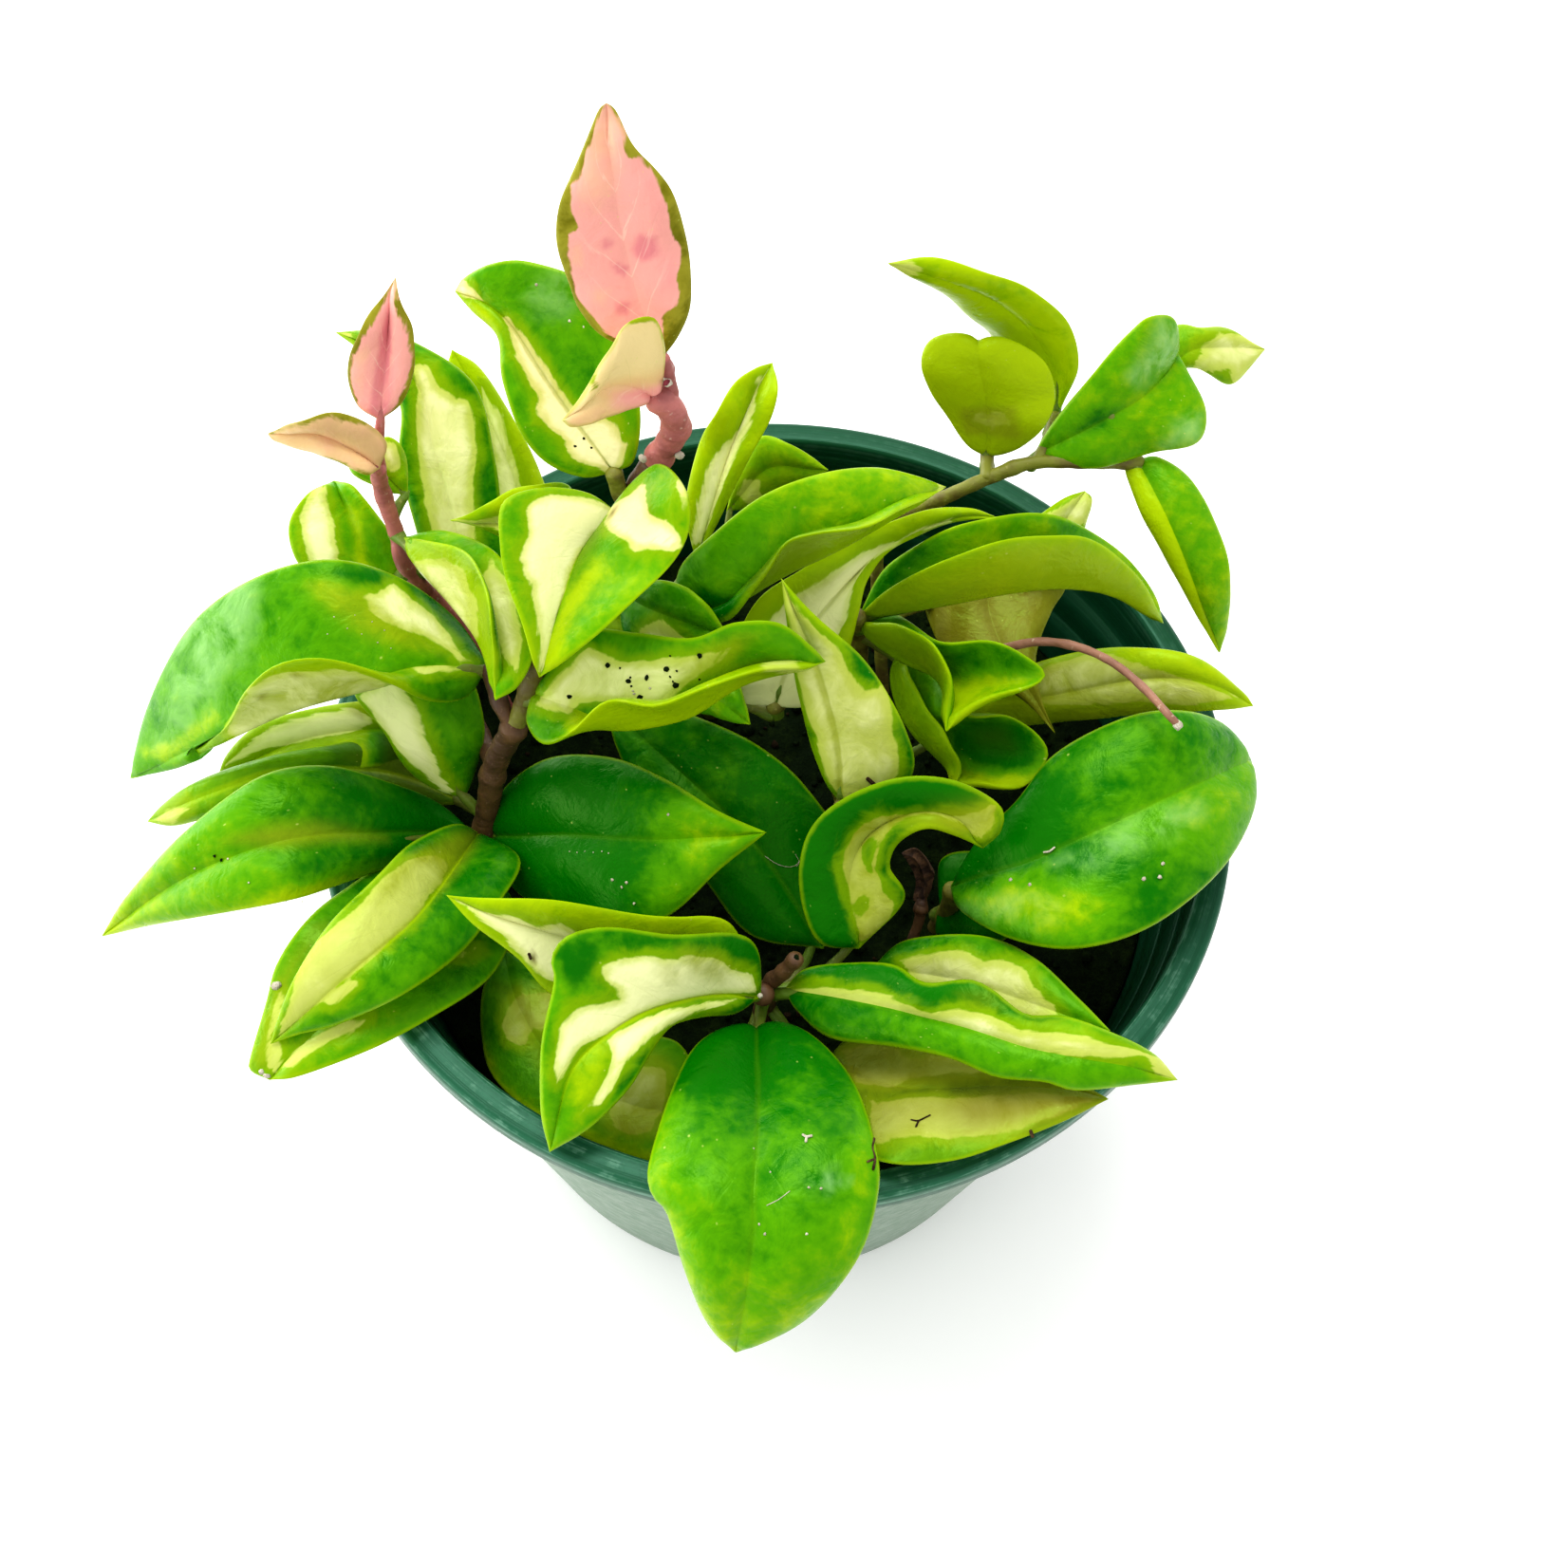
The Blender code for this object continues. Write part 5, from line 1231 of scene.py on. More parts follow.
        rib=spots("1040,482,128 1038,430,138 1030,380,147 1030,358,148"),
        left=spots("1016,465,130 988,425,136 971,388,143 978,360,147 1005,350,149"),
        right=spots("1075,472,131 1103,445,137 1112,415,141 1100,380,146 1062,357,149"),
        foot=spots("1040,492,127"),
        olive=0.25, lime=(1.4, 1.6), crease=0.25, marks=(
            olive("1010,430 1050,440 1085,455 1060,462 1020,452", amount=0.35),
            cream("1026,438 1033,430 1041,433 1049,429 1058,432 1068,440 1060,445 1052,443 1046,449 "
                  "1037,444"),
            olive("1015,425 1070,425 1075,455 1020,452", amount=0.75, soft=6),
            dark("1090,400 1106,400 1104,440 1080,470 1085,440", amount=0.35, soft=16))),
    Leaf("sickle", "vine_stem",
        rib=spots("1112,440,133 1115,395,140 1090,350,147 1050,315,154 1000,294,160 935,277,164"),
        left=spots("1102,443,132 1066,400,134 1044,352,141 1015,328,148 978,298,156"),
        right=spots("1120,425,136 1137,385,143 1125,340,151 1090,309,157 1045,288,161 985,271,164"),
        foot=spots("1106,458,131"),
        lime=(0.95, 0.95), rib_tint=0.4, marks=(
            lime("1102,443 1066,400 1044,352 1015,328 978,298 1000,300 1060,320 1098,360 "
                 "1115,400", LEFT, amount=0.9),
            olive("1066,400 1044,352 1060,330 1090,355 1112,400 1105,440", LEFT, amount=0.4),
            cream("930,276 960,274 975,284 955,286"))),
    Leaf("wing_green", "vine_stem",
        rib=spots("1088,480,130 1150,448,135 1205,415,139 1240,370,142"),
        left=spots("1110,444,135 1150,395,142 1190,350,148 1212,333,151 1237,336,149"),
        right=spots("1150,494,130 1215,477,132 1262,466,134 1271,432,137 1252,392,140"),
        foot=spots("1085,490,129"),
        lime=(0.45, 0.6), thickness=1.8, marks=(
            # Painted highlights: pale sheen patches.
            bloom("1222,338 1240,345 1228,378 1198,402 1190,395 1212,362", LEFT, amount=0.6),
            bloom("1225,470 1240,445 1262,438 1264,464", amount=0.45),
            dark("1140,450 1150,425 1175,430 1165,450", amount=0.5))),
    Leaf("torn_tip", "vine_stem",
        rib=spots("1215,400,132 1262,368,136 1333,368,134"),
        left=spots("1235,345,137 1265,345,138 1292,346,137"),
        right=spots("1230,392,132 1262,388,133 1298,405,131"),
        foot=spots("1170,440,136"),
        olive=0.25, sheer=0.2, lime=(0.5, 0.9), pale=0.2, marks=(
            cream("1262,372 1280,352 1310,356 1336,368 1315,388 1300,408 1292,392 1270,390 1252,392"),)),
    Leaf("right_hang", "vine_stem",
        rib=spots("1198,484,129 1230,550,126 1255,610,119 1285,688,106"),
        left=spots("1222,482,130 1258,508,129 1290,575,123 1297,625,117 1293,660,110"),
        right=spots("1185,495,128 1205,545,124 1230,590,119 1262,645,112"),
        foot=spots("1190,487,129"),
        lime=(0.5, 0.65), marks=(
            lime("1185,495 1200,495 1235,555 1262,620 1285,690 1260,645 1230,590 "
                 "1205,545", RIGHT, amount=0.9),)),
    Leaf("big_right", "right_stem",
        rib=spots("1001,935,104 1080,905,115 1170,865,122 1250,825,122.5 1318,800,116"),
        left=spots("1030,885,110 1070,845,117 1110,796,122 1180,757,127 1240,748,128 1288,762,122"),
        right=spots("1015,962,105 1070,991,112 1140,999,117 1220,972,119 1290,912,118 1322,850,116"),
        foot=spots("1002,941,101"),
        lime=(-0.05, 0.3), crease=0.8, dome=1.3, thickness=2.0, marks=(
            # These two lime patches are partly a yellower green and partly a painted sheen where the leaf
            # catches the light.
            lime("1010,945 1060,930 1130,935 1180,952 1150,985 1100,992 1045,975", amount=0.75, soft=30),
            lime("1150,880 1190,850 1250,825 1312,800 1318,845 1280,905 1220,905", amount=0.35, soft=40),
            # Painted highlights: pale sheen patches.
            bloom("1112,912 1190,868 1258,845 1262,862 1192,902 1120,928", amount=0.3),
            bloom("1015,960 1060,948 1120,950 1110,968 1050,970", amount=0.3),
            dark("1020,890 1060,850 1110,835 1110,885 1060,922 1020,930", amount=0.4, soft=30))),
    Leaf("right_dark", "right_stem",
        rib=spots("990,955,89 1040,953,95 1100,950,98"),
        left=spots("993,905,92 1040,900,97"),
        right=spots("990,990,87 1050,995,93"),
        foot=(Ground(28.5, -15.5, 86),),
        lime=(-0.6, -0.4)),
    Leaf("dark_behind", "front_stem",
        rib=spots("868,1000,97 800,900,105 720,820,110 640,745,111"),
        left=spots("790,985,97 740,925,102 690,870,106 650,790,109"),
        right=spots("888,900,103 850,830,109 800,786,112 740,757,114 685,740,113"),
        foot=spots("808,1048,94 840,1026,94"),
        lime=(-0.15, 0.15), crease=0.35, dome=1.2, thickness=1.7),
    Leaf("curl_leaf", "front_stem",
        rib=spots("905,1000,104 893,930,111 912,880,116 955,858,119 1005,862,120 1036,894,118"),
        left=spots("862,992,107 842,935,113 850,880,119 885,842,124 940,821,127 1005,823,127 1053,848,124 "
                   "1055,875,121"),
        right=spots("953,948,109 937,915,114 945,888,118 975,874,121 1005,880,120"),
        foot=spots("806,1048,99 860,1030,100"),
        lime=(-0.3, -0.15), thickness=2.4, sheer=1.0, pale=-0.5, marks=(
            cream("905,990 899,960 892,935 885,912 886,895 894,873 907,861 927,851 950,851 985,855 1010,855 "
                  "1035,848 1052,842 1049,866 1036,880 1012,872 985,865 962,867 944,876 931,892 926,912 "
                  "930,935 941,950 935,968 918,990"),
            green("908,890 918,880 930,884 926,900 918,916 909,906"),
            green("895,958 904,942 913,940 913,955 905,966"),
            olive("955,852 1045,845 1040,872 1000,882 960,878", amount=0.7, soft=14),
            olive("985,850 1052,840 1048,880 1000,885", amount=0.6, soft=25),
            olive("900,985 895,920 915,920 925,960", amount=0.3))),
    Leaf("cream_fold_front", "front_stem",
        rib=spots("802,1050,106 745,1048,111 690,1062,115 640,1092,117 600,1130,117 579,1214,112"),
        left=spots("775,1068,107 740,1072,110 707,1082,113 685,1112,115 662,1148,115 622,1188,114"),
        right=spots("798,1000,113 772,983,118 705,985,124 640,977,127 598,985,128 580,1008,127 583,1035,125 "
                    "570,1100,121 570,1170,116"),
        foot=spots("805,1049,102"),
        lime=(0.2, 0.5), pale=1.0, rib_tint=0.7, thickness=1.9, marks=(
            cream("629,1026 632,1016 643,1009 660,1005 685,1003 700,1008 720,1002 753,1005 766,1017 "
                  "788,1024 796,1042 770,1044 735,1051 700,1056 672,1067 645,1085 622,1096 608,1102 "
                  "593,1128 583,1142 580,1110 588,1080 604,1061 622,1056 650,1051 652,1043 638,1037", RIGHT),
            cream("612,1174 630,1150 640,1130 643,1115 638,1098 645,1090 670,1078 700,1063 740,1055 "
                  "775,1050 765,1056 730,1066 700,1082 685,1094 665,1114 650,1138 635,1160", LEFT),
            olive("716,1000 756,1003 770,1018 756,1032 735,1026 718,1016", amount=0.75),
            olive("690,1008 706,1008 712,1030 698,1034 690,1022", amount=0.55, soft=6),
            lime("598,1128 615,1100 638,1098 642,1120 628,1150 612,1168 598,1160", amount=0.4),
            dark("585,1000 610,985 628,992 622,1015 604,1035 592,1028", amount=0.45),
            dark("764,982 790,986 797,1017 776,1010", amount=0.6),
            dark("640,980 700,986 765,984 765,1000 700,996 640,994", amount=0.25),
            dark("740,1062 760,1050 798,1048 790,1068 760,1074", amount=0.7),
            dark("650,1150 690,1108 712,1084 700,1082 672,1112 648,1140", amount=0.5))),
    Leaf("cream_fold_back", "front_stem",
        rib=spots("792,1018,105 700,1000,112 600,985,119 530,965,124 470,943,127"),
        left=spots("740,1040,103 650,1060,109 585,1050,114 545,1010,120 500,975,125"),
        right=spots("768,972,114 715,966,119 650,959,123 590,949,127 530,948,128"),
        foot=spots("805,1047,99"),
        lime=(0.8, 1.0), pale=1.0, marks=(
            cream("478,946 500,955 540,960 565,970 590,965 607,975 610,985 585,1035 570,1028 545,1005 "
                  "525,985 500,967"),
            brown("556,1004 561,1004 562,1011 557,1012"),
            olive("575,965 607,975 600,990 580,985", amount=0.4))),
    Leaf("pot_left_shadow", "front_stem",
        rib=spots("745,1175,86 660,1165,88 590,1125,88 545,1060,90 530,1000,90"),
        left=spots("700,1226,87 620,1203,87 563,1175,87 519,1134,87 507,1090,89 509,1040,91"),
        right=spots("716,1100,88 640,1085,89 590,1030,89"),
        foot=spots("804,1056,87 780,1110,85"),
        lime=(0.4, 0.3), sheer=0.7, pale=0.0, marks=(
            cream("530,1080 538,1060 550,1048 590,1050 590,1092 562,1084 552,1102 535,1098"),
            cream("640,1160 660,1125 700,1130 700,1165 685,1195 662,1200 645,1185"),
            olive("520,1040 600,1040 710,1120 710,1200 640,1200 560,1120", amount=0.5),
            lime("509,1100 530,1140 570,1170 640,1200 700,1215 700,1230 600,1210 520,1150 500,1110"))),
    Leaf("front_big", "front_stem",
        rib=spots("797,1085,102 795,1160,114 790,1250,119 782,1340,116 775,1425,104"),
        left=spots("828,1078,104 862,1095,109 900,1140,114 922,1205,118 926,1255,118 905,1325,115 "
                   "850,1390,108"),
        right=spots("768,1082,104 730,1105,109 703,1160,114 683,1225,117 686,1258,117 703,1278,116 "
                    "722,1340,112 745,1392,107"),
        foot=spots("804,1052,97"),
        lime=(-0.25, 0.7), crease=0.5, dome=1.6, thickness=2.0, marks=(
            # Painted highlight: a small pale sheen spot.
            bloom("850,1245 880,1240 892,1252 868,1262", amount=0.5, soft=8),
            dark("705,1120 735,1098 785,1085 792,1140 735,1165", amount=0.4, soft=25),
            lime("684,1200 705,1160 722,1150 716,1260 745,1360 775,1428 735,1390 700,1290 "
                 "680,1250", amount=0.3, soft=20),
            lime("880,1330 922,1250 926,1200 905,1140 898,1200 885,1280", amount=0.3, soft=14))),
    Leaf("right_stripe", "front_stem",
        rib=spots("826,1042,104 900,1055,110 1000,1078,116 1100,1108,119 1180,1122,119 1241,1138,116"),
        left=spots("850,1020,107 900,1014,111 945,1017,115 975,1035,118 1020,1032,121 1045,1042,121 "
                   "1080,1068,121 1120,1070,121 1165,1085,121 1215,1110,118"),
        right=spots("840,1065,104 875,1094,107 940,1102,112 1000,1115,115 1050,1135,116 1100,1140,117 "
                    "1135,1149,117 1200,1143,117"),
        foot=spots("806,1048,101"),
        lime=(0.1, 0.5), pale=0.1, sheer=0.25, thickness=1.7, marks=(
            dark("850,1015 945,1010 1020,1030 1075,1065 1120,1070 1100,1085 1050,1064 990,1058 930,1045 "
                 "850,1036", LEFT, amount=0.5),
            cream("826,1040 850,1042 880,1044 910,1046 940,1050 962,1058 985,1066 1010,1061 1035,1065 "
                  "1060,1077 1078,1086 1110,1088 1150,1095 1180,1103 1205,1112 1180,1116 1130,1113 "
                  "1080,1106 1040,1096 1000,1084 950,1071 900,1060 860,1053 830,1046", LEFT),
            cream("1200,1112 1228,1116 1241,1138 1215,1130"),
            olive("1010,1045 1045,1043 1060,1062 1030,1060", amount=0.4))),
    Leaf("right_behind", "front_stem",
        rib=spots("918,1020,97 1000,1030,104 1080,1055,110 1170,1086,113"),
        left=spots("950,993,100 1000,984,106 1050,989,108 1095,1013,111 1140,1055,113"),
        right=spots("960,1062,96 1040,1085,103 1110,1098,109"),
        foot=spots("808,1050,94 860,1040,95"),
        lime=(0.1, 0.5), pale=0.1, sheer=0.25, marks=(
            cream("952,1015 975,1008 1000,1003 1020,1004 1036,1017 1060,1014 1082,1025 1094,1045 1106,1056 "
                  "1120,1070 1080,1075 1055,1060 1040,1045 1000,1045 970,1035"),)),
    Leaf("right_low_cream", "front_stem",
        rib=spots("870,1120,98 950,1148,105 1050,1145,109 1120,1150,113 1168,1158,114"),
        left=spots("900,1090,96 960,1095,101 1060,1115,107 1130,1138,112"),
        right=spots("890,1200,106 935,1226,112 1000,1222,112 1060,1206,113 1120,1182,114"),
        foot=spots("806,1055,91 835,1090,93"),
        olive=0.3, sheer=0.7, lime=(0.2, 0.5), pale=-0.4, marks=(
            cream("888,1112 905,1106 940,1108 980,1118 1020,1124 1050,1136 1000,1139 960,1146 930,1149 "
                  "905,1147 893,1130"),
            olive("885,1105 980,1110 1060,1135 1000,1145 930,1152 890,1140", amount=0.6),
            cream("918,1162 960,1158 1000,1162 1050,1160 1100,1156 1155,1160 1120,1177 1080,1192 1040,1200 "
                  "1000,1204 960,1204 922,1210"),
            green("948,1104 992,1110 976,1121 955,1122"),
            green("905,1160 928,1153 976,1139 1059,1133 1110,1147 1066,1157 1004,1158 963,1164 928,1167"),
            dark("895,1165 925,1150 976,1137 1059,1131 1110,1147 1066,1159 1000,1160 "
                 "930,1170", amount=0.7, soft=6),
            brown("870,1080 1170,1140 1170,1170 1000,1195 890,1200", amount=0.3, soft=20),
            brown("1010,1155 1165,1150 1150,1172 1080,1195 1010,1205", amount=0.35, soft=30),
            olive("1050,1150 1165,1152 1150,1172 1100,1188 1050,1192", amount=0.55, soft=30))),
    Leaf("withered", "dried_leaf",
        rib=spots("971,950,95 976,925,99 966,905,103 950,899,105"),
        left=spots("979,940,96 983,920,101 968,895,105"),
        right=spots("962,948,95 965,928,98 959,914,101"),
        foot=spots("970,958,94")),
)


class Speck(Enum):
    """The finishes of the specks that lie on the plant, in the order of the piece's materials."""

    DARK = 0
    PALE = 1
    TWIG = 2
    SCAR = 3


@dataclass(frozen=True)
class Grain:
    """Grains of dirt of one size on a leaf, by the pixels that show them."""

    leaf: str
    radius: float
    seen_at: Outline
    pale: bool = False


@dataclass(frozen=True)
class Straw:
    """A hair, a scratch or a crumb of twig that lies on a leaf, by the pixels that it passes."""

    leaf: str
    radius: float
    seen_at: Outline
    pale: bool = False


GRAINS = (
    Grain("pepper_leaf", 0.5, pixels("600,734 640,701 662,718 681,714 702,705 737,691")),
    Grain("pepper_leaf", 0.6, pixels("712,722 674,735")),
    Grain("pepper_leaf", 0.22, pixels("653,704 665,723 706,713 706,691 713,707 664,714 709,718 737,716")),
    Grain("pepper_leaf", 0.25, pixels("667,728 668,731 685,725"), pale=True),
    Grain("left_arch", 0.14, pixels("352,650 366,662 381,668 398,677 412,683 374,648 392,655 345,668 "
                                    "405,664"), pale=True),
    Grain("mid_back", 0.3, pixels("606,470 623,472 615,462")),
    Grain("mid_back", 0.3, pixels("600,338 615,345 565,300"), pale=True),
    Grain("dark_spade", 0.3, pixels("645,927 660,930 668,952 655,935 704,858"), pale=True),
    Grain("dark_spade", 0.16, pixels("600,897 608,898 616,897 625,898 634,897 641,899"), pale=True),
    Grain("far_left", 0.2, pixels("240,905 262,930 300,968 318,950 180,940 205,915"), pale=True),
    Grain("far_left", 0.3, pixels("226,902 233,906")),
    Grain("big_right", 0.4, pixels("1205,926 1225,910 1222,924 1085,932 1065,927"), pale=True),
    Grain("front_big", 0.25, pixels("722,1138 794,1210 876,1138 800,1290 806,1300 735,1350 850,1300 "
                                    "852,1251 865,1252 812,1235"), pale=True),
    Grain("stripe_under", 1.0, pixels("291,1039"), pale=True),
    Grain("stripe_under", 0.7, pixels("276,1128 281,1133"), pale=True),
)

STRAWS = (
    Straw("front_big", 0.2, pixels("846,1196 850,1198 855,1197"), pale=True),
    Straw("front_big", 0.2, pixels("850,1198 849,1203"), pale=True),
    Straw("front_big", 0.07, pixels("808,1270 820,1264 832,1255"), pale=True),
    Straw("front_big", 0.2, pixels("921,1200 919,1210 922,1220 920,1232")),
    Straw("front_big", 0.16, pixels("914,1224 922,1221")),
    Straw("big_right", 0.16, pixels("1100,898 1106,897 1111,893"), pale=True),
    Straw("right_low_cream", 0.12, pixels("960,1180 967,1181 974,1178 980,1175")),
    Straw("right_low_cream", 0.14, pixels("968,1181 965,1187")),
    Straw("right_low_cream", 0.25, pixels("1086,1192 1088,1198")),
    Straw("dark_behind", 0.05, pixels("806,902 820,911 836,913 846,903"), pale=True),
    Straw("dark_behind", 0.05, pixels("838,900 842,908 839,913"), pale=True),
    Straw("spear_leaf", 0.32, pixels("914,820 924,829")),
    Straw("curl_leaf", 0.16, pixels("960,861 966,859 971,857")),
    Straw("cream_fold_back", 0.22, pixels("557,1005 559,1010")),
)


@dataclass(frozen=True)
class Nub:
    """A small nub, scar or knob on a stem, where a leaf or a root has been."""

    spot: Seen
    radius: float
    speck: Speck = Speck.PALE
    rough: float = 0.12


NUBS = (
    Nub(Seen(677, 483, 156), 0.9),
    Nub(Seen(716, 480, 157), 0.85),
    Nub(Seen(702, 402, 171.5), 1.2),
    Nub(Seen(702, 403, 172.7), 0.7, Speck.SCAR),
    Nub(Seen(801, 1049, 109), 0.5),
    Nub(Seen(1241, 764, 133.2), 0.95, Speck.PALE, 0.35),
    Nub(Seen(1237, 758, 133.4), 0.8, Speck.TWIG, 0.35),
    Nub(Seen(806, 1043, 102), 1.15, Speck.TWIG, 0.35),
    Nub(Seen(811, 1036, 104), 1.1, Speck.TWIG, 0.35),
    Nub(Seen(817, 1031, 105.5), 1.15, Speck.TWIG, 0.35),
    Nub(Seen(823, 1026, 107.2), 1.1, Speck.TWIG, 0.35),
    Nub(Seen(830, 1019, 109), 1.15, Speck.TWIG, 0.35),
    Nub(Seen(836, 1012, 111), 1.4, Speck.TWIG, 0.3),
    Nub(Seen(839, 1009, 112), 0.6, Speck.DARK, 0.2),
)


class LeafBlade:
    """A leaf's dense skin: a folded, gently domed blade with a rounded margin and a midrib."""

    ROWS = 60
    HALF_COLUMNS = 14
    DENSE_ENDS = 0.25
    SEED_STEP = 7.3
    PHASE_STEP = 1.7
    RIPPLES = ((1.0, 11, 1.0, 1.3), (0.6, 23, 2.1, 1.0))
    SWELL_POWER = 0.6
    MARGIN_POWER = 14
    ENDS_POWER = 12
    GROOVE_WIDTH = 0.7
    GROOVE_DEPTH = 0.22
    CREASED_GROOVE_DEPTH = 0.05
    CREASED_FROM = 0.2
    KEEL_WIDTH = 1.1
    KEEL_DEPTH = 0.9
    MARGIN_THINNING = 0.55
    FULL_HALF_WIDTH = 3.0
    THINNEST_SHARE = 0.35
    REACH_OF_A_SPECK = 2.5

    def __init__(self, leaf: Leaf, number: int) -> None:
        """Work out the blade's skin.

        Args:
            leaf: the leaf's table entry.
            number: the leaf's place in the table, which seeds its small waves.
        """
        self.leaf = leaf
        self.number = number
        even = np.linspace(0.0, 1.0, self.ROWS + 1)
        self.along = (1 - 2 * self.DENSE_ENDS) * even + self.DENSE_ENDS * (1 - np.cos(np.pi * even))
        steps = np.linspace(-1.0, 1.0, 2 * self.HALF_COLUMNS + 1)
        self.across = np.sign(steps) * (1 - np.cos(np.pi * np.abs(steps))) / 2
        self.middle = self._middle()
        self.normals = self._normals()

    def _middle(self) -> np.ndarray:
        """The surface halfway through the blade, as rows and columns of points."""
        rib_points = places(self.leaf.rib)
        rails = [curve_through(rib_points, self.along)]
        for side in (self.leaf.left, self.leaf.right):
            margin = np.vstack([rib_points[:1], places(side), rib_points[-1:]])
            rails.append(curve_through(margin, self.along))
        self.rib, left, right = rails
        self.reaches = np.linalg.norm(left - self.rib, axis=1), np.linalg.norm(right - self.rib, axis=1)
        v = self.across[None, :, None]
        soft = np.sqrt(v ** 2 + self.leaf.crease ** 2) + 1 - math.sqrt(1 + self.leaf.crease ** 2)
        return (self.rib[:, None] + (left - self.rib)[:, None] * (soft - v) / 2
                + (right - self.rib)[:, None] * (soft + v) / 2)

    def _normals(self) -> np.ndarray:
        """The upper side's direction at each point."""
        down = np.gradient(self.middle, axis=0)
        over = np.gradient(self.middle, axis=1)
        normals = np.cross(over, down)
        normals[0], normals[-1] = normals[1], normals[-2]
        for _ in range(2):
            spread = unit(normals)
            normals[1:-1, 1:-1] = (spread[:-2, 1:-1] + spread[2:, 1:-1] + spread[1:-1, :-2]
                                   + spread[1:-1, 2:] + 2 * spread[1:-1, 1:-1])
        return unit(normals)

    def half_width(self) -> np.ndarray:
        """The width of the half that each point belongs to, in millimetres."""
        return np.where(self.across[None] < 0, self.reaches[0][:, None], self.reaches[1][:, None])

    def skins(self) -> tuple[np.ndarray, np.ndarray]:
        """The upper and lower skins.

        Returns:
            The two skins, each as rows and columns of points in millimetres.
        """
        leaf, u, v = self.leaf, self.along[:, None], self.across[None]
        off = np.abs(v)
        swell = np.sin(np.pi * u) ** self.SWELL_POWER
        lift = 4 * leaf.dome * off * (1 - off) * swell
        phase, side = self.PHASE_STEP * self.number, np.sign(v)
        ripple = sum(height * np.sin(count * u + shift * phase + lean * side)
                     for height, count, shift, lean in self.RIPPLES)
        lift = lift + leaf.wave * ripple * off ** 2 * swell
        rib_gap = off * self.half_width()
        edge = (np.sqrt(np.clip(1 - off ** self.MARGIN_POWER, 0, 1))
                * np.sqrt(np.clip(1 - np.abs(2 * u - 1) ** self.ENDS_POWER, 0, 1)))
        fullness = np.clip(self.half_width() / self.FULL_HALF_WIDTH, self.THINNEST_SHARE, 1.0)
        half = 0.5 * leaf.thickness * (1 - self.MARGIN_THINNING * off ** 3) * edge * fullness
        depth = self.GROOVE_DEPTH if leaf.crease < self.CREASED_FROM else self.CREASED_GROOVE_DEPTH
        groove = depth * np.exp(-(rib_gap / self.GROOVE_WIDTH) ** 2) * swell * (1 - 0.5 * u)
        keel = self.KEEL_DEPTH * np.exp(-(rib_gap / self.KEEL_WIDTH) ** 2) * (1 - u) ** 1.3 * swell
        upper = self.middle + self.normals * (lift + half - groove)[..., None]
        lower = self.middle + self.normals * (lift - half - keel)[..., None]
        return upper, lower

    def colours(self) -> dict[str, np.ndarray]:
        """The values that the leaf's finish reads, for one skin.

        Returns:
            Arrays of rows and columns by attribute name.
        """
        leaf = self.leaf
        seen_at = CAMERA.pixels(self.middle)
        across = np.broadcast_to(self.across[None], self.middle.shape[:2])
        along = np.broadcast_to(self.along[:, None], across.shape)
        weights = {tint: np.zeros(across.shape) for tint in Tint}
        patch = np.full(across.shape, FAR_OUTSIDE)
        for mark in leaf.marks:
            if mark.tint is Tint.CREAM:
                patch = np.maximum(patch, mark.depth(seen_at, across))
            elif mark.tint is Tint.GREEN:
                patch = np.minimum(patch, -mark.depth(seen_at, across))
            else:
                weights[mark.tint] += mark.weight(seen_at, across)
        foot_lime, tip_lime = leaf.lime
        return {
            "along": along,
            "across": across,
            "rib_mm": np.abs(across) * self.half_width(),
            "rim_mm": (1 - np.abs(across)) * self.half_width(),
            "cream_px": patch,
            "seed": np.full(across.shape, self.SEED_STEP * self.number),
            "lime": foot_lime + (tip_lime - foot_lime) * along + weights[Tint.LIME] - weights[Tint.DARK],
            "olive": np.clip(leaf.olive + weights[Tint.OLIVE], 0, 1),
            # Olive in the cream, partly painted shade.
            "sheer": np.clip(leaf.sheer + weights[Tint.OLIVE], 0, 1),
            "brown": np.clip(weights[Tint.BROWN], 0, 1),
            # Where the painted sheen, a painted highlight, lies.
            "bloom": np.clip(weights[Tint.BLOOM], 0, 1),
            "pink": leaf.flush + weights[Tint.ROSY],
            "rib_tint": np.full(across.shape, leaf.rib_tint),
            "pale": np.full(across.shape, leaf.pale),
        }

    def mesh(self) -> bmesh.types.BMesh:
        """The blade as a closed mesh with its attributes."""
        upper, lower = self.skins()
        skin = np.concatenate([upper, lower[:, -2::-1]], axis=1)
        fields = {name: np.concatenate([value, value[:, -2::-1]], axis=1)
                  for name, value in self.colours().items()}
        side = np.concatenate([np.ones(upper.shape[:2]), -np.ones(lower[:, 1:].shape[:2])], axis=1)
        side[:, 0] = side[:, -1] = side[:, upper.shape[1] - 1] = 0.0
        fields["side"] = side
        return wrapped_grid(skin, fields)

    def skin_point(self, pixel: tuple[float, float]) -> tuple[np.ndarray, np.ndarray]:
        """The point of the blade that the photograph shows at a pixel.

        Args:
            pixel: the column and row.

        Returns:
            The point of the skin that faces the camera, and its outward direction.
        """
        gaps = np.linalg.norm(CAMERA.pixels(self.middle) - np.array(pixel), axis=-1)
        i, j = np.unravel_index(np.argmin(gaps), gaps.shape)
        upper, lower = self.skins()
        eye, normal = np.array(CAMERA.eye), self.normals[i, j]
        centre = upper[i, j]
        if (eye - self.middle[i, j]) @ normal < 0:
            centre, normal = lower[i, j], -normal
        ray = CAMERA.seen(*pixel, 0.0) - eye
        hit = eye + ray * ((centre - eye) @ normal) / (ray @ normal)
        return (hit if np.linalg.norm(hit - centre) < self.REACH_OF_A_SPECK else centre), normal


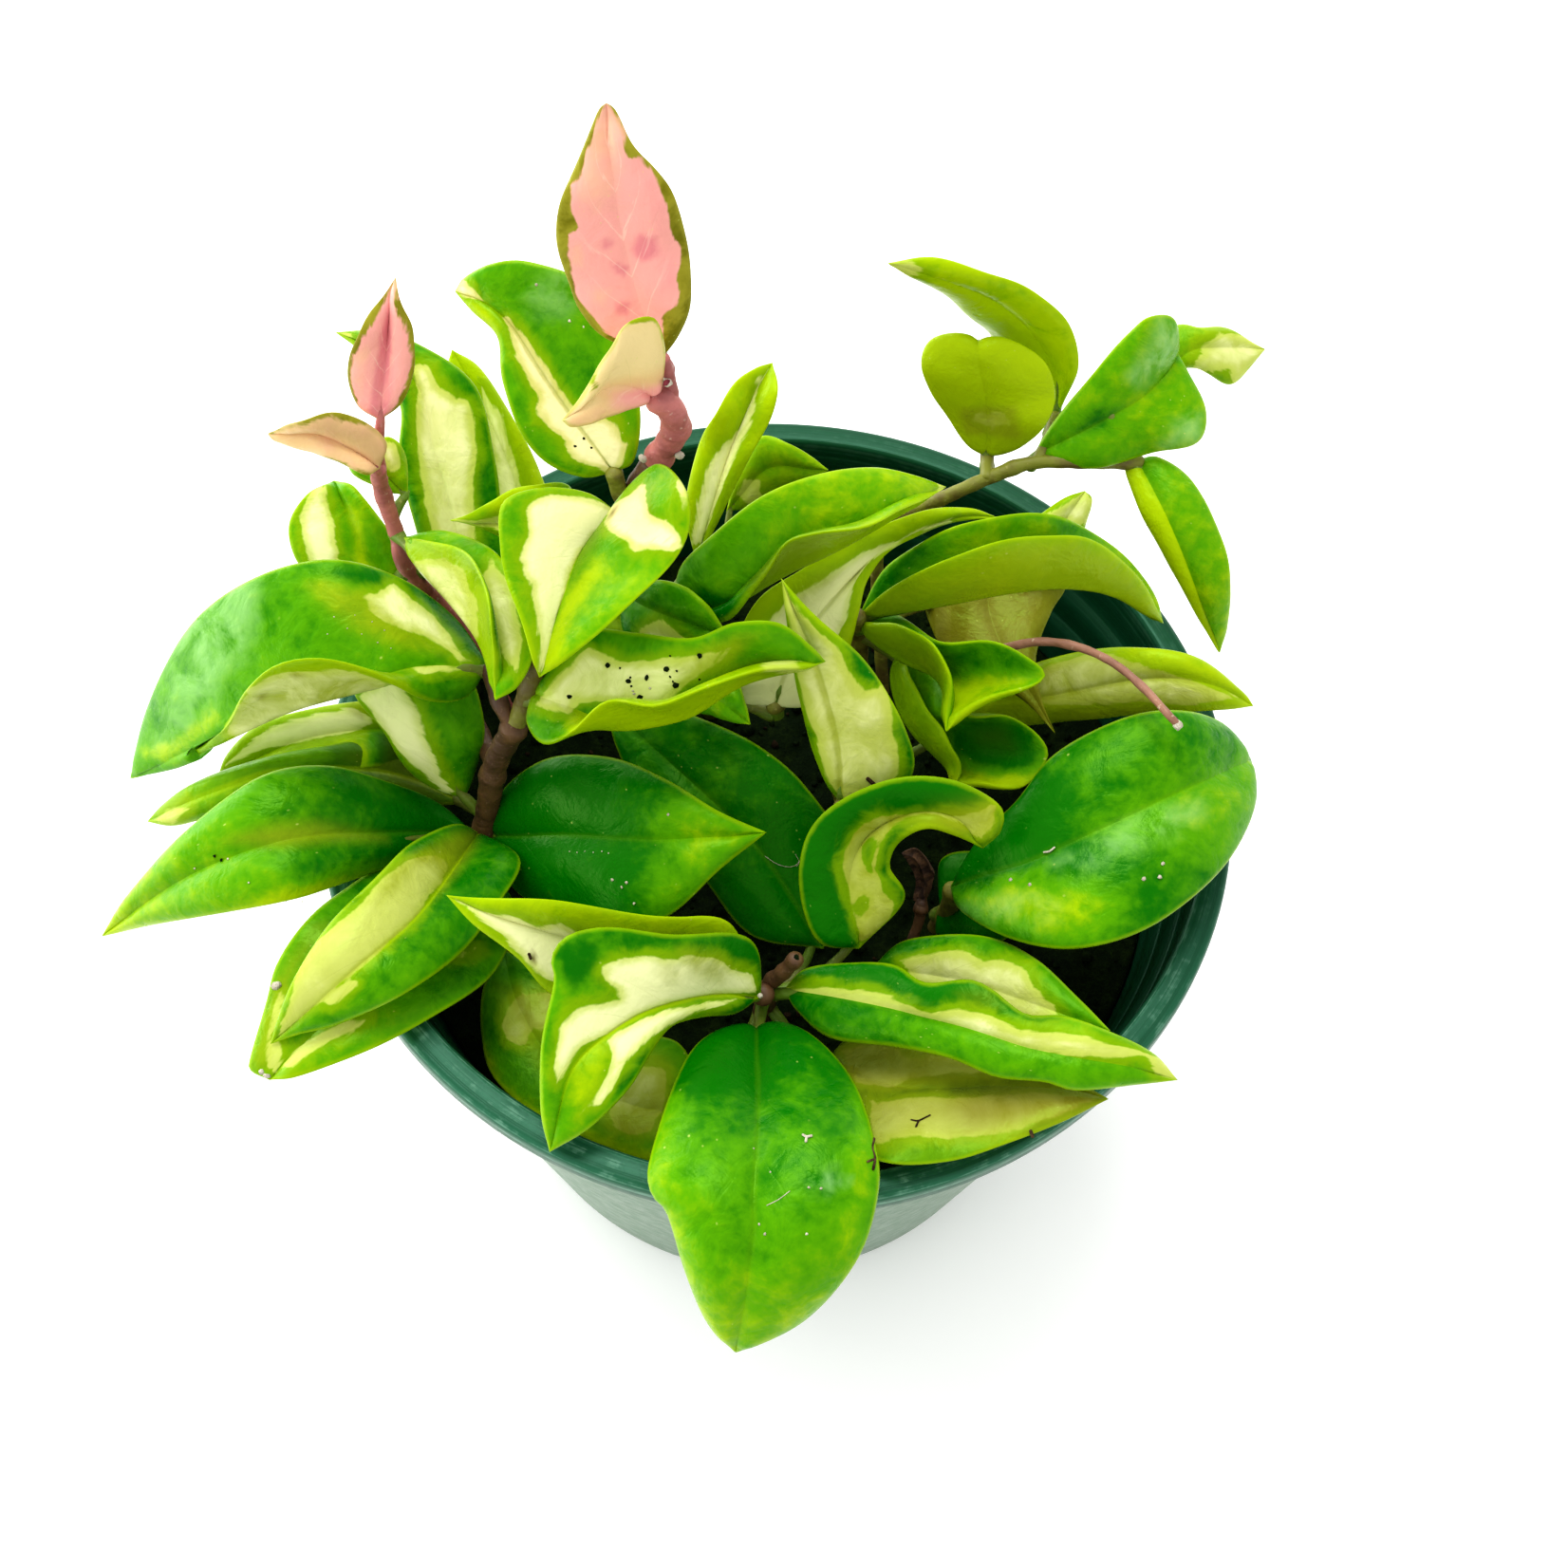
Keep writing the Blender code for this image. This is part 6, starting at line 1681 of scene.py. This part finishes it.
class Tube:
    """A round stem or stalk with swollen nodes and rounded ends."""

    RING_GAP = 0.9
    FEWEST_RINGS = 8
    NODE_REACH = 1.3
    UNEVENNESS = 0.04
    CAP_RINGS = 4
    CAP_BULGE = 0.8
    SIDEWAYS = (0.31, 1.0, 0.17)

    def __init__(self, path: Path, radius: float, end_radius: float | None = None,
                 nodes: Sequence[float] = (), swelling: float = 0.16, sides: int = 14) -> None:
        """Note the tube's sizes.

        Args:
            path: the points that its middle runs through.
            radius: its radius at the start, in millimetres.
            end_radius: its radius at the end, or None for the same.
            nodes: the shares of its length at which it is swollen.
            swelling: how much wider a node is, as a share of the radius.
            sides: the number of sides.
        """
        self.points = places(path)
        self.radius = radius
        self.end_radius = radius if end_radius is None else end_radius
        self.nodes = nodes
        self.swelling = swelling
        self.sides = sides

    def skin(self) -> np.ndarray:
        """The tube's skin, as rings of points in millimetres."""
        length = float(np.linalg.norm(np.diff(self.points, axis=0), axis=1).sum())
        shares = np.linspace(0.0, 1.0, max(self.FEWEST_RINGS, round(length / self.RING_GAP)) + 1)
        line = curve_through(self.points, shares)
        radii = self.radius + (self.end_radius - self.radius) * shares
        for node in self.nodes:
            radii = radii * (1 + self.swelling * np.exp(-((shares - node) * length / self.NODE_REACH) ** 2))
        radii = radii * (1 + self.UNEVENNESS * np.sin(shares * length * 1.7))
        along = unit(np.gradient(line, axis=0))
        turns = np.linspace(0, np.pi / 2, self.CAP_RINGS + 1)[:-1]
        start = [(line[0] - along[0] * radii[0] * np.cos(t) * self.CAP_BULGE, along[0], radii[0] * np.sin(t))
                 for t in turns]
        end = [(line[-1] + along[-1] * radii[-1] * np.cos(t) * self.CAP_BULGE, along[-1],
                radii[-1] * np.sin(t)) for t in turns[::-1]]
        rings = start + list(zip(line, along, radii)) + end
        around = np.linspace(0.0, 2 * np.pi, self.sides + 1)
        around[-1] = 0.0
        side = np.cross(along[0], self.SIDEWAYS)
        skin = []
        for centre, way, radius in rings:
            side = side - way * (side @ way)
            side = side / np.linalg.norm(side)
            other = np.cross(way, side)
            skin.append(centre + radius * (np.cos(around)[:, None] * side + np.sin(around)[:, None] * other))
        return np.array(skin)

    def add_to(self, bm: bmesh.types.BMesh, material: int) -> None:
        """Add the tube to a mesh.

        Args:
            bm: the mesh.
            material: the index of the tube's material.
        """
        part = wrapped_grid(self.skin())
        for face in part.faces:
            face.material_index = material
        carrier = bpy.data.meshes.new("tube")
        part.to_mesh(carrier)
        part.free()
        bm.from_mesh(carrier)
        bpy.data.meshes.remove(carrier)


class Lumps:
    """Small rough lumps, such as crumbs of soil, scars and specks."""

    NARROWEST = 0.6
    ROUGHENING = 0.6

    def __init__(self, seed: int) -> None:
        """Start without lumps.

        Args:
            seed: the seed of their shapes.
        """
        self.random = np.random.default_rng(seed)
        self.bm = bmesh.new()

    def add(self, centre: np.ndarray, up: np.ndarray, radius: float, flat: float = 0.6,
            rough: float = 0.25, material: int = 0) -> None:
        """Add one lump.

        Args:
            centre: its middle in millimetres.
            up: the direction in which it is flattened.
            radius: its radius in millimetres.
            flat: its height as a share of its width.
            rough: how uneven it is.
            material: the index of its material.
        """
        turn = Vector(up).to_track_quat("Z", "Y").to_matrix().to_4x4()
        spin = Matrix.Rotation(self.random.uniform(0, 2 * math.pi), 4, "Z")
        narrow = self.random.uniform(self.NARROWEST, 1.0)
        shape = Matrix.Diagonal((radius * MM, radius * narrow * MM, radius * flat * MM, 1.0))
        moved = Matrix.Translation(Vector(centre) * MM) @ turn @ spin @ shape
        made = bmesh.ops.create_icosphere(self.bm, subdivisions=1, radius=1.0, matrix=moved)
        for vert in made["verts"]:
            vert.co += Vector(self.random.uniform(-rough, rough, 3) * radius * MM * self.ROUGHENING)
            for face in vert.link_faces:
                face.material_index = material


WITHERED_PLANT = "dried_leaf"


class LeafyStem:
    """One plant stem of the record with its tubes, leaf stalks and leaves."""

    STALK_RADIUS = 1.15
    STALK_END_RADIUS = 0.5
    SUNK_SHARES = (0.05, 0.1, 0.2)
    SUNK_DEPTHS = (0.35, 0.45, 0.5)
    ROSY_FROM = 0.3

    def __init__(self, plant: str, slot: str, finishes: dict[str, Material]) -> None:
        """Note what to build.

        Args:
            plant: the CAD node that the pieces stand for.
            slot: the record's material slot; not used.
            finishes: the materials by name.
        """
        self.plant = plant
        self.slot = slot
        self.finishes = finishes

    def build(self) -> int:
        """Make the stem's pieces.

        Returns:
            The number of leaves.
        """
        self._build_tubes()
        count = 0
        for number, leaf in enumerate(LEAVES):
            if leaf.plant == self.plant:
                blade = LeafBlade(leaf, number)
                skin = self.finishes["withered" if self.plant == WITHERED_PLANT else "leaf"]
                add_piece(leaf.name + "_blade", blade.mesh(), [skin], [self.plant])
                count += 1
        return count

    def _build_tubes(self) -> None:
        """Make the stem's tubes and leaf stalks as one piece."""
        barks = list(Bark)
        bm = bmesh.new()
        for stem in STEMS:
            if stem.plant == self.plant:
                tube = Tube(stem.path, stem.radius, stem.end_radius, stem.nodes, stem.swelling)
                tube.add_to(bm, barks.index(stem.bark))
        for leaf in LEAVES:
            if leaf.plant == self.plant:
                rib = curve_through(places(leaf.rib), np.array(self.SUNK_SHARES))
                sunk = [Ground(x, y, z - drop) for (x, y, z), drop in zip(rib, self.SUNK_DEPTHS)]
                stalk = Tube([*leaf.foot, *sunk], self.STALK_RADIUS, self.STALK_END_RADIUS, nodes=(0.0,),
                             swelling=0.2, sides=10)
                stalk.add_to(bm, barks.index(self._stalk_bark(leaf)))
        materials = [self.finishes[bark.value] for bark in barks]
        add_piece(self.plant + "_stalks", bm, materials, [self.plant])

    @staticmethod
    def _stalk_bark(leaf: Leaf) -> Bark:
        """The colour of a leaf's stalk."""
        if leaf.plant == WITHERED_PLANT:
            return Bark.BROWN
        return Bark.ROSE if leaf.flush > LeafyStem.ROSY_FROM else Bark.GREEN


class NurseryPot:
    """The round teal pot: a tapered wall, a rolled lip, stacking ledges and drain holes."""

    RIM_RADIUS = 76.0
    HEIGHT = 108.0
    BASE_RADIUS = 54.7
    WALL = 1.8
    FLOOR = 2.2
    FOOT_ROUND = 1.4
    FLOOR_ROUND = 2.0
    LIP_OVERHANG = 2.4
    LIP_WIDTH = 4.8
    LIP_DEPTH = 5.4
    LIP_ROUND = 1.2
    LIP_INNER_ROUND = 1.0
    LIP_BULGE = 0.05
    LEDGE_DEPTHS = (10.0, 17.0)
    LEDGE_STEP = 0.7
    BELOW_LEDGES = 86.0
    DRAIN_COUNT = 8
    DRAIN_RADIUS = 4.0
    DRAIN_CIRCLE = 41.0
    DRILL_LENGTH = 12.0
    SIDES = 180

    def __init__(self, plastic: Material) -> None:
        """Note the pot's finish."""
        self.plastic = plastic

    @classmethod
    def wall_radius(cls, height: Union[float, np.ndarray]) -> Union[float, np.ndarray]:
        """The outer radius of the wall at a height, without the lip."""
        return cls.BASE_RADIUS + (cls.RIM_RADIUS - cls.LIP_OVERHANG - cls.BASE_RADIUS) * height / cls.HEIGHT

    @classmethod
    def inner_radius(cls, height: float) -> float:
        """The inner radius of the wall at a height."""
        ledges = sum(cls.LEDGE_STEP for depth in cls.LEDGE_DEPTHS if height < cls.HEIGHT - depth)
        return cls.wall_radius(height) - cls.WALL - ledges + cls.LEDGE_STEP * (height > cls.FLOOR)

    def outline(self) -> list[tuple[float, float]]:
        """The pot's half section, from the middle of its foot up over the lip and down to its floor."""
        low, rim, top = self.HEIGHT - self.LIP_DEPTH, self.RIM_RADIUS, self.HEIGHT
        points = [(0.0, 0.0), (30.0, 0.0), (self.BASE_RADIUS - self.FOOT_ROUND, 0.0),
                  (self.BASE_RADIUS - 0.4, 0.3), (self.BASE_RADIUS, self.FOOT_ROUND)]
        points += [(self.wall_radius(h), h) for h in np.linspace(4.0, low - 1.0, 14)]
        turn, inner = self.LIP_ROUND, self.LIP_INNER_ROUND
        points += [(rim - turn, low), (rim - 0.35, low + 0.35), (rim, low + 1.4),
                   (rim + self.LIP_BULGE, low + self.LIP_DEPTH / 2)]
        points += [(rim - turn + turn * math.sin(t), top - turn + turn * math.cos(t))
                   for t in np.linspace(math.pi / 2, 0, 6)]
        points += [(rim - self.LIP_WIDTH + 1.3, top + self.LIP_BULGE)]
        points += [(rim - self.LIP_WIDTH + inner - inner * math.sin(t), top - inner + inner * math.cos(t))
                   for t in np.linspace(0.2, math.pi / 2, 5)]
        for depth in self.LEDGE_DEPTHS:
            step = top - depth
            above = self.inner_radius(step + 0.5)
            points += [(above + 0.15, step + 3.5), (above, step + 0.5), (above - 0.25, step + 0.1),
                       (self.inner_radius(step - 0.3), step - 0.3)]
        corner = self.FLOOR + self.FLOOR_ROUND
        foot = self.inner_radius(corner)
        points += [(self.inner_radius(h), h) for h in np.linspace(self.BELOW_LEDGES, corner, 8)]
        points += [(foot - 0.6, self.FLOOR + 0.6), (foot - self.FLOOR_ROUND, self.FLOOR),
                   (25.0, self.FLOOR), (0.0, self.FLOOR)]
        return points

    def build(self) -> None:
        """Make the pot."""
        bm = spun(self.outline(), self.SIDES)
        pot = add_piece("nursery_pot", bm, [self.plastic], ["pot"], sharp_degrees=50)
        drills = bmesh.new()
        for k in range(self.DRAIN_COUNT):
            turn = 2 * math.pi * (k + 0.5) / self.DRAIN_COUNT
            middle = Vector((self.DRAIN_CIRCLE * math.cos(turn), self.DRAIN_CIRCLE * math.sin(turn), 1.0))
            bmesh.ops.create_cone(drills, cap_ends=True, segments=32, radius1=self.DRAIN_RADIUS * MM,
                                  radius2=self.DRAIN_RADIUS * MM, depth=self.DRILL_LENGTH * MM,
                                  matrix=Matrix.Translation(middle * MM))
        cut_away(pot, drills)
        self._paint_glare_and_shade(pot)

    def _paint_glare_and_shade(self, pot: bpy.types.Object) -> None:
        """Write the painted glare, the lip's painted highlights and the painted shade at each point.

        Args:
            pot: the pot's object.
        """
        x, y, height = (np.array([v.co for v in pot.data.vertices]) / MM).T
        radius = np.hypot(x, y)
        outside = radius > self.wall_radius(height) - self.WALL / 2
        front = smooth_step(0.25, -0.75, (y + 0.25 * x) / np.maximum(radius, 1.0))
        low = self.HEIGHT - self.LIP_DEPTH
        lip = smooth_step(low - 0.5, low + 0.5, height)
        inner = self.RIM_RADIUS - self.LIP_WIDTH
        lip = lip * smooth_step(inner - 0.8, inner, radius)
        # Painted glare on the outer wall below the lip, strongest at the front.
        haze = np.where(outside & (lip < 0.5), 0.2 + 0.65 * front, 0.0)
        # Painted shade: the outside and the lip darken towards the back, and the inside is dark all over.
        shade = np.where(outside | (lip > 0.5), 0.6 * (1 - front), 0.75)
        # The lip's painted highlights are strongest at the front.
        for name, values in (("haze", haze), ("lip", lip * (0.2 + 0.8 * front)), ("shade", shade)):
            layer = pot.data.attributes.new(name, "FLOAT", "POINT")
            layer.data.foreach_set("value", values.astype(np.float32))


def spun(outline: Outline, sides: int) -> bmesh.types.BMesh:
    """Turn a half section about the pot's axis into a closed solid.

    Args:
        outline: points of radius and height in millimetres, which start and end on the axis.
        sides: the number of steps of the full turn.

    Returns:
        The closed mesh.
    """
    radius, height = np.array(outline).T[..., None]
    turns = np.linspace(0.0, 2 * np.pi, sides + 1)
    turns[-1] = 0.0
    skin = np.stack([radius * np.cos(turns), radius * np.sin(turns), height + 0 * turns], axis=-1)
    return wrapped_grid(skin)


def cut_away(piece: bpy.types.Object, cutters: bmesh.types.BMesh) -> None:
    """Cut closed shapes out of a piece.

    Args:
        piece: the piece that is cut.
        cutters: the shapes, which are freed.
    """
    tool = linked("cutters", cutters)
    mesh = tool.data
    cut = piece.modifiers.new("holes", "BOOLEAN")
    cut.operation = "DIFFERENCE"
    cut.object = tool
    result = bpy.data.meshes.new_from_object(piece.evaluated_get(bpy.context.evaluated_depsgraph_get()))
    piece.modifiers.clear()
    old, piece.data = piece.data, result
    result.name = old.name
    bpy.data.meshes.remove(old)
    bpy.data.objects.remove(tool)
    bpy.data.meshes.remove(mesh)


class PottingSoil:
    """The dark mix in the pot: an uneven top with crumbs, bark bits and fibres on it."""

    DEPTH = 26.0
    SIDES = 150
    GAP = 0.4
    RINGS = 70
    SWELL = 1.1
    ROUGHNESS = 1.3
    NOISE_SCALE = 0.16
    NOISE_LAYER = 3.7
    LEVEL_EDGE = 3.0
    CRUMBS = 1100
    SMALLEST_CRUMB = 0.45
    CRUMB_SPREAD = 1.0
    CRUMB_TILT = 0.5
    CRUMB_CLEARANCE = 1.6
    PALER_SHARE = 0.12
    SEED = 11

    def __init__(self, earth: Material, bark: Material) -> None:
        """Note the soil's finishes.

        Args:
            earth: the finish of the mix.
            bark: the finish of the paler bits.
        """
        self.earth = earth
        self.bark = bark
        self.level = NurseryPot.HEIGHT - self.DEPTH
        self.top_radius = NurseryPot.inner_radius(self.level) - self.GAP

    def top(self, x: float, y: float) -> float:
        """The height of the soil's top at a place, in millimetres."""
        radius = math.hypot(x, y)
        low = 0.6 * math.sin(0.21 * x + 0.4) * math.cos(0.17 * y) + 0.4 * math.sin(0.33 * y - 0.19 * x)
        spot = Vector((x * self.NOISE_SCALE, y * self.NOISE_SCALE, self.NOISE_LAYER))
        rough = noise.fractal(spot, 0.7, 2.2, 4)
        fade = min(1.0, max(0.0, (self.top_radius - radius) / self.LEVEL_EDGE))
        return self.level + (self.SWELL * low + self.ROUGHNESS * rough) * fade

    def build(self) -> None:
        """Make the soil and what lies on it."""
        floor, corner = NurseryPot.FLOOR + self.GAP, NurseryPot.FLOOR_ROUND
        low_radius = NurseryPot.inner_radius(NurseryPot.FLOOR + corner) - self.GAP
        outline = [(0.0, floor), (low_radius - corner, floor), (low_radius, floor + corner)]
        outline += [(self.top_radius * (1 - k / self.RINGS), self.level) for k in range(self.RINGS + 1)]
        bm = spun(outline, self.SIDES)
        for vert in bm.verts:
            if vert.co.z > (self.level - 0.5) * MM:
                vert.co.z = self.top(vert.co.x / MM, vert.co.y / MM) * MM
        add_piece("potting_soil", bm, [self.earth], ["soil"])
        self._build_crumbs()

    def _build_crumbs(self) -> None:
        """Scatter crumbs and bark bits over the top."""
        crumbs = Lumps(self.SEED)
        for _ in range(self.CRUMBS):
            radius = (self.top_radius - self.CRUMB_CLEARANCE) * math.sqrt(crumbs.random.uniform())
            turn = crumbs.random.uniform(0, 2 * math.pi)
            x, y = radius * math.cos(turn), radius * math.sin(turn)
            size = self.SMALLEST_CRUMB + self.CRUMB_SPREAD * crumbs.random.uniform() ** 3
            lean = crumbs.random.normal() * self.CRUMB_TILT, crumbs.random.normal() * self.CRUMB_TILT
            up = np.array([*lean, 1.0])
            paler = int(crumbs.random.uniform() < self.PALER_SHARE)
            middle = np.array([x, y, self.top(x, y) + 0.25 * size])
            crumbs.add(middle, up, size, rough=0.3, material=paler)
        add_piece("soil_crumbs", crumbs.bm, [self.earth, self.bark], [])


class LeafDirt:
    """Grains of soil, flecks, hairs and scraps that lie on the leaves where the photograph shows them."""

    SEED = 23

    def __init__(self, *materials: Material) -> None:
        """Note the finishes of the specks, in the order of Speck."""
        self.materials = materials

    def build(self) -> None:
        """Lay the grains on their leaves."""
        lumps = Lumps(self.SEED)
        blades = {leaf.name: LeafBlade(leaf, number) for number, leaf in enumerate(LEAVES)}
        for grain in GRAINS:
            speck = Speck.PALE if grain.pale else Speck.DARK
            for pixel in grain.seen_at:
                centre, up = blades[grain.leaf].skin_point(pixel)
                lumps.add(centre, up, grain.radius, flat=0.45, rough=0.3, material=speck.value)
        for straw in STRAWS:
            speck = Speck.PALE if straw.pale else Speck.TWIG
            hits = [blades[straw.leaf].skin_point(pixel) for pixel in straw.seen_at]
            laid = [Ground(*(centre + 0.5 * straw.radius * up)) for centre, up in hits]
            Tube(laid, straw.radius, sides=6).add_to(lumps.bm, speck.value)
        for nub in NUBS:
            centre = place(nub.spot)
            up = unit(np.array(CAMERA.eye) - centre)
            lumps.add(centre, up, nub.radius, flat=0.8, rough=nub.rough, material=nub.speck.value)
        add_piece("leaf_dirt", lumps.bm, self.materials, [])


@dataclass(frozen=True)
class Lamp:
    """A soft rectangular lamp; lengths are in metres."""

    name: str
    spot: tuple[float, float, float]
    size: tuple[float, float]
    watts: float

    def build(self, aim: Vector) -> None:
        """Make the lamp.

        Args:
            aim: the place that it faces.
        """
        data = bpy.data.lights.new(self.name, "AREA")
        data.shape = "RECTANGLE"
        data.size, data.size_y = self.size
        data.energy = self.watts
        lamp = bpy.data.objects.new(self.name, data)
        lamp.location = self.spot
        lamp.rotation_euler = (aim - Vector(self.spot)).to_track_quat("-Z", "Y").to_euler()
        bpy.context.scene.collection.objects.link(lamp)


@dataclass(frozen=True)
class Studio:
    """A pale floor, white surroundings and soft lamps."""

    floor_half: float = 2.5
    floor_colour: Colour = (0.93, 0.93, 0.92)
    floor_glow: float = 0.12
    room_light: float = 0.89
    aim: tuple[float, float, float] = (0.0, 0.0, 0.12)
    lamps: tuple[Lamp, ...] = (
        Lamp("window", (-0.80, 0.62, 0.40), (0.9, 0.6), 6.5),
        Lamp("ceiling", (-0.15, 0.40, 1.20), (0.6, 0.6), 8.0),
        Lamp("back_wall", (0.15, 1.05, 0.50), (1.4, 0.7), 2.5),
        Lamp("left_wall", (-0.75, -0.12, 0.24), (0.7, 0.35), 2.2),
    )

    def build(self) -> None:
        """Make the floor, the surroundings and the lamps."""
        self._floor()
        self._world()
        for lamp in self.lamps:
            lamp.build(Vector(self.aim))
        bpy.context.scene.view_settings.view_transform = "Standard"
        bpy.context.scene.view_settings.look = "Medium High Contrast"

    def _floor(self) -> None:
        """Make the floor."""
        bm = bmesh.new()
        bmesh.ops.create_grid(bm, x_segments=1, y_segments=1, size=self.floor_half)
        pale = Shading("pale_floor").finish(self.floor_colour, 0.8, Emission_Strength=self.floor_glow)
        floor = linked("floor", bm, [pale])

    def _world(self) -> None:
        """Make the white surroundings."""
        world = bpy.data.worlds.new("white_room")
        world.use_nodes = True
        back = world.node_tree.nodes["Background"]
        back.inputs["Color"].default_value = (1.0, 1.0, 1.0, 1.0)
        back.inputs["Strength"].default_value = self.room_light
        bpy.context.scene.world = world


SLOTS = {
    "left_stem": "green_leaf",
    "left_shoot": "pink_leaf",
    "centre_shoot": "pink_leaf",
    "back_stem": "green_leaf",
    "middle_stem": "cream_leaf",
    "right_back_stem": "green_leaf",
    "vine_stem": "green_leaf",
    "right_stem": "green_leaf",
    "front_stem": "cream_leaf",
    "dried_leaf": "withered_leaf",
}


BARKS = {
    Bark.BROWN: BarkFinish("brown_bark", (0.13, 0.062, 0.022), (0.065, 0.028, 0.012), (0.24, 0.15, 0.09)),
    Bark.ROSE: BarkFinish("rosy_stem", (0.47, 0.15, 0.135), (0.31, 0.09, 0.085), (0.62, 0.45, 0.38)),
    Bark.OLIVE: BarkFinish("olive_stem", (0.21, 0.22, 0.02), (0.12, 0.09, 0.015), (0.35, 0.33, 0.1)),
    Bark.GREEN: BarkFinish("green_stalk", (0.12, 0.22, 0.01), (0.14, 0.16, 0.02), (0.35, 0.4, 0.1)),
    Bark.TAN: BarkFinish("tan_stem", (0.33, 0.16, 0.10), (0.22, 0.10, 0.06), (0.6, 0.5, 0.35)),
}


def make_finishes() -> dict[str, Material]:
    """Make every material.

    Returns:
        The materials by name.
    """
    finishes = {
        "leaf": LeafFinish(),
        "withered": DryFinish(),
        **{bark.value: finish for bark, finish in BARKS.items()},
        "plastic": PlasticFinish(),
        # The earth's green tint is painted: it stands in for green light reflected from the leaves above.
        "earth": CrumbFinish("dark_soil", (0.003, 0.010, 0.001), (0.014, 0.028, 0.003)),
        "bark_bit": CrumbFinish("bark_bit", (0.015, 0.009, 0.004), (0.07, 0.04, 0.018)),
        "pale_fleck": CrumbFinish("pale_fleck", (0.5, 0.45, 0.35), (0.8, 0.75, 0.62)),
        "twig": CrumbFinish("twig_crumb", (0.03, 0.016, 0.007), (0.16, 0.10, 0.05)),
        "scar": CrumbFinish("leaf_scar", (0.10, 0.012, 0.02), (0.3, 0.06, 0.08)),
    }
    return {name: finish.material() for name, finish in finishes.items()}


def main() -> None:
    """Build every piece, the studio and the camera."""
    logging.basicConfig(level=logging.INFO, format="%(message)s")
    finishes = make_finishes()
    NurseryPot(finishes["plastic"]).build()
    LOG.info("nursery pot")
    PottingSoil(finishes["earth"], finishes["bark_bit"]).build()
    LOG.info("potting soil")
    for plant, slot in SLOTS.items():
        leaves = LeafyStem(plant, slot, finishes).build()
        LOG.info("%s: %d leaves", plant, leaves)
    LeafDirt(finishes["earth"], finishes["pale_fleck"], finishes["twig"], finishes["scar"]).build()
    LOG.info("leaf dirt")
    Studio().build()
    CAMERA.build()


if __name__ == "__main__":
    main()
